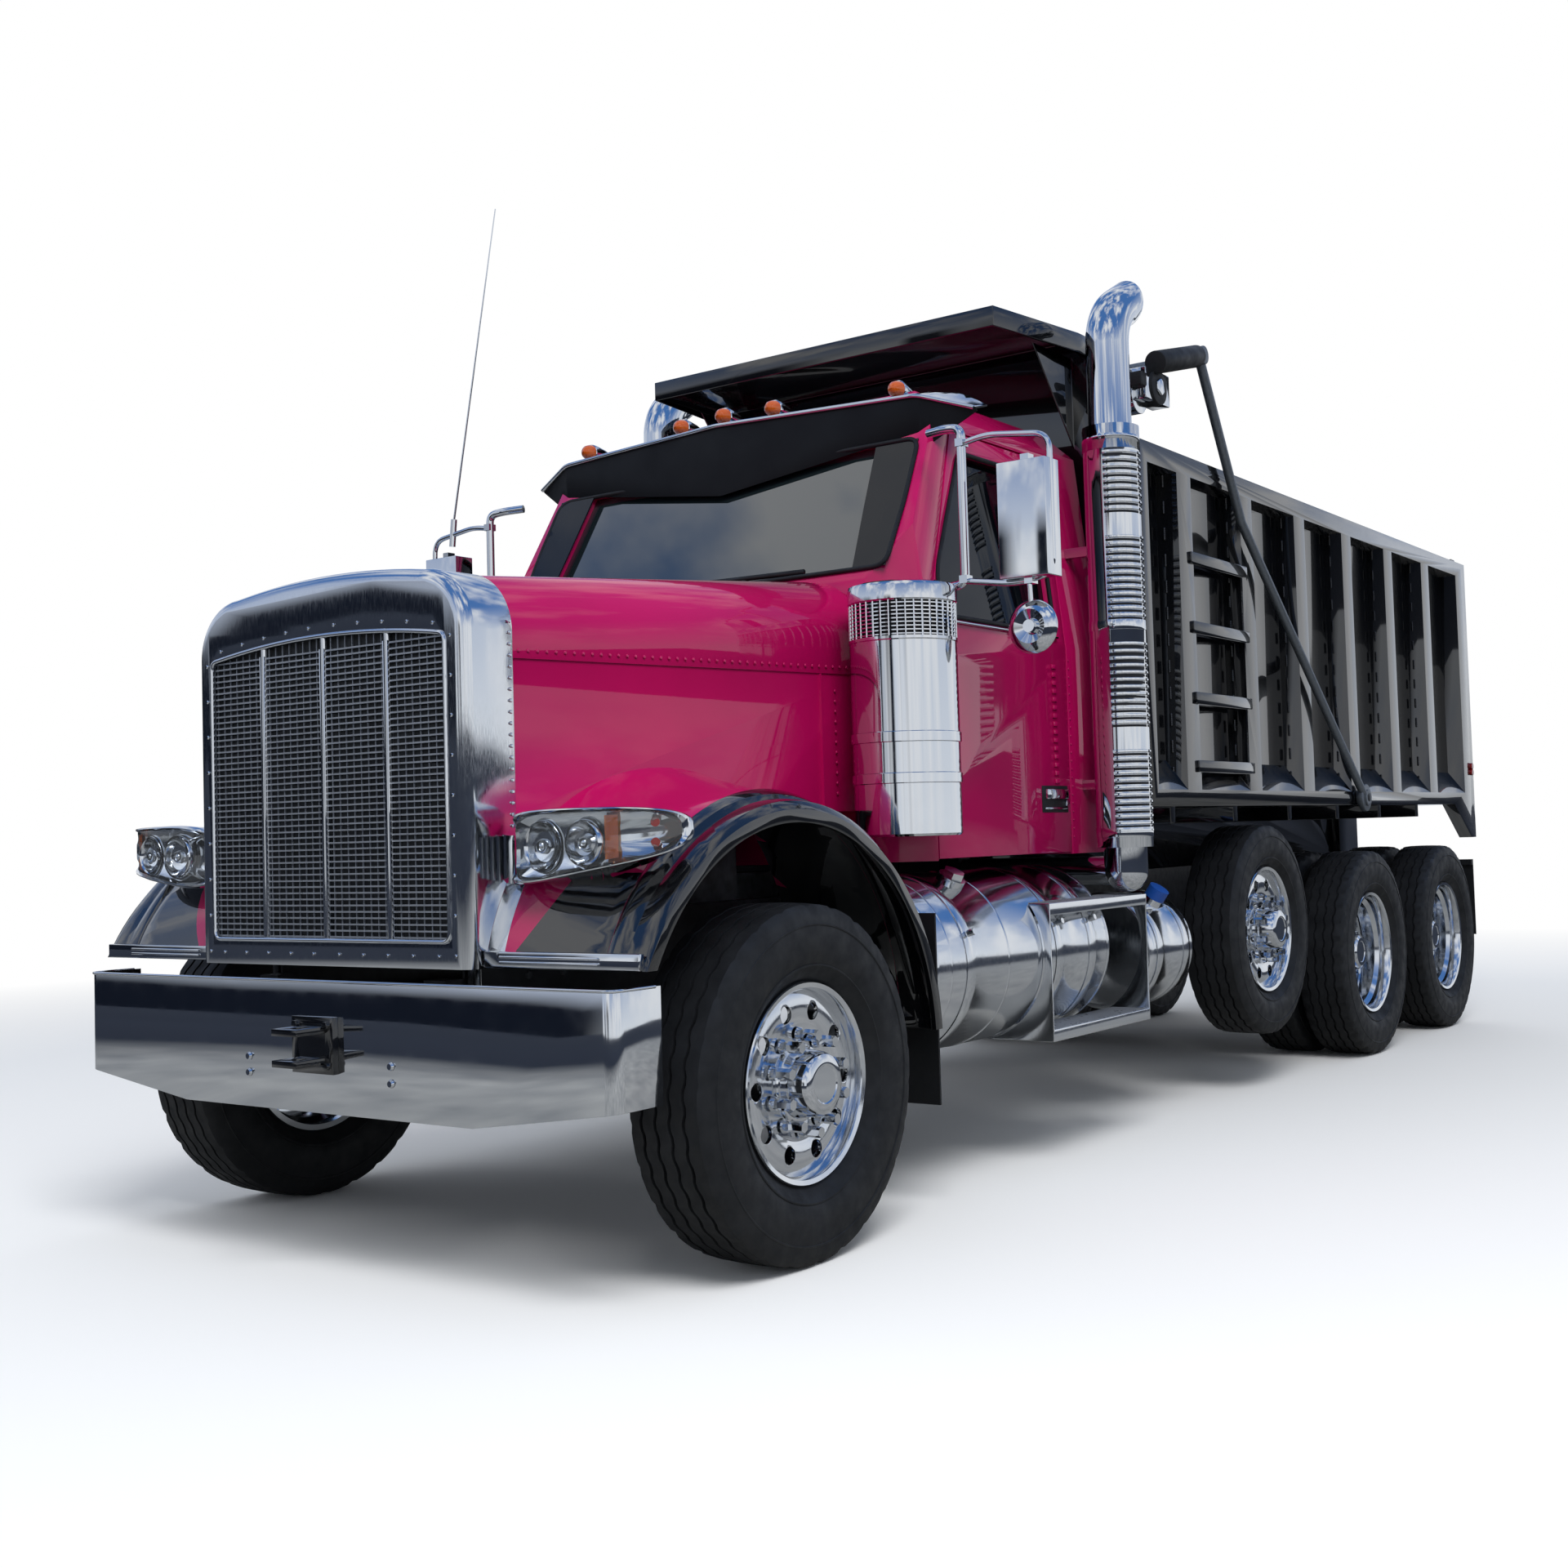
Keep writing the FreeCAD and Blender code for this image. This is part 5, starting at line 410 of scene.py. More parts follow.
def bevelled(piece, width, segments=2, angle=30):
    """Round a piece's edges that are sharper than an angle."""
    bevel = piece.modifiers.new("edges", "BEVEL")
    bevel.width, bevel.segments = width, segments
    bevel.limit_method, bevel.angle_limit = "ANGLE", math.radians(angle)
    return applied(piece)


def softened(node, material, width, angle=30):
    """A clean copy of a CAD piece, its edges rounded as folded or cast edges are."""
    bm = bmesh.new()
    bm.from_mesh(NODES[node].data)
    bmesh.ops.remove_doubles(bm, verts=bm.verts, dist=0.02 * MM)
    bmesh.ops.dissolve_limit(bm, angle_limit=math.radians(0.6), verts=bm.verts, edges=bm.edges)
    return shade(bevelled(new_object(f"{node}_finish", bm, material), width, angle=angle), 40)


def dressed(node, body, slot, material, width):
    """Replace a CAD piece with its softened copy."""
    return carried(softened(node, material, width), body, slot, node)


def paint_nodes(material, *nodes):
    """Give CAD pieces that stay as they are a better finish."""
    for node in nodes:
        for slot in NODES[node].material_slots:
            slot.material = material
        if not NODES[node].material_slots:
            NODES[node].data.materials.append(material)


def recoloured(piece, material, test):
    """Give the faces that pass a test of centre and normal another material."""
    piece.data.materials.append(material)
    for face in piece.data.polygons:
        if test(face.center, face.normal):
            face.material_index = len(piece.data.materials) - 1
    return piece


def cut_faces(piece, place, direction, test):
    """Cut the faces that pass a test along a plane, so that a colour can end on a straight line."""
    bm = bmesh.new()
    bm.from_mesh(piece.data)
    faces = [f for f in bm.faces if test(f.calc_center_median(), f.normal)]
    edges = list({e for f in faces for e in f.edges})
    verts = list({v for f in faces for v in f.verts})
    bmesh.ops.bisect_plane(bm, geom=faces + edges + verts, dist=1e-6, plane_co=place, plane_no=direction)
    bm.to_mesh(piece.data)
    bm.free()


def skin_between(bm, rows, slot=0, closed=False):
    """Faces between rows of vertices, each row closed into a ring or left open."""
    for here, after in zip(rows, rows[1:]):
        for i in range(len(here) if closed else len(here) - 1):
            j = (i + 1) % len(here)
            bm.faces.new((here[i], here[j], after[j], after[i])).material_index = slot


def add_lathe(bm, profile, centre, steps=96, turn=None):
    """Revolve (x, radius) points about a line along X through a centre; a turn may shift each point."""
    rings = []
    for i in range(steps):
        a = 2 * math.pi * i / steps
        points = [turn(i, j, x, r) for j, (x, r) in enumerate(profile)] if turn else profile
        rings.append([bm.verts.new((x, centre[1] + r * math.sin(a), centre[2] + r * math.cos(a)))
                      for x, r in points])
    skin_between(bm, rings + rings[:1])


def add_turned(bm, profile, middle, steps, slot=0, lying=False, arc=(0, 360)):
    """Revolve (radius, height) points in mm about the upright line, or the lying one, through a middle."""
    whole = arc[1] - arc[0] >= 360
    rings = []
    for i in range(steps if whole else steps + 1):
        a = math.radians(arc[0] + (arc[1] - arc[0]) * i / steps)
        ring = []
        for radius, height in profile:
            across, aside, up = radius * MM * math.cos(a), radius * MM * math.sin(a), height * MM
            shift = (across, up, aside) if lying else (across, aside, up)
            ring.append(bm.verts.new(middle + Vector(shift)))
        rings.append(ring)
    skin_between(bm, rings + rings[:1] if whole else rings, slot)


def give_slot(verts, slot):
    """Give the faces round some vertices a material slot."""
    for face in {f for v in verts for f in v.link_faces}:
        face.material_index = slot


def add_block(bm, low, high, slot=0):
    """A block between two corners."""
    verts = bmesh.ops.create_cube(bm, size=1.0)["verts"]
    bmesh.ops.scale(bm, vec=high - low, verts=verts)
    bmesh.ops.translate(bm, vec=(low + high) / 2, verts=verts)
    give_slot(verts, slot)


def add_side_blocks(bm, side, *rows):
    """Blocks on one side of the truck, from rows of x0, x1, y0, y1, z0, z1 and perhaps a slot."""
    for x0, x1, y0, y1, z0, z1, *slot in rows:
        low, high = sorted((side * x0, side * x1))
        add_block(bm, at(low, y0, z0), at(high, y1, z1), *slot)


def add_rod(bm, start, end, radius, slot=0, sides=24, end_radius=None):
    """A closed round bar between two points."""
    line = end - start
    spin = line.to_track_quat("Z", "Y").to_matrix().to_4x4()
    made = bmesh.ops.create_cone(
        bm, cap_ends=True, segments=sides, radius1=radius,
        radius2=radius if end_radius is None else end_radius, depth=line.length,
        matrix=Matrix.Translation((start + end) / 2) @ spin)
    give_slot(made["verts"], slot)


def outward(bm, doubles=0):
    """Merge doubles closer than a distance, if one is given, and turn every face outwards."""
    if doubles:
        bmesh.ops.remove_doubles(bm, verts=bm.verts, dist=doubles)
    bmesh.ops.recalc_face_normals(bm, faces=bm.faces)


def lathed(name, material, centre, *sections):
    """A piece of one or more (profile, steps) revolved about a wheel's line."""
    bm = bmesh.new()
    for profile, steps in sections:
        add_lathe(bm, profile, centre, steps)
    outward(bm, 0.05 * MM)
    return new_object(name, bm, material)


def turned_piece(name, bm, materials, body, slot, *nodes, angle=35):
    """Finish a piece of turned shapes: faces outwards, smooth, riding on its body."""
    outward(bm)
    return carried(shade(new_object(name, bm, *materials), angle), body, slot, *nodes)


def edged(name, bm, materials, width, body, slot, *nodes, segments=2):
    """Finish a piece built of blocks: soften its edges and let it ride on its body."""
    outward(bm)
    piece = new_object(name, bm, *materials, smooth=False)
    return carried(shade(bevelled(piece, width, segments)), body, slot, *nodes)


def tube(name, points, radius, bend, material, body, slot, sides=16):
    """A bent tube through points, its corners rounded to a bend radius."""
    curve = bpy.data.curves.new(name, "CURVE")
    curve.dimensions = "3D"
    curve.bevel_depth = radius
    curve.bevel_resolution = sides // 4
    curve.use_fill_caps = True
    path = rounded_path(points, bend)
    line = curve.splines.new("POLY")
    line.points.add(len(path) - 1)
    for point, place in zip(line.points, path):
        point.co = (*place, 1)
    holder = placed(name, curve)
    data = evaluated_mesh(holder)
    bpy.data.objects.remove(holder)
    data.materials.clear()
    data.materials.append(material)
    return carried(shade(placed(name, data), 50), body, slot)


def rounded_path(points, bend, steps=8):
    """A line's points with each corner turned into an arc-like bend."""
    path = [points[0]]
    for before, here, after in zip(points, points[1:], points[2:]):
        into, out = (before - here), (after - here)
        reach = min(bend, into.length * 0.45, out.length * 0.45)
        a, b = here + into.normalized() * reach, here + out.normalized() * reach
        for k in range(steps + 1):
            t = k / steps
            path.append(a * (1 - t) ** 2 + here * 2 * t * (1 - t) + b * t ** 2)
    path.append(points[-1])
    return path


def joined(name, pieces):
    """Join pieces into one object, keeping their materials."""
    bm = bmesh.new()
    materials = []
    for piece in pieces:
        start, local = len(bm.faces), list(piece.data.materials)
        bm.from_mesh(piece.data)
        bm.faces.ensure_lookup_table()
        materials += [m for m in local if m not in materials]
        for face in bm.faces[start:]:
            face.material_index = materials.index(local[face.material_index])
        bpy.data.objects.remove(piece)
    return new_object(name, bm, *materials)


def mirror_copy(piece, name):
    """The same piece for the truck's other side, its faces turned outwards again."""
    bm = bmesh.new()
    bm.from_mesh(piece.data)
    bmesh.ops.scale(bm, vec=(-1, 1, 1), verts=bm.verts)
    bmesh.ops.reverse_faces(bm, faces=bm.faces)
    return new_object(name, bm, *piece.data.materials)


def fastener_tree():
    """A Geometry Nodes tree that sets one fastener on every point of a mesh, along its outward direction."""
    tree = bpy.data.node_groups.get("fastener_rows")
    if tree:
        return tree
    tree = bpy.data.node_groups.new("fastener_rows", "GeometryNodeTree")
    for name, kind, default in (
            ("Geometry", "Geometry", None), ("Radius", "Float", 8 * MM), ("Height", "Float", 6 * MM),
            ("Sides", "Int", 6), ("Taper", "Float", 1.0), ("Skin", "Material", None)):
        port = tree.interface.new_socket(name, in_out="INPUT", socket_type=f"NodeSocket{kind}")
        if default:
            port.default_value = default
    tree.interface.new_socket("Geometry", in_out="OUTPUT", socket_type="NodeSocketGeometry")
    entry = add_node(tree, "NodeGroupInput").outputs
    upper = add_node(tree, "ShaderNodeMath", {"operation": "MULTIPLY"}, {0: entry["Radius"], 1: entry["Taper"]})
    head = add_node(tree, "GeometryNodeMeshCone", inputs={
        "Vertices": entry["Sides"], "Radius Top": upper.outputs[0],
        "Radius Bottom": entry["Radius"], "Depth": entry["Height"]})
    facing = add_node(tree, "GeometryNodeInputNamedAttribute", {"data_type": "FLOAT_VECTOR"}, {"Name": "outward"})
    aim = add_node(tree, "FunctionNodeAlignEulerToVector", {"axis": "Z"}, {"Vector": facing.outputs["Attribute"]})
    copies = add_node(tree, "GeometryNodeInstanceOnPoints", inputs={
        "Points": entry["Geometry"], "Instance": head.outputs["Mesh"], "Rotation": aim.outputs[0]})
    real = add_node(tree, "GeometryNodeRealizeInstances", inputs={"Geometry": copies.outputs[0]})
    skinned = add_node(tree, "GeometryNodeSetMaterial", inputs={
        "Geometry": real.outputs[0], "Material": entry["Skin"]})
    add_node(tree, "NodeGroupOutput", inputs={"Geometry": skinned.outputs[0]})
    return tree


def fasteners(name, places, radius, height, material, sides=6, taper=0.85):
    """Rivets or bolts at (point, outward direction) places, as one mesh made by Geometry Nodes."""
    data = bpy.data.meshes.new(name)
    data.from_pydata([place for place, _ in places], [], [])
    directions = data.attributes.new("outward", "FLOAT_VECTOR", "POINT")
    for item, (_, direction) in zip(directions.data, places):
        item.vector = Vector(direction).normalized()
    piece = placed(name, data)
    modifier = piece.modifiers.new("rows", "NODES")
    modifier.node_group = fastener_tree()
    values = {"Radius": radius, "Height": height, "Sides": sides, "Taper": taper, "Skin": material}
    for port in modifier.node_group.interface.items_tree:
        if port.name in values:
            modifier[port.identifier] = values[port.name]
    return shade(applied(piece), 40)


def along(start, end, count, direction):
    """Evenly spaced fastener places from one point to another."""
    return [(start.lerp(end, i / (count - 1)), direction) for i in range(count)]


def circle_places(x, centre, radius, count, offset=0.5):
    """Fastener places round a circle on a wheel's face, at a place along X."""
    turns = [2 * math.pi * (i + offset) / count for i in range(count)]
    return [(Vector((x, centre.y + radius * math.sin(a), centre.z + radius * math.cos(a))), (1, 0, 0))
            for a in turns]


# Each row of wheels: name, twin or not, rim radius and width, and whether its tread is notched deeply.
WHEEL_ROWS = (("front", False, 0.287, 0.229, False), ("pusher", False, 0.287, 0.21, False),
              ("mid", True, 0.312, 0.21, True), ("rear", True, 0.312, 0.21, True))
TWIN_SPACING = 0.318
SIDEWALL_STEPS = 9
TREAD_STEPS = 156
GROOVES = (-0.6, -0.2, 0.2, 0.6)
GROOVE_W = 11 * MM
ZIGZAG = 3.5 * MM
HOLE_PITCH_R = 0.217
HOLE_R = 0.027
NUT_PITCH_R = 0.1429
HOLES = 10


def sidewall(lip_x, lip_r, half, tread_half, shoulder_r):
    """The bulged line from the rim's lip to the shoulder, with two moulded rings on it."""
    points = []
    for i in range(SIDEWALL_STEPS + 1):
        t = i / SIDEWALL_STEPS
        x = half - (half - (lip_x if t < 0.5 else tread_half)) * abs(2 * t - 1) ** 2.3
        r = lip_r + (shoulder_r - lip_r) * t
        rings = ((0, -4), (2.5, -2), (2.5, 2), (0, 4)) if i in (2, SIDEWALL_STEPS - 2) else ((0, 0),)
        points += [(x + dx * MM, r + dr * MM) for dx, dr in rings]
    return points


def add_tyre(bm, centre, radius, width, rim_r, rim_w, notched):
    """One tyre: rounded sidewalls, ribs between zigzag grooves, and notched shoulders."""
    tread_half = width / 2 * 0.86
    depth = sizes().groove
    right = [(rim_w / 2 - 30 * MM, rim_r + 1 * MM), (rim_w / 2 - 16 * MM, rim_r + 1 * MM)]
    right += sidewall(rim_w / 2 - 15 * MM, rim_r + 15 * MM, width / 2, tread_half + 4 * MM, radius - 16 * MM)
    left = [(-x, r) for x, r in right]
    edge = tread_half - 6 * MM
    tread, grooved = [(-edge, radius - 5 * MM)], set()
    for share in GROOVES:
        for dx, dr in ((-1 / 2, 0), (-1 / 3, depth), (1 / 3, depth), (1 / 2, 0)):
            grooved.add(len(left) + len(tread))
            tread.append((share * tread_half + dx * GROOVE_W, radius - 4 * MM * share ** 2 - dr))
    tread.append((edge, radius - 5 * MM))
    edges = (len(left), len(left) + len(tread) - 1)
    shoulders = (edges[0] - 1, edges[1] + 1)

    def turn(i, j, x, r):
        """Where a point of the profile goes at one of the tread's steps."""
        if j in grooved:
            x += ZIGZAG if i % 4 < 2 else -ZIGZAG
        if i % (4 if notched else 6) == 0:
            if j in edges:
                r -= (11 if notched else 6) * MM
            if j in shoulders:
                r -= 4 * MM
        return centre[0] + x, r
    add_lathe(bm, left + tread + right[::-1], centre, TREAD_STEPS, turn)


def row_names(row, twin, kind):
    """The names of a row's nodes of a kind, and of the bodies that carry them, without their side."""
    return (f"{row}_twin_{kind}s", f"{row}_wheels") if twin else (f"{row}_{kind}", f"{row}_wheel")


def row_place(row, twin):
    """The outer left tyre's centre, radius and width, from its node's box."""
    low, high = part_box(row_names(row, twin, "tyre")[0] + "_left")
    middle, width = (low + high) / 2, high.x - low.x
    if twin:
        middle, width = middle + Vector((TWIN_SPACING / 2, 0, 0)), width - TWIN_SPACING
    return middle, (high.z - low.z) / 2, width


def carried_pair(left, name, node, body, slot):
    """Carry a wheel's left piece, and its mirror copy on the right, in place of their nodes."""
    for piece, word in ((left, "left"), (mirror_copy(left, f"{name}_right"), "right")):
        carried(piece, f"{body}_{word}", slot, f"{node}_{word}")


def make_tyres():
    """All tyres, in place of their plain CAD forms."""
    for row, twin, rim_r, rim_w, notched in WHEEL_ROWS:
        centre, radius, width = row_place(row, twin)
        node, body = row_names(row, twin, "tyre")
        name = f"{row}_tread{'s' if twin else ''}"
        bm = bmesh.new()
        for inward in (0, TWIN_SPACING) if twin else (0,):
            add_tyre(bm, centre - Vector((inward, 0, 0)), radius, width, rim_r, rim_w, notched)
        outward(bm, 0.05 * MM)
        left = shade(new_object(f"{name}_left", bm, tyre_rubber()), 28)
        carried_pair(left, name, node, body, "tyre")


def barrel_section(outer_x, rim_r, rim_w):
    """A rim's barrel as a closed section: rolled lips, bead seats and the drop centre."""
    back, lip, wall = outer_x - rim_w, 14, -9
    outer = [(0, lip - 3), (-4, lip), (-11, lip - 2), (-15, -1), (-60, -3), (-80, -22)]
    behind = [(60, -22), (45, -3), (15, -1), (11, lip - 2), (4, lip), (0, lip - 3),
              (0, wall), (48, wall - 3), (64, wall - 22)]
    inner = [(-84, wall - 22), (-64, wall - 3), (-14, wall), (-4, wall + 6), (0, lip - 3)]
    return [(start + x * MM, rim_r + r * MM)
            for start, part in ((outer_x, outer), (back, behind), (outer_x, inner)) for x, r in part]


def disc_piece(name, disc_x, rim_in_r, centre, material):
    """The wheel's disc as a turned, slightly domed plate with its round hand holes cut."""
    face = [(-10, rim_in_r + 4 * MM), (-4, rim_in_r - 16 * MM), (1, HOLE_PITCH_R + 16 * MM),
            (0, HOLE_PITCH_R - 18 * MM), (-6, NUT_PITCH_R + 38 * MM), (-8, NUT_PITCH_R + 28 * MM), (-8, 0.09)]
    face = [(disc_x + x * MM, r) for x, r in face]
    back = [(x - 14 * MM, r) for x, r in reversed(face)]
    disc = lathed(name, material, centre, (face + back + face[:1], 120))
    holes = bmesh.new()
    through = Vector((0.06, 0, 0))
    for place, _ in circle_places(disc_x, centre, HOLE_PITCH_R, HOLES):
        add_rod(holes, place - through, place + through, HOLE_R, sides=28)
    cutter = new_object("hand_holes", holes, material)
    cut = disc.modifiers.new("holes", "BOOLEAN")
    cut.object, cut.operation, cut.solver = cutter, "DIFFERENCE", "EXACT"
    bevelled(disc, 2 * MM, angle=50)
    bpy.data.objects.remove(cutter)
    return disc


def hub_cover(name, base_x, centre, material, reach):
    """The plated hub cover: a stepped flange, the domed cap and its shallow centre."""
    flange = [(-20, 0), (-20, 0.118), (4, 0.118), (8, 0.114), (9, 0.107)]
    cap = [(0.25, 0, 0.102), (0.8, 0, 0.096), (0.93, 0, 0.089), (1, 0, 0.076), (1, 0, 0.058),
           (1, -3, 0.054), (1, -3, 0)]
    profile = [(base_x + x * MM, r) for x, r in flange]
    profile += [(base_x + share * reach + x * MM, r) for share, x, r in cap]
    return lathed(name, material, centre, (profile, 96))


def nut_covers(name, base_x, centre, material, length):
    """Plated covers over the wheel nuts: flared foot, hexagon, domed tip."""
    # Each part's name, its middle as a share of the length, radius, length share, sides and taper.
    parts = (("feet", 0.12, 23, 0.24, 24, 0.8), ("shanks", 0.5, 17.5, 0.8, 6, 0.97),
             ("tips", 0.96, 16, 0.12, 6, 0.6))
    return joined(name, [
        fasteners(f"{name}_{part}", circle_places(base_x + length * spot, centre, NUT_PITCH_R, HOLES, 0.0),
                  radius * MM, length * share, material, sides, taper)
        for part, spot, radius, share, sides, taper in parts])


def inner_twin(row, outer_x, rim_r, rim_w, centre):
    """The inner rim of a twin pair with its cone, and the brake drum behind it."""
    paint = chassis_paint()
    barrel = lathed(f"{row}_inner_barrel", paint, centre, (barrel_section(outer_x, rim_r, rim_w), 128))
    disc = outer_x + TWIN_SPACING - 0.2
    cone = [(disc, 0.1), (disc, 0.2), (outer_x, rim_r - 14 * MM), (outer_x - 12 * MM, rim_r - 14 * MM),
            (disc - 12 * MM, 0.2), (disc - 12 * MM, 0.1), (disc, 0.1)]
    drum = [(outer_x + x, r) for x, r in (
        (-0.03, 0.06), (-0.03, 0.205), (-0.2, 0.21), (-0.2, 0.06), (-0.03, 0.06))]
    return [barrel, lathed(f"{row}_cone", paint, centre, (cone, 96), (drum, 64))]


def make_wheels():
    """All wheels: polished aluminium with plated hub and nut covers."""
    alloy, chrome = polished_aluminium(), bright_chrome()
    for row, twin, rim_r, rim_w, _ in WHEEL_ROWS:
        centre = row_place(row, twin)[0]
        outer_x = centre.x + rim_w / 2
        inset, reach, nut_length = (0.17, 0.115, 0.055) if twin else (0.03, 0.1, 0.062)
        disc_x = outer_x - inset
        parts = [lathed(f"{row}_barrel", alloy, centre, (barrel_section(outer_x, rim_r, rim_w), 128)),
                 disc_piece(f"{row}_disc", disc_x, rim_r - 12 * MM, centre, alloy),
                 hub_cover(f"{row}_hub", disc_x - 8 * MM, centre, chrome, reach),
                 nut_covers(f"{row}_nuts", disc_x - 10 * MM, centre, chrome, nut_length)]
        if twin:
            parts += inner_twin(row, outer_x - TWIN_SPACING, rim_r, rim_w, centre)
        node, body = row_names(row, twin, "wheel")
        name = f"{row}_alloy{'s' if twin else ''}"
        carried_pair(shade(joined(f"{name}_left", parts), 30), name, node, body, "alloy")


def screen_place(x, z):
    """A place just in front of the windscreen."""
    return at(x, 960 + (z - 2190) * 0.5303 - 7, z)


def make_cab():
    """The cab shell with its rivets, and the interior."""
    cherry = clear_coat_cherry()
    cab = dressed("cab_shell", "chassis", "red", cherry, 14 * MM)
    recoloured(cab, chassis_paint(), lambda c, n: c.z < 1.169 or n.z < -0.9 and c.z < 1.3)
    dressed("cab_interior", "chassis", "trim", grained_vinyl(), 20 * MM)
    rivets = []
    for side, _ in SIDES:
        for y in (2150, 2420):
            rivets += along(at(side * 1036, y, 1240), at(side * 1036, y, 1960), 22, (side, 0, 0))
    carried(fasteners("cab_rivets", rivets, sizes().rivet * 0.8, 3 * MM, cherry, 12, 0.6), "chassis", "red")


def make_windscreen():
    """The split windscreen with its black ceramic edges, rubber seal and wipers."""
    rubber = moulded_black()
    paint_nodes(tinted_glass(), "cab_glass")
    bm = bmesh.new()
    for side, _ in SIDES:
        skin_between(bm, [[bm.verts.new(screen_place(side * x, z)) for x in (low, (low + high) / 2, high)]
                          for z, low, high in ((2238, 780, 924), (2500, 750, 926), (2745, 725, 914))])
    edge = new_object("windscreen_edges", bm, black_frit())
    edge.modifiers.new("wall", "SOLIDIFY").thickness = 5 * MM
    carried(shade(applied(edge)), "chassis", "trim")
    line = [screen_place(x, z) for x, z in (
        (0, 2236), (926, 2236), (930, 2500), (916, 2748), (-916, 2748), (-930, 2500), (-926, 2236), (0, 2236))]
    tube("windscreen_seal", line, 9 * MM, 60 * MM, rubber, "chassis", "trim")
    wipers = bmesh.new()
    for x in (-560, 120):
        add_rod(wipers, at(x + 20, 958, 2196), at(x + 190, 990, 2262), 8 * MM, sides=12)
        add_rod(wipers, at(x - 60, 985, 2262), at(x + 440, 985, 2254), 10 * MM, sides=12)
        add_rod(wipers, at(x + 20, 950, 2180), at(x + 20, 966, 2206), 22 * MM, sides=20)
    carried(new_object("wipers", wipers, rubber), "chassis", "trim")


def make_doors():
    """Each door with its dark glass, window seal, handle, grab strip and louvred hinge cover."""
    rubber, cherry = moulded_black(), clear_coat_cherry()
    for side, word in SIDES:
        door = f"door_{word}"
        dressed(door, door, "red", cherry, 5 * MM)
        paint_nodes(side_glass(), f"door_glass_{word}")
        # The door's face leans inwards above the window sill.
        line = [at(side * (1037 - max(0, z - 2010) * 0.1131), y, z) for y, z in (
            (1187, 2065), (2053, 2065), (2053, 2718), (1458, 2718), (1187, 2230), (1187, 2065))]
        tube(f"door_seal_{word}", line, 9 * MM, 50 * MM, rubber, door, "trim")
        bm = bmesh.new()
        add_side_blocks(bm, side, (1030, 1038, 1888, 2106, 1338, 1446, 1), (1034, 1056, 1905, 2080, 1392, 1432),
                        (1034, 1044, 1905, 2092, 1350, 1360), (1034, 1046, 1180, 2060, 2040, 2050))
        add_rod(bm, at(side * 1030, 2086, 1376), at(side * 1048, 2086, 1376), 14 * MM)
        edged(f"door_handle_{word}", bm, [bright_chrome(), rubber], 4 * MM, door, "chrome")
        louvres = bmesh.new()
        add_side_blocks(louvres, side, *((1034, 1041, 2001, 2035, z, z + 18) for z in range(1455, 1950, 33)))
        edged(f"door_louvres_{word}", louvres, [cherry], 2 * MM, door, "red")


def make_visor():
    """The drop visor: polished top, a near-black drop face that is painted shade, and a bright rolled lip between
    them.
    """
    visor = softened("sun_visor", polished_aluminium(), 1.5 * MM)
    shelf = 2.93
    for vert in visor.data.vertices:
        if vert.co.z > shelf:
            vert.co.z = shelf + (vert.co.z - shelf) * 0.3
    # Painted shade: faces below the lip that don't face up are painted near-black, standing for the visor's shaded
    # underside.
    recoloured(visor, visor_shade_black(), lambda c, n: n.z < 0.25 and c.z < shelf + 0.02)
    carried(visor, "chassis", "chrome", "sun_visor")
    line = [at(*place) for place in (
        (-1110, 1326, 2842), (-900, 1257, 2910), (0, 1187, 2928), (900, 1257, 2910), (1110, 1326, 2842))]
    tube("visor_lip", line, 9 * MM, 30 * MM, bright_chrome(), "chassis", "chrome")


def make_marker_lamps():
    """Five bullet lamps on the visor: amber domes in chrome torpedo housings."""
    dome = [(0.5, -72), (14, -68), (26, -56), (32, -40), (34, -22)]
    shell = [(34, -26), (37, -24), (37, -14), (34, 10), (27, 50), (16, 88), (0.5, 110)]
    bm = bmesh.new()
    for x in (-794, -237, 0, 237, 794):
        share = abs(x) / 900
        y, z = 1266 + 70 * share, 2974 - 18.5 * share
        add_turned(bm, dome, at(x, y, z), 32, 1, lying=True)
        add_turned(bm, shell, at(x, y, z), 32, lying=True)
        add_block(bm, at(x - 12, y - 10, z - 62), at(x + 12, y + 62, z - 14))
    turned_piece("marker_lamps_finish", bm, [bright_chrome(), amber_lens()], "chassis", "glass", "marker_lamps")


def make_bumper():
    """The bumper with its rolled rim and bolts, and the tow coupling."""
    chrome = bright_chrome()
    bumper = dressed("bumper", "chassis", "chrome", chrome, 3 * MM)
    recoloured(bumper, chassis_paint(), lambda c, n: n.y > 0.5)
    bolts = [(at(x, -808, z), (0, -1, 0)) for x in (-330, 330) for z in (590, 640)]
    carried(fasteners("bumper_bolts", bolts, 13 * MM, 8 * MM, chrome, 24, 0.7), "chassis", "chrome")
    rim = [at(x, y, 879) for x, y in ((-1204, -640), (-1204, -806), (1204, -806), (1204, -640))]
    tube("bumper_rim", rim, 5 * MM, 40 * MM, chrome, "chassis", "chrome", 12)
    dressed("tow_coupling", "chassis", "frame_paint", gloss_black_enamel(), 3 * MM)


# On the fenders' noses, the black below this slanting plane and the bright strip inside this X.
NOSE_PLACE = at(748, -673, 1002)
NOSE_SLANT = Vector((0.564, 0.525, -0.637))
BRIGHT_X = 0.698


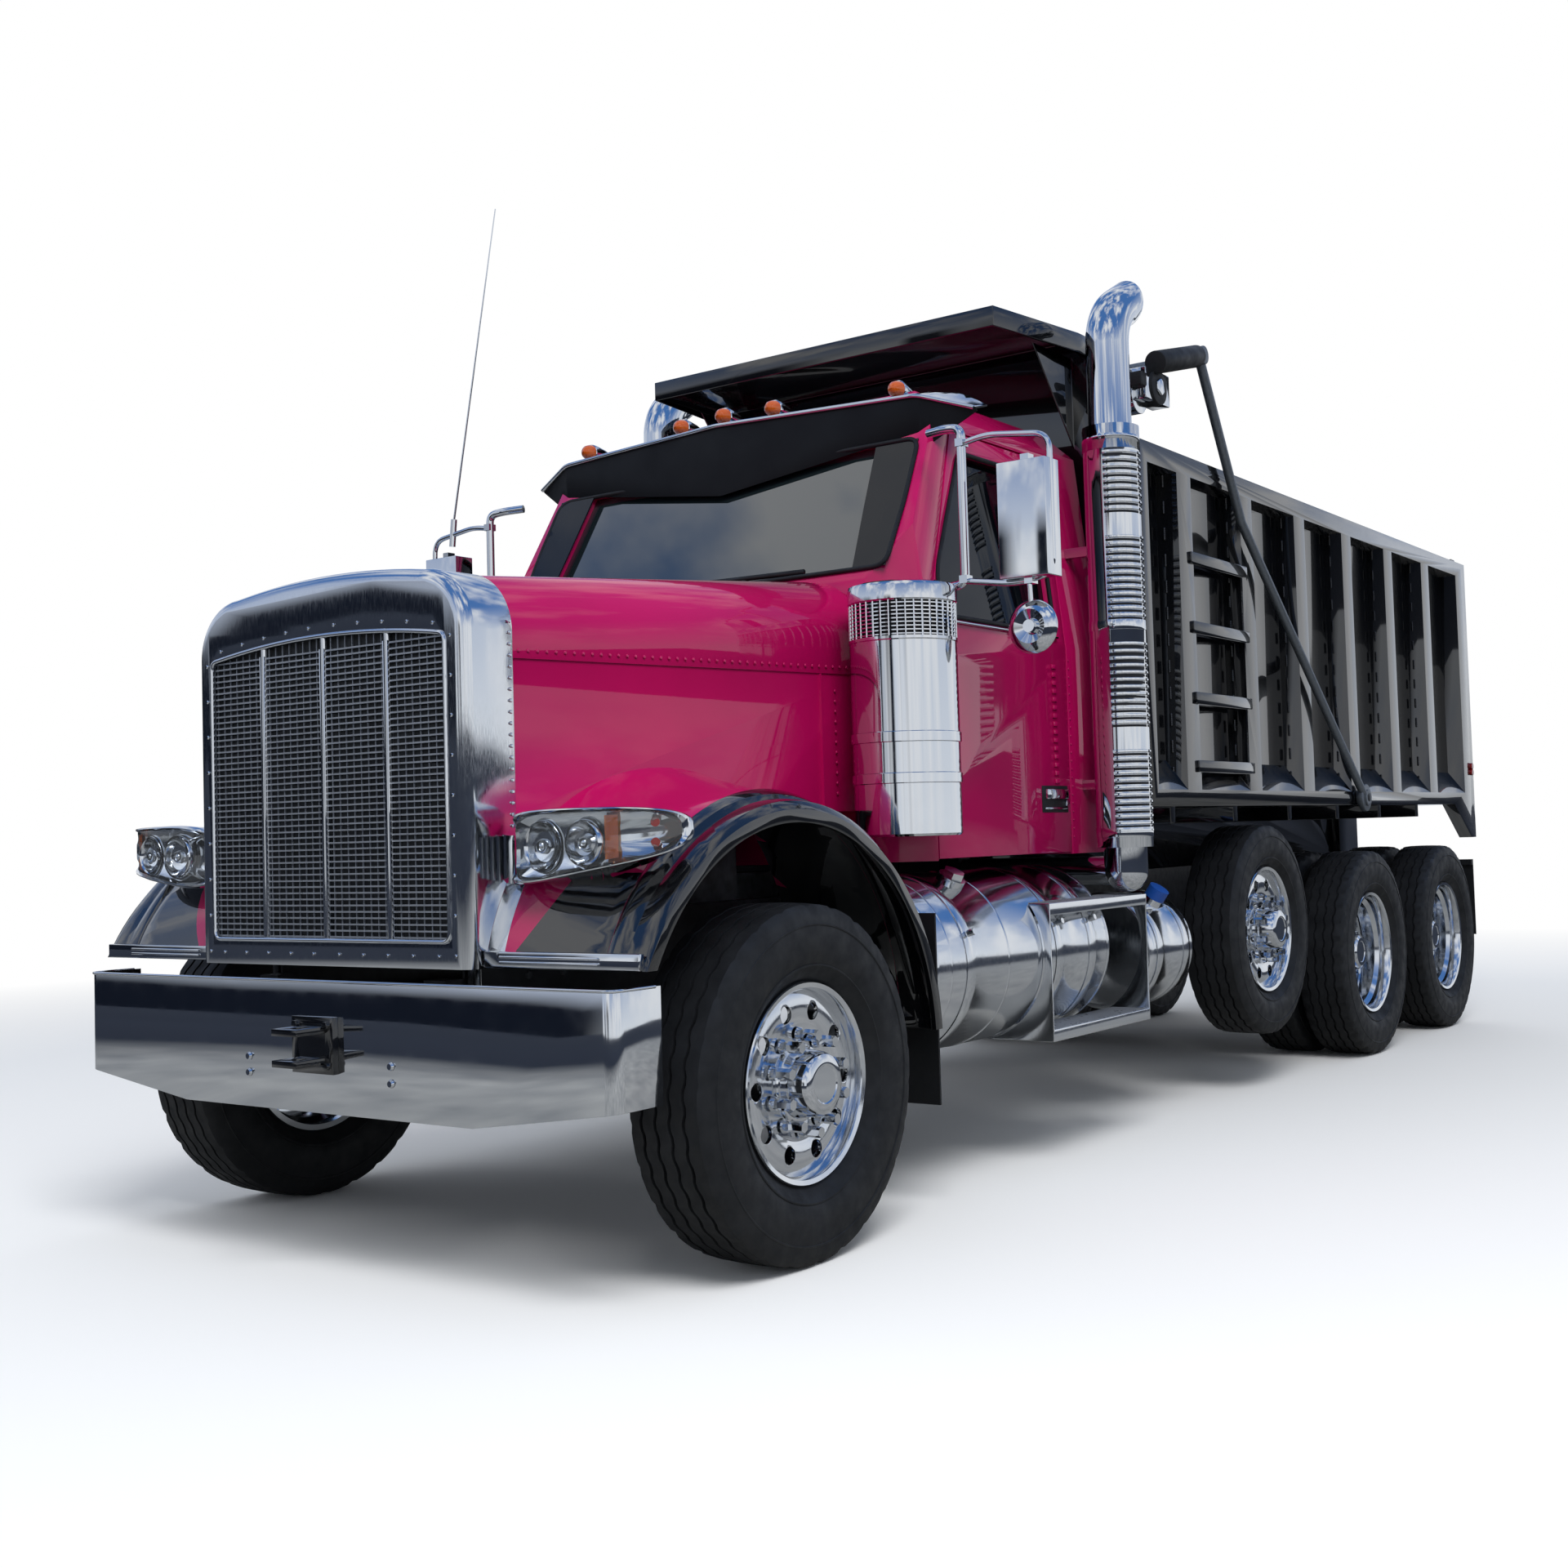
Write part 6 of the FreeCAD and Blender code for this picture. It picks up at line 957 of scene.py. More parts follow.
def make_hood():
    """The hood with its black inner arches and lower front, its rivets, seams and foot strips."""
    cherry, black = clear_coat_cherry(), gloss_black_enamel()
    hood = softened("hood", cherry, 5 * MM, 24)
    axle = at(0, -20, 580)
    nose_y = at(0, -430, 0).y

    def nose(centre):
        """True on the fenders' noses, below the lamps."""
        return abs(centre.x) > 0.634 and centre.y < nose_y and centre.z < 1.18

    def dark(centre, normal):
        """True inside the arches, on the lower front below the lamps, and behind the grille."""
        inward = Vector((0, axle.y - centre.y, axle.z - centre.z)).normalized()
        arch = abs(centre.x) > 0.64 and normal.dot(inward) > 0.35
        place = Vector((abs(centre.x), centre.y, centre.z))
        low = nose(centre) and NOSE_SLANT.dot(place - NOSE_PLACE) > 0
        return arch or low or abs(centre.x) < 0.63 and centre.z < 1.3
    for side, _ in SIDES:
        turned = Vector((side, 1, 1))
        for place, direction in ((NOSE_PLACE * turned, NOSE_SLANT * turned),
                                 (Vector((side * BRIGHT_X, 0, 0)), Vector((1, 0, 0)))):
            cut_faces(hood, place, direction, lambda c, n: nose(c) and c.x * side > 0)
    recoloured(hood, black, dark)
    recoloured(hood, polished_aluminium(), lambda c, n: nose(c) and abs(c.x) < BRIGHT_X)
    carried(hood, "hood", "red", "hood")
    dressed("fenders", "hood", "black", black, 4 * MM)
    rivets, seams, strips = [], bmesh.new(), bmesh.new()
    for side, _ in SIDES:
        out = (side, 0, 0)
        rivets += along(at(side * 634, -560, 1846), at(side * 851, 905, 1866), 44, out)
        rivets += along(at(side * 828, 780, 1420), at(side * 828, 780, 1780), 11, out)
        add_side_blocks(seams, side, (812, 821, 706, 711, 1352, 1838))
        add_side_blocks(strips, side, (636, 1222, -724, -700, 926, 972), (700, 1080, -731, -700, 938, 946),
                        (700, 1080, -731, -700, 953, 961))
    carried(fasteners("hood_rivets", rivets, sizes().rivet, 3 * MM, cherry, 16, 0.6), "hood", "red")
    carried(new_object("hood_seams", seams, cherry, smooth=False), "hood", "red")
    edged("foot_strips", strips, [bright_chrome()], 3 * MM, "hood", "chrome")


def make_crown():
    """The polished crown with its rivets and the bright lip round the grille."""
    alloy = polished_aluminium()
    dressed("crown", "hood", "chrome", alloy, 3 * MM)
    places, ahead = [], (0, -1, 0)
    for side, _ in SIDES:
        places += along(at(side * 631, -592, 960), at(side * 631, -592, 1930), 30, (side, 0, 0))
        places += along(at(side * 572, -771, 960), at(side * 572, -771, 1880), 9, ahead)
        places += along(at(side * 60, -771, 958), at(side * 500, -771, 958), 5, ahead)
        places += [(at(side * x, -771, 1958 - 42 * (x / 548) ** 2), ahead) for x in range(60, 501, 110)]
    carried(fasteners("crown_rivets", places, sizes().rivet, 4 * MM, bright_chrome(), 16, 0.6), "hood", "chrome")
    arch = [at(54.8 * k, -770, 1930 - 0.4 * k ** 2) for k in range(-10, 11)]
    ring = [at(0, -770, 1000), at(-548, -770, 1000)] + arch + [at(548, -770, 1000), at(0, -770, 1000)]
    tube("grille_lip", ring, 7 * MM, 30 * MM, alloy, "hood", "chrome")


def make_grille():
    """A woven mesh of fine slats over the dark insert, behind three bright bars."""
    chrome, pitch = bright_chrome(), sizes().mesh_pitch / MM
    insert = softened("grille", moulded_black(), 1 * MM)
    recoloured(insert, chrome, lambda c, n: c.y < at(0, -752, 0).y)
    carried(insert, "hood", "trim", "grille")
    bm = bmesh.new()
    for k in range(math.floor(1080 / (pitch * 1.75)) + 1):
        x = -540 + k * pitch * 1.75
        add_block(bm, at(x - 1.5, -755, 1004), at(x + 1.5, -748, 1884 + 40 * (1 - (x / 548) ** 2)))
    for k in range(math.ceil(878 / pitch)):
        z = 1010 + k * pitch
        add_block(bm, at(-545, -761, z - 2.5), at(545, -753, z + 2.5))
    carried(new_object("grille_mesh", bm, stainless_mesh(), smooth=False), "hood", "steel")
    bars = bmesh.new()
    for x in (-291, 0, 291):
        top = 1900 + 30 * (1 - (x / 548) ** 2)
        add_rod(bars, at(x, -760, 1003), at(x, -760, top), 12 * MM)
        add_rod(bars, at(x, -760, top), at(x, -756, top + 16), 12 * MM, end_radius=4 * MM)
    carried(shade(new_object("grille_bars", bars, chrome)), "hood", "chrome")


# The left headlamp pod's front line, seen from above, in millimetres.
POD_PLAN = ((704, -640), (734, -688), (800, -704), (1000, -704), (1125, -672), (1205, -606), (1236, -540))


def evenly(path, count):
    """The same line as points at equal distances."""
    reach = [0.0]
    for a, b in zip(path, path[1:]):
        reach.append(reach[-1] + (b - a).length)
    places, k = [], 0
    for i in range(count):
        wanted = reach[-1] * i / (count - 1)
        while k < len(path) - 2 and reach[k + 1] < wanted:
            k += 1
        places.append(path[k].lerp(path[k + 1], (wanted - reach[k]) / max(reach[k + 1] - reach[k], 1e-9)))
    return places


def pod_place(path, along_share, up_share, out):
    """A place on a pod's face: shares of its length and height, pushed outwards by a distance."""
    spot = along_share * (len(path) - 1)
    k = max(0, min(int(spot), len(path) - 2))
    step = path[k + 1] - path[k]
    place = path[k].lerp(path[k + 1], spot - k) + Vector((step.y, -step.x)).normalized() * out
    return at(*place, 1256 + 46 * along_share + up_share * (107 - 47 * along_share))


def pod_ring(path, size, out, steps=56):
    """The pod's rounded outline at a size, pushed outwards."""
    turns = [2 * math.pi * i / steps for i in range(steps)]
    shares = [[math.copysign(abs(s) ** 0.6, s) * size for s in (math.cos(a), math.sin(a))] for a in turns]
    return [pod_place(path, 0.5 + 0.5 * across, up, out) for across, up in shares]


def pod_skin(bm, path, layers, slot):
    """A skin through outlines of (size, out), filled to the middle."""
    rings = [[bm.verts.new(p) for p in pod_ring(path, size, out)] for size, out in layers]
    skin_between(bm, rings, slot, True)
    bm.faces.new(rings[0]).material_index = slot


def make_headlamps():
    """Headlamp pods: chrome housings with rounded rims, reflectors, two lamps, amber and red lamps, clear lens."""
    clear, housing, amber, bowl_slot, red = range(5)
    path = evenly(rounded_path([Vector(p) for p in POD_PLAN], 45), 48)
    bm = bmesh.new()
    pod_skin(bm, path, ((0.02, -26), (0.5, -26), (0.93, -20), (0.985, 0), (1.0, 4), (1.03, 10), (1.07, 9),
                        (1.1, 1), (1.11, -14), (1.08, -40)), housing)
    front, back = pod_ring(path, 1.08, -40), []
    for p in front:
        share = min(1, max(0, (p.x - 0.7) / 0.5))
        back.append(Vector((p.x * (1 - 0.04 * share), p.y + (210 - 190 * share) * MM, p.z - 0.02 * share)))
    skin_between(bm, [[bm.verts.new(p) for p in ring] for ring in (front, back)], housing, True)
    pod_skin(bm, path, ((0.02, 7), (0.5, 6), (0.9, 3), (0.995, 0)), clear)
    skin_between(bm, [[bm.verts.new(pod_place(path, share, up, -9)) for up in (-0.78, 0, 0.78)]
                      for share in (0.635, 0.66, 0.68, 0.7)], amber)
    for x, y, z, radius in ((852, -698, 1266, 66), (1006, -697, 1272, 58)):
        rim = [(radius + 7, 12), (radius + 6, 0), (radius + 2, -5), (radius - 2, -2)]
        bowl = [(radius - 2, -2), (radius * 0.82, 14), (radius * 0.5, 26), (radius * 0.34, 20),
                (radius * 0.3, 2), (radius * 0.2, -4), (0.5, -6)]
        add_turned(bm, rim, at(x, y, z), 40, housing, lying=True)
        add_turned(bm, bowl, at(x, y, z), 40, bowl_slot, lying=True)
    for up in (-0.42, 0.42):
        spot = pod_place(path, 0.87, up, -12)
        add_rod(bm, spot, spot + Vector((6, -8, 0)) * MM, 13 * MM, red)
    for k in range(5):
        foot = at(640 + 13 * k, -606 - 14 * k, 1162)
        add_rod(bm, foot, foot + Vector((0, 0, 0.138 - 0.004 * k)), 10 * MM, housing, 16)
    outward(bm)
    left = shade(new_object("headlamps_left", bm, clear_lens(), bright_chrome(), amber_lens(),
                            polished_aluminium(), red_lens()), 40)
    carried(mirror_copy(left, "headlamps_right"), "hood", "glass")
    carried(left, "hood", "glass", "headlamp_pods")


def make_mirrors():
    """Each door's mirror: boxed head, glass, bent tube frame, clamps, a round mirror below, and the whip."""
    chrome, y = bright_chrome(), 1085
    frames = (((1034, 1130, 2722), (1120, 1092, 2716), (1194, y, 2708), (1194, y, 2150), (1110, 1095, 2146),
               (1034, 1130, 2142)),
              ((1196, y, 2652), (1300, y, 2668), (1546, y, 2636), (1546, y, 2152), (1400, y, 2128),
               (1196, y, 2160)))
    disc = [(0.5, -18), (22, -18), (24, -4), (60, -14), (86, -2), (95, 12), (95, 20), (88, 26), (0.5, 42)]
    for side, word in SIDES:
        door = f"door_{word}"
        head, trim = bmesh.new(), bmesh.new()
        add_side_blocks(head, side, (1362, 1552, 1035, 1135, 2142, 2548), (1372, 1542, 1133, 1138, 2152, 2538, 1))
        edged(f"mirror_head_{word}", head, [chrome, mirror_glass()], 22 * MM, door, "chrome", f"mirror_{word}",
              segments=4)
        for k, radius in enumerate((17, 11)):
            line = [at(side * a, b, c) for a, b, c in frames[k]]
            tube(f"mirror_frame_{word}_{k}", line, radius * MM, 60 * MM, chrome, door, "chrome")
        if side < 0:
            add_rod(trim, at(-1434, y, 2600), at(-1420, y, 2720), 14 * MM, sides=20)
            add_rod(trim, at(-1424, y, 2700), at(-1120, y, 4046), 5 * MM, sides=12, end_radius=2.5 * MM)
        add_turned(trim, disc, at(side * 1450, y, 1975), 56, lying=True)
        add_rod(trim, at(side * 1450, y, 2130), at(side * 1450, y + 6, 2060), 9 * MM, sides=16)
        for x, z in ((1457, 2560), (1196, 2655), (1196, 2165), (1457, 2136)):
            add_block(trim, at(side * x - 16, y - 20, z - 14), at(side * x + 16, y + 20, z + 14))
        turned_piece(f"round_mirror_{word}", trim, [chrome], door, "chrome")


def make_cleaners():
    """Air cleaners: faceted rain cap, slotted intake band, canister, band clamps and brackets."""
    bm = bmesh.new()
    x, y = 1075, 850
    cap = [(60, 2126), (172, 2130), (188, 2124), (192, 2112), (192, 2066), (186, 2060), (150, 2058)]
    canister = [(60, 1262), (180, 1262), (187, 1270), (187, 1926), (190, 1930), (190, 1940), (178, 1942)]
    wires = [[(177, z), (186, z), (186, z + 4), (177, z + 4)] for z in (1944 + k * 13.2 for k in range(9))]
    bands = [[(186, z), (192, z + 3), (192, z + 35), (186, z + 38)] for z in (1440, 1580)]
    for side, _ in SIDES:
        middle = at(side * x, y, 0)
        add_turned(bm, cap, middle, 24)
        # Painted shade: a black sleeve behind the screen's rings and posts stands in for the dark inside of the
        # intake.
        add_turned(bm, [(176, 2062), (176, 1936)], middle, 64, 1)
        for ring in wires:
            add_turned(bm, ring, middle, 64)
        for k in range(40):
            a = 2 * math.pi * k / 40
            foot = at(side * x + 184 * math.cos(a), y + 184 * math.sin(a), 1936)
            add_rod(bm, foot, foot + Vector((0, 0, 0.126)), 4 * MM, sides=6)
        for ring in (canister, *bands):
            add_turned(bm, ring, middle, 72)
        add_side_blocks(bm, side, (745, x, y + 96, 959, 1454, 1646, 2))
    turned_piece("air_cleaners_finish", bm, [bright_chrome(), moulded_black(), clear_coat_cherry()],
                 "chassis", "chrome", "air_cleaners", angle=25)


def make_stacks():
    """Exhaust stacks: the CAD pipes, with rows of louvres on their guards and a grab rail behind."""
    chrome = bright_chrome()
    pipes = softened("exhaust_stacks", chrome, 1 * MM)
    for vert in pipes.data.vertices:
        middle = at(math.copysign(1210, vert.co.x), 2260, 0)
        if 2.92 < vert.co.z < 2.98 and (vert.co.xy - middle.xy).length > 0.085:
            vert.co.z -= 0.14
        elif vert.co.z > 3.05:
            vert.co.z -= 0.075
    carried(pipes, "chassis", "chrome", "exhaust_stacks")
    heights = [z for z in range(1250, 2795, 29) if (z - 1250) % 435 < 340]
    for side, word in SIDES:
        bm = bmesh.new()
        for z in heights:
            lip = [(114.6, z), (119, z + 5), (119, z + 12), (114.6, z + 14)]
            # Painted shade: a black strip under each louvre's lip stands in for the dark gap of its slot.
            slit_shade = [(115.6, z - 11), (115.6, z - 1)]
            for start in (-82, 4) if side > 0 else (182, 96):
                for profile, slot in ((lip, 0), (slit_shade, 1)):
                    add_turned(bm, profile, at(side * 1210, 2260, 0), 16, slot, arc=(start, start + 80))
        louvres = new_object(f"stack_louvres_{word}", bm, chrome, moulded_black())
        carried(shade(louvres), "chassis", "chrome")
        rail = [at(side * 1140, a, b) for a, b in ((2370, 2420), (2640, 2440), (2640, 1570), (2370, 1550))]
        tube(f"grab_rail_{word}", rail, 15 * MM, 60 * MM, stainless_mesh(), "chassis", "steel")


def make_tanks():
    """Polished fuel tanks and the small blue-capped tank, with straps, seams, filler caps and treaded steps."""
    alloy = polished_aluminium()
    dressed("side_tanks", "chassis", "alloy", alloy, 3 * MM)
    dressed("side_steps", "chassis", "alloy", alloy, 2 * MM)
    seam = [(324.5, 0), (327, 4), (327, 8), (324.5, 12)]
    bm, treads, bolts = bmesh.new(), bmesh.new(), []
    for side, _ in SIDES:
        for y in (905, 1010, 1300, 1660, 2090):
            add_turned(bm, seam, at(side * 870, y, 802), 96, lying=True)
        add_rod(bm, at(side * 1010, 1180, 1060), at(side * 1042, 1180, 1112), 52 * MM, sides=28)
        add_rod(bm, at(side * 1036, 1180, 1102), at(side * 1052, 1180, 1132), 42 * MM, sides=6)
        bolts += [(at(side * 1183.96, y, 915.56), (side, 0, 0.3)) for y in (1035, 1690, 1960)]
        add_side_blocks(treads, side, *((1070, 1222, y, y + 5, z - 1, z + 3) for z in (525, 995)
                                        for y in (1575 + k * 15.5 for k in range(52))))
    add_rod(bm, at(1060, 2835, 960), at(1088, 2835, 1000), 46 * MM, 1, 28)
    turned_piece("tank_trim", bm, [alloy, blue_cap()], "chassis", "alloy")
    carried(fasteners("strap_bolts", bolts, 12 * MM, 30 * MM, bright_chrome(), taper=1.0), "chassis", "chrome")
    carried(new_object("step_treads", treads, stainless_mesh(), smooth=False), "chassis", "alloy")


def make_bed():
    """The tipping body with its tailgate, hoist, ladder treads and welds."""
    black = gloss_black_enamel()
    for node in ("bed_floor", "bed_sides", "bed_front"):
        dressed(node, "bed", "black", black, 5 * MM)
    dressed("tailgate", "tailgate", "black", black, 5 * MM)
    paint_nodes(chassis_paint(), "hoist_barrel")
    paint_nodes(hard_chrome_rod(), *(f"hoist_stage_{i}" for i in (1, 2, 3)))
    plates = bmesh.new()
    for z in (1504, 1809, 2126, 2437):
        add_block(plates, at(1206, 3012, z + 2), at(1222, 3660, z + 54))
        add_block(plates, at(1160, 3060, z + 44), at(1214, 3618, z + 54))
    edged("ladder_treads", plates, [black], 4 * MM, "bed", "black")
    # Stitch welds: six beads at a time, in rows down both edges of every post.
    beads = [(at(side * 1142, 2906 + 716 * post + edge, 1480 + 118 * row + 9 * bead), (0, way, 0))
             for side, _ in SIDES for post in range(6) for edge, way in ((-3, -1), (153, 1))
             for row in range(12) for bead in range(6)]
    carried(fasteners("post_welds", beads, 7 * MM, 6 * MM, black, 8, 0.5), "bed", "black")


def make_tail_lamps():
    """Round red lamps on the corner posts' rear faces and small ones on their sides."""
    bm = bmesh.new()
    rim, lens = [(52, 0), (52, 8), (46, 10)], [(46, 6), (40, 14), (20, 19), (0.5, 20)]
    for side, _ in SIDES:
        for z in (1500, 1640):
            for slot, profile in enumerate((rim, lens)):
                add_turned(bm, profile, at(side * 1156, 7441, z), 32, slot, lying=True)
        for z in (1560, 1600):
            add_rod(bm, at(side * 1209, 7390, z), at(side * 1222, 7390, z), 20 * MM, 1)
    turned_piece("tail_lamps", bm, [moulded_black(), red_lens()], "bed", "glass")


def make_tarp_gear():
    """The tarp's roller and arms, its motors, the sleeves on the arms, and the arms' pivot plates."""
    chrome, steel, rubber = bright_chrome(), galvanised_steel(), moulded_black()
    dressed("tarp_roller", "bed", "alloy", polished_aluminium(), 2 * MM)
    dressed("tarp_arms", "tarp_frame", "steel", steel, 3 * MM)
    for side, word in SIDES:
        gear, sleeve = bmesh.new(), bmesh.new()
        add_side_blocks(gear, side, (1140, 1228, 2590, 2830, 3100, 3240),
                        (1140, 1228, 2540, 2600, 3150, 3210, 1))
        for x0, x1, y, z, radius, slot, sides in (
                (1170, 1240, 2700, 3165, 78, 1, 32), (1236, 1250, 2700, 3165, 40, 0, 6),
                (1232, 1262, 5143, 1392, 74, 2, 32), (1256, 1274, 5143, 1392, 26, 1, 6)):
            add_rod(gear, at(side * x0, y, z), at(side * x1, y, z), radius * MM, slot, sides)
        edged(f"tarp_motor_{word}", gear, [chrome, rubber, steel], 6 * MM, "bed", "chrome")
        add_rod(sleeve, at(side * 1250, 2640, 3258), at(side * 1250, 3080, 3378), 50 * MM, 1, 28)
        add_rod(sleeve, at(side * 1218, 3112, 3386), at(side * 1282, 3112, 3386), 42 * MM, 0, 28)
        edged(f"tarp_sleeve_{word}", sleeve, [steel, rubber], 5 * MM, "tarp_frame", "trim")


def make_chassis():
    """Frame with its bolts, axles, springs, flaps, engine and radiator."""
    paint_nodes(chassis_paint(), "frame", "front_axle", "tandem_axles", "pusher_axle", "hoist_base",
                "knuckle_left", "knuckle_right", "tie_rod")
    paint_nodes(moulded_black(), "radiator", "mud_flaps")
    paint_nodes(cast_iron(), "engine_block")
    bolts = [(at(side * 428, y, z), (side, 0, 0)) for side, _ in SIDES
             for y in (-350, -200, 1200, 1500, 1800, 2100, 2400, 3000, 3500, 5200, 6200, 7000)
             for z in (800, 870, 940)]
    carried(fasteners("frame_bolts", bolts, 14 * MM, 11 * MM, cast_iron()), "chassis", "frame_paint")


# Each lamp's name, place in metres, size in metres and power in watts.
LAMPS = (("key", (7, -8, 11), 6, 1250), ("fill", (-10, -8, 6), 8, 140), ("back", (-2, 12, 9), 7, 260))
FLOOR_REACH = 60
SKY_LIGHT = 0.55

# The camera that the photograph was matched to: its place, turns, and lens in the photograph's pixels.
PHOTO_PX = 1920
CAMERA_PLACE = (4.332, -7.483, 1.270)
CAMERA_TURN, CAMERA_DIP, CAMERA_ROLL = (math.radians(a) for a in (35.062, -2.508, -1.721))
FOCAL_PX = 2125.47
CENTRE_PX = (1027.79, 930.55)


def make_stage():
    """Pale floor, soft lamps, a sky for reflections, and the camera."""
    bm = bmesh.new()
    corners = ((-1, -1), (1, -1), (1, 1), (-1, 1))
    bm.faces.new([bm.verts.new((x * FLOOR_REACH, y * FLOOR_REACH, 0)) for x, y in corners])
    new_object("studio_floor", bm, floor_finish())
    make_sky()
    middle = sum(CAD_BOX, Vector()) / 2
    for name, place, size, power in LAMPS:
        lamp = bpy.data.lights.new(f"{name}_lamp", "AREA")
        lamp.shape, lamp.size, lamp.energy = "SQUARE", size, power
        holder = placed(f"{name}_lamp", lamp)
        holder.location = place
        holder.visible_glossy = False
        holder.rotation_euler = (middle - Vector(place)).to_track_quat("-Z", "Y").to_euler()
    make_camera()


def floor_finish():
    """Painted studio floor: white to the camera; in metal, pale concrete with a dark far edge."""
    material = bpy.data.materials.new("pale_studio_floor")
    material.use_nodes = True
    tree = material.node_tree
    shader = tree.nodes["Principled BSDF"]
    shader.inputs["Roughness"].default_value = 0.9
    seen = add_node(tree, "ShaderNodeLightPath").outputs["Is Camera Ray"]
    place = add_node(tree, "ShaderNodeTexCoord").outputs["Object"]
    reach = add_node(tree, "ShaderNodeVectorMath", {"operation": "LENGTH"}, {0: place}).outputs["Value"]
    concrete = tinted(tree, ranged(tree, lumps(0.4, 5.0)(tree, place), 0.3, 0.7), linear("#939494"),
                      linear("#B9B8B4"))
    mirrored = tinted(tree, ranged(tree, reach, 5.9, 7.6), concrete, linear("#1B202B"))
    tree.links.new(tinted(tree, seen, mirrored, colours().floor), shader.inputs["Base Color"])
    white = add_node(tree, "ShaderNodeEmission", inputs={"Color": (1, 1, 1, 1), "Strength": 1.0})
    # Far off, the floor fades into the white background.
    share = add_node(tree, "ShaderNodeMath", {"operation": "MULTIPLY"}, {
        0: ranged(tree, reach, 6.5, 13.0), 1: seen})
    mixed = add_node(tree, "ShaderNodeMixShader", inputs={
        0: share.outputs[0], 1: shader.outputs[0], 2: white.outputs[0]})
    tree.links.new(mixed.outputs[0], tree.nodes["Material Output"].inputs["Surface"])
    return material


def make_sky():
    """White background and soft skylight; what metal reflects is a blue sky with clouds over dark surroundings."""
    world = bpy.data.worlds.new("studio_sky")
    bpy.context.scene.world = world
    world.use_nodes = True
    tree = world.node_tree
    tree.nodes.clear()

    def maths(operation, *values, clamp=False):
        """One Math node's result."""
        return add_node(tree, "ShaderNodeMath", {"operation": operation, "use_clamp": clamp},
                        dict(enumerate(values))).outputs[0]

    def vector_maths(operation, vector, result):
        """The sky's direction multiplied by a vector, or measured along it."""
        return add_node(tree, "ShaderNodeVectorMath", {"operation": operation}, {
            0: direction, 1: vector}).outputs[result]

    def clouds_of(vector, scale, **settings):
        """Noise over the sky."""
        return add_node(tree, "ShaderNodeTexNoise", inputs={
            "Vector": vector, "Scale": scale, **settings}).outputs["Fac"]
    ray = add_node(tree, "ShaderNodeLightPath").outputs
    direction = add_node(tree, "ShaderNodeTexCoord").outputs["Generated"]
    height = add_node(tree, "ShaderNodeSeparateXYZ", inputs={"Vector": direction}).outputs["Z"]
    clouds = clouds_of(direction, 3.2, Detail=6.0, Roughness=0.55)
    masses = clouds_of(vector_maths("MULTIPLY", (1.0, 1.0, 0.12), 0), 3.6, Detail=1.0)
    blue = tinted(tree, maths("MULTIPLY", height, 1.8, clamp=True), linear("#EEF3F9"), linear("#4F7DBD"))
    sky = tinted(tree, ranged(tree, clouds, 0.46, 0.62), blue, linear("#F6F8FB"))
    # Dark surroundings stand low in the sky: a mass far to the right, and tall streaks over that half.
    ahead = vector_maths("DOT_PRODUCT", (-0.97, -0.24, 0.0), "Value")
    streaks = maths("MULTIPLY", ranged(tree, masses, 0.50, 0.60), ranged(tree, ahead, -0.45, -0.25))
    low = ranged(tree, maths("MULTIPLY_ADD", clouds, -0.12, height), 0.16, 0.06)
    dark = maths("MULTIPLY", low, maths("MAXIMUM", ranged(tree, ahead, 0.70, 0.80), streaks))
    scenery = tinted(tree, dark, sky, linear("#161B26"))
    shown = tinted(tree, ray["Is Glossy Ray"], (1, 1, 1), scenery)
    backdrop = add_node(tree, "ShaderNodeBackground", inputs={"Color": shown, "Strength": 1.0})
    light = add_node(tree, "ShaderNodeBackground", inputs={
        "Color": (*linear("#E9F0FA"), 1), "Strength": SKY_LIGHT})
    looks = maths("ADD", ray["Is Camera Ray"], ray["Is Glossy Ray"])
    either = maths("ADD", looks, ray["Is Transmission Ray"], clamp=True)
    mixed = add_node(tree, "ShaderNodeMixShader", inputs={0: either, 1: light.outputs[0], 2: backdrop.outputs[0]})
    add_node(tree, "ShaderNodeOutputWorld", inputs={"Surface": mixed.outputs[0]})


def make_camera():
    """The camera at the photograph's viewing angle."""
    data = bpy.data.cameras.new("camera")
    data.sensor_width = 36
    data.lens = FOCAL_PX / PHOTO_PX * data.sensor_width
    data.shift_x = (PHOTO_PX / 2 - CENTRE_PX[0]) / PHOTO_PX
    data.shift_y = (CENTRE_PX[1] - PHOTO_PX / 2) / PHOTO_PX
    a, e, r = CAMERA_TURN, CAMERA_DIP, CAMERA_ROLL
    ahead = Vector((-math.sin(a) * math.cos(e), math.cos(a) * math.cos(e), -math.sin(e)))
    right = ahead.cross(Vector((0, 0, 1))).normalized()
    up = right.cross(ahead)
    right, up = (right * math.cos(r) + up * math.sin(r), -right * math.sin(r) + up * math.cos(r))
    camera = placed("camera", data)
    camera.rotation_mode = "QUATERNION"
    camera.rotation_quaternion = Matrix((right, up, -ahead)).transposed().to_quaternion()
    camera.location = CAMERA_PLACE
    bpy.context.scene.camera = camera


class TRUCK_OT_stage(bpy.types.Operator):
    """Make the floor, lamps, sky and camera."""

    bl_idname = "truck.stage"
    bl_label = "Studio"

    def execute(self, context):
        make_stage()
        return {"FINISHED"}


class TRUCK_OT_tyres(bpy.types.Operator):
    """Make the treaded tyres."""

    bl_idname = "truck.tyres"
    bl_label = "Tyres"

    def execute(self, context):
        make_tyres()
        return {"FINISHED"}


class TRUCK_OT_wheels(bpy.types.Operator):
    """Make the polished wheels with their hub and nut covers."""

    bl_idname = "truck.wheels"
    bl_label = "Wheels"

    def execute(self, context):
        make_wheels()
        return {"FINISHED"}


class TRUCK_OT_cab(bpy.types.Operator):
    """Make the cab shell, its rivets and its interior."""

    bl_idname = "truck.cab"
    bl_label = "Cab"

    def execute(self, context):
        make_cab()
        return {"FINISHED"}


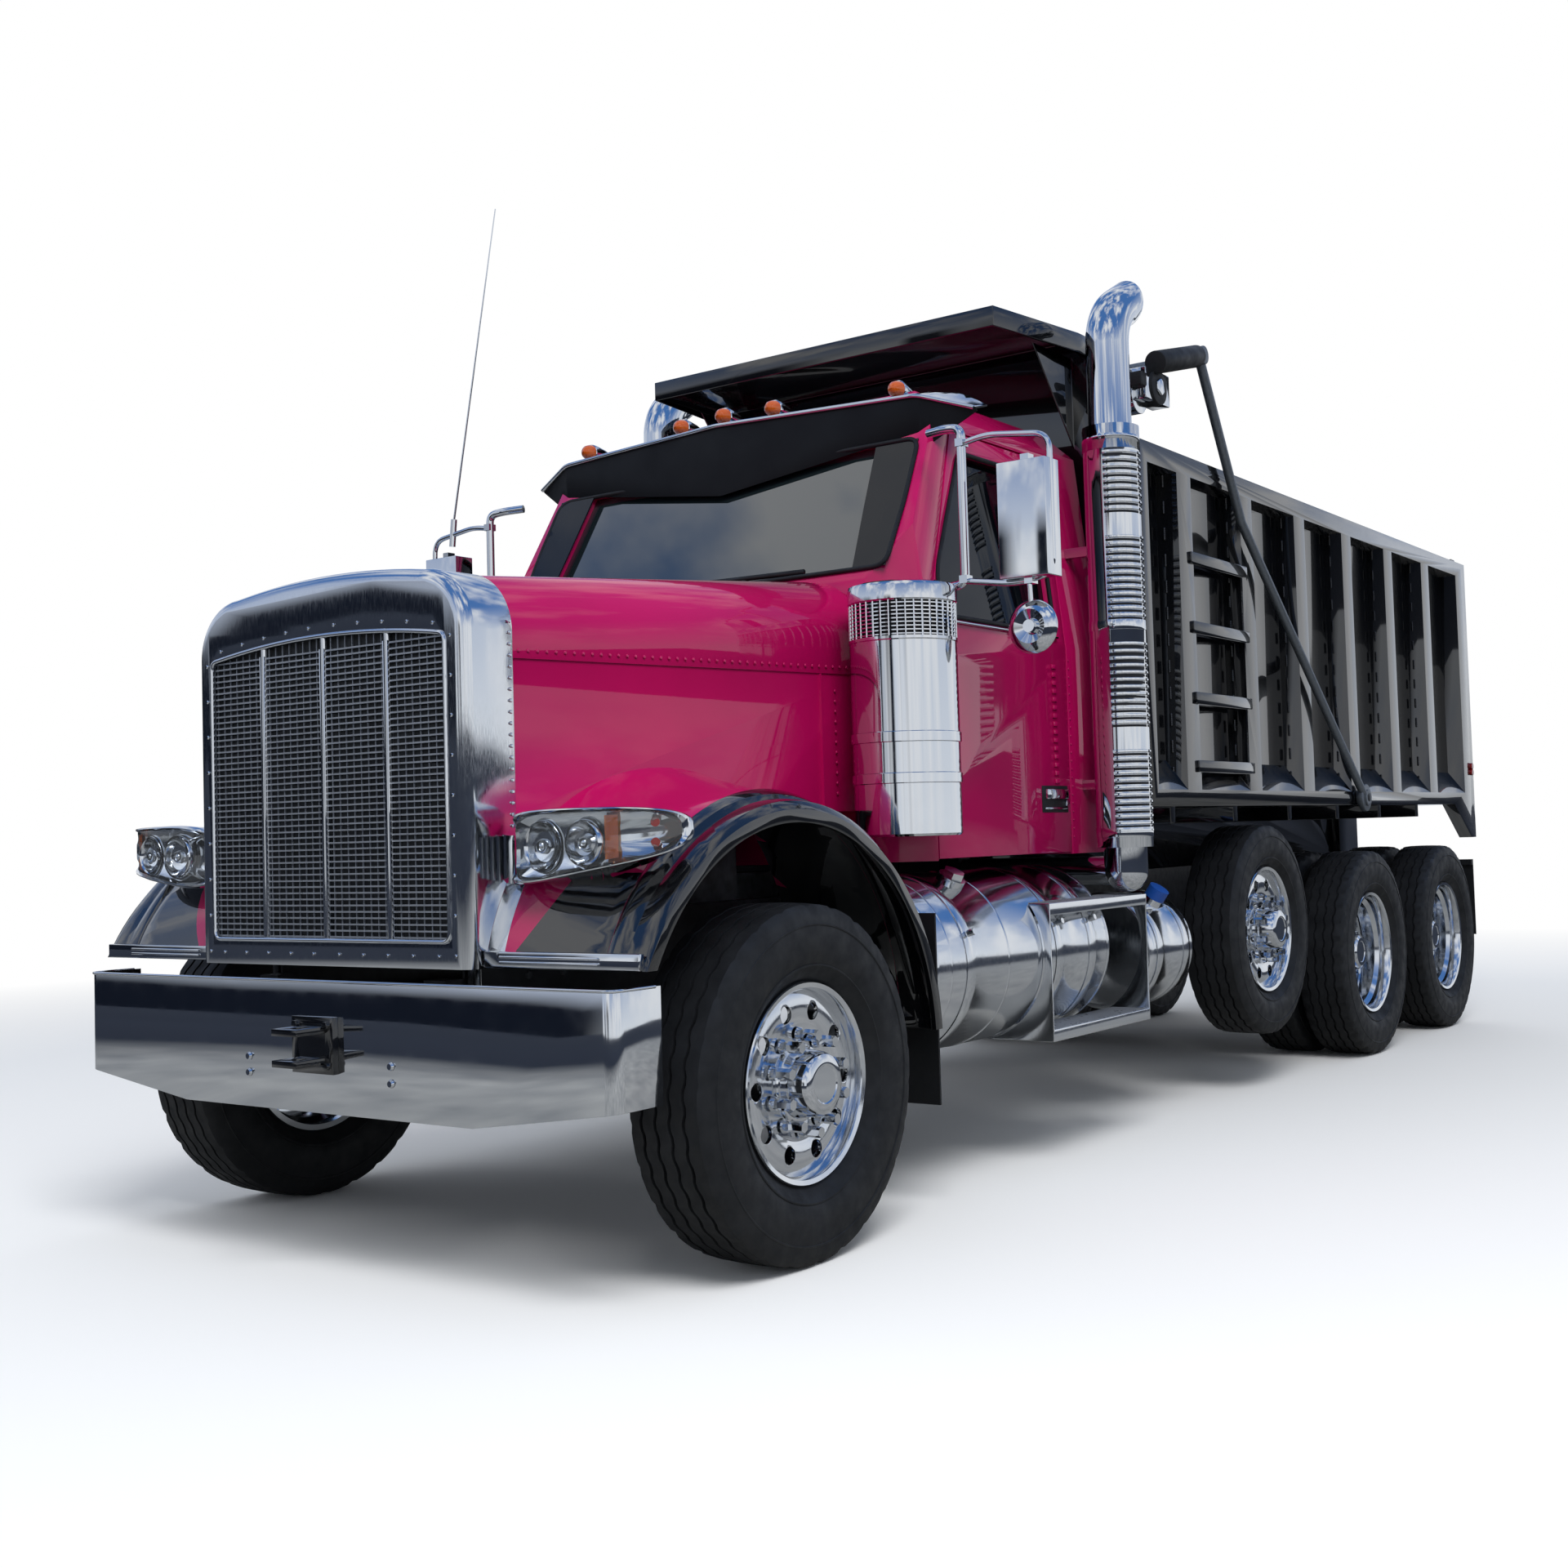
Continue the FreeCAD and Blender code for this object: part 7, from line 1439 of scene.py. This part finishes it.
class TRUCK_OT_windscreen(bpy.types.Operator):
    """Make the windscreen's glass, edges, seal and wipers."""

    bl_idname = "truck.windscreen"
    bl_label = "Windscreen"

    def execute(self, context):
        make_windscreen()
        return {"FINISHED"}


class TRUCK_OT_doors(bpy.types.Operator):
    """Make the doors with their glass, seals and handles."""

    bl_idname = "truck.doors"
    bl_label = "Doors"

    def execute(self, context):
        make_doors()
        return {"FINISHED"}


class TRUCK_OT_visor(bpy.types.Operator):
    """Make the sun visor and its marker lamps."""

    bl_idname = "truck.visor"
    bl_label = "Visor"

    def execute(self, context):
        make_visor()
        make_marker_lamps()
        return {"FINISHED"}


class TRUCK_OT_hood(bpy.types.Operator):
    """Make the hood and fenders with their rivets and strips."""

    bl_idname = "truck.hood"
    bl_label = "Hood"

    def execute(self, context):
        make_hood()
        return {"FINISHED"}


class TRUCK_OT_grille(bpy.types.Operator):
    """Make the crown and the grille inside it."""

    bl_idname = "truck.grille"
    bl_label = "Grille"

    def execute(self, context):
        make_crown()
        make_grille()
        return {"FINISHED"}


class TRUCK_OT_headlamps(bpy.types.Operator):
    """Make the headlamp pods."""

    bl_idname = "truck.headlamps"
    bl_label = "Headlamps"

    def execute(self, context):
        make_headlamps()
        return {"FINISHED"}


class TRUCK_OT_bumper(bpy.types.Operator):
    """Make the bumper and the tow coupling."""

    bl_idname = "truck.bumper"
    bl_label = "Bumper"

    def execute(self, context):
        make_bumper()
        return {"FINISHED"}


class TRUCK_OT_mirrors(bpy.types.Operator):
    """Make the door mirrors."""

    bl_idname = "truck.mirrors"
    bl_label = "Mirrors"

    def execute(self, context):
        make_mirrors()
        return {"FINISHED"}


class TRUCK_OT_cleaners(bpy.types.Operator):
    """Make the air cleaners."""

    bl_idname = "truck.cleaners"
    bl_label = "Air cleaners"

    def execute(self, context):
        make_cleaners()
        return {"FINISHED"}


class TRUCK_OT_stacks(bpy.types.Operator):
    """Make the exhaust stacks and grab rails."""

    bl_idname = "truck.stacks"
    bl_label = "Exhaust stacks"

    def execute(self, context):
        make_stacks()
        return {"FINISHED"}


class TRUCK_OT_tanks(bpy.types.Operator):
    """Make the tanks and side steps."""

    bl_idname = "truck.tanks"
    bl_label = "Tanks"

    def execute(self, context):
        make_tanks()
        return {"FINISHED"}


class TRUCK_OT_bed(bpy.types.Operator):
    """Make the tipping body, tailgate and hoist, with the tail lamps."""

    bl_idname = "truck.bed"
    bl_label = "Tipping body"

    def execute(self, context):
        make_bed()
        make_tail_lamps()
        return {"FINISHED"}


class TRUCK_OT_tarp(bpy.types.Operator):
    """Make the tarp's roller, arms and motors."""

    bl_idname = "truck.tarp"
    bl_label = "Tarp gear"

    def execute(self, context):
        make_tarp_gear()
        return {"FINISHED"}


class TRUCK_OT_chassis(bpy.types.Operator):
    """Make the frame, axles and engine."""

    bl_idname = "truck.chassis"
    bl_label = "Chassis"

    def execute(self, context):
        make_chassis()
        return {"FINISHED"}


OPERATORS = (TRUCK_OT_stage, TRUCK_OT_tyres, TRUCK_OT_wheels, TRUCK_OT_cab, TRUCK_OT_windscreen,
             TRUCK_OT_doors, TRUCK_OT_visor, TRUCK_OT_hood, TRUCK_OT_grille, TRUCK_OT_headlamps,
             TRUCK_OT_bumper, TRUCK_OT_mirrors, TRUCK_OT_cleaners, TRUCK_OT_stacks, TRUCK_OT_tanks,
             TRUCK_OT_bed, TRUCK_OT_tarp, TRUCK_OT_chassis)


class TRUCK_PT_panel(bpy.types.Panel):
    """Sidebar panel that lists the truck's settings and pieces."""

    bl_label = "Dump truck"
    bl_idname = "TRUCK_PT_panel"
    bl_space_type = "VIEW_3D"
    bl_region_type = "UI"
    bl_category = "Truck"

    def draw(self, context):
        """List the settings and one button for each operator."""
        for group in (colours(), sizes()):
            for name in group.__annotations__:
                self.layout.prop(group, name)
        for item in OPERATORS:
            self.layout.operator(item.bl_idname)


CLASSES = (TruckColours, TruckSizes, *OPERATORS, TRUCK_PT_panel)


def register():
    """Register the classes and the settings."""
    for item in CLASSES:
        bpy.utils.register_class(item)
    bpy.types.Scene.truck_colours = bpy.props.PointerProperty(type=TruckColours)
    bpy.types.Scene.truck_sizes = bpy.props.PointerProperty(type=TruckSizes)


def unregister():
    """Take the classes and the settings away again."""
    del bpy.types.Scene.truck_sizes
    del bpy.types.Scene.truck_colours
    for item in reversed(CLASSES):
        bpy.utils.unregister_class(item)


def main():
    """Build the whole truck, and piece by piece."""
    register()
    bpy.context.scene.view_settings.view_transform = "Standard"
    bpy.ops.truck.stage()
    bpy.ops.truck.tyres()
    bpy.ops.truck.wheels()
    bpy.ops.truck.cab()
    bpy.ops.truck.windscreen()
    bpy.ops.truck.doors()
    bpy.ops.truck.visor()
    bpy.ops.truck.hood()
    bpy.ops.truck.grille()
    bpy.ops.truck.headlamps()
    bpy.ops.truck.bumper()
    bpy.ops.truck.mirrors()
    bpy.ops.truck.cleaners()
    bpy.ops.truck.stacks()
    bpy.ops.truck.tanks()
    bpy.ops.truck.bed()
    bpy.ops.truck.tarp()
    bpy.ops.truck.chassis()


if __name__ == "__main__":
    main()
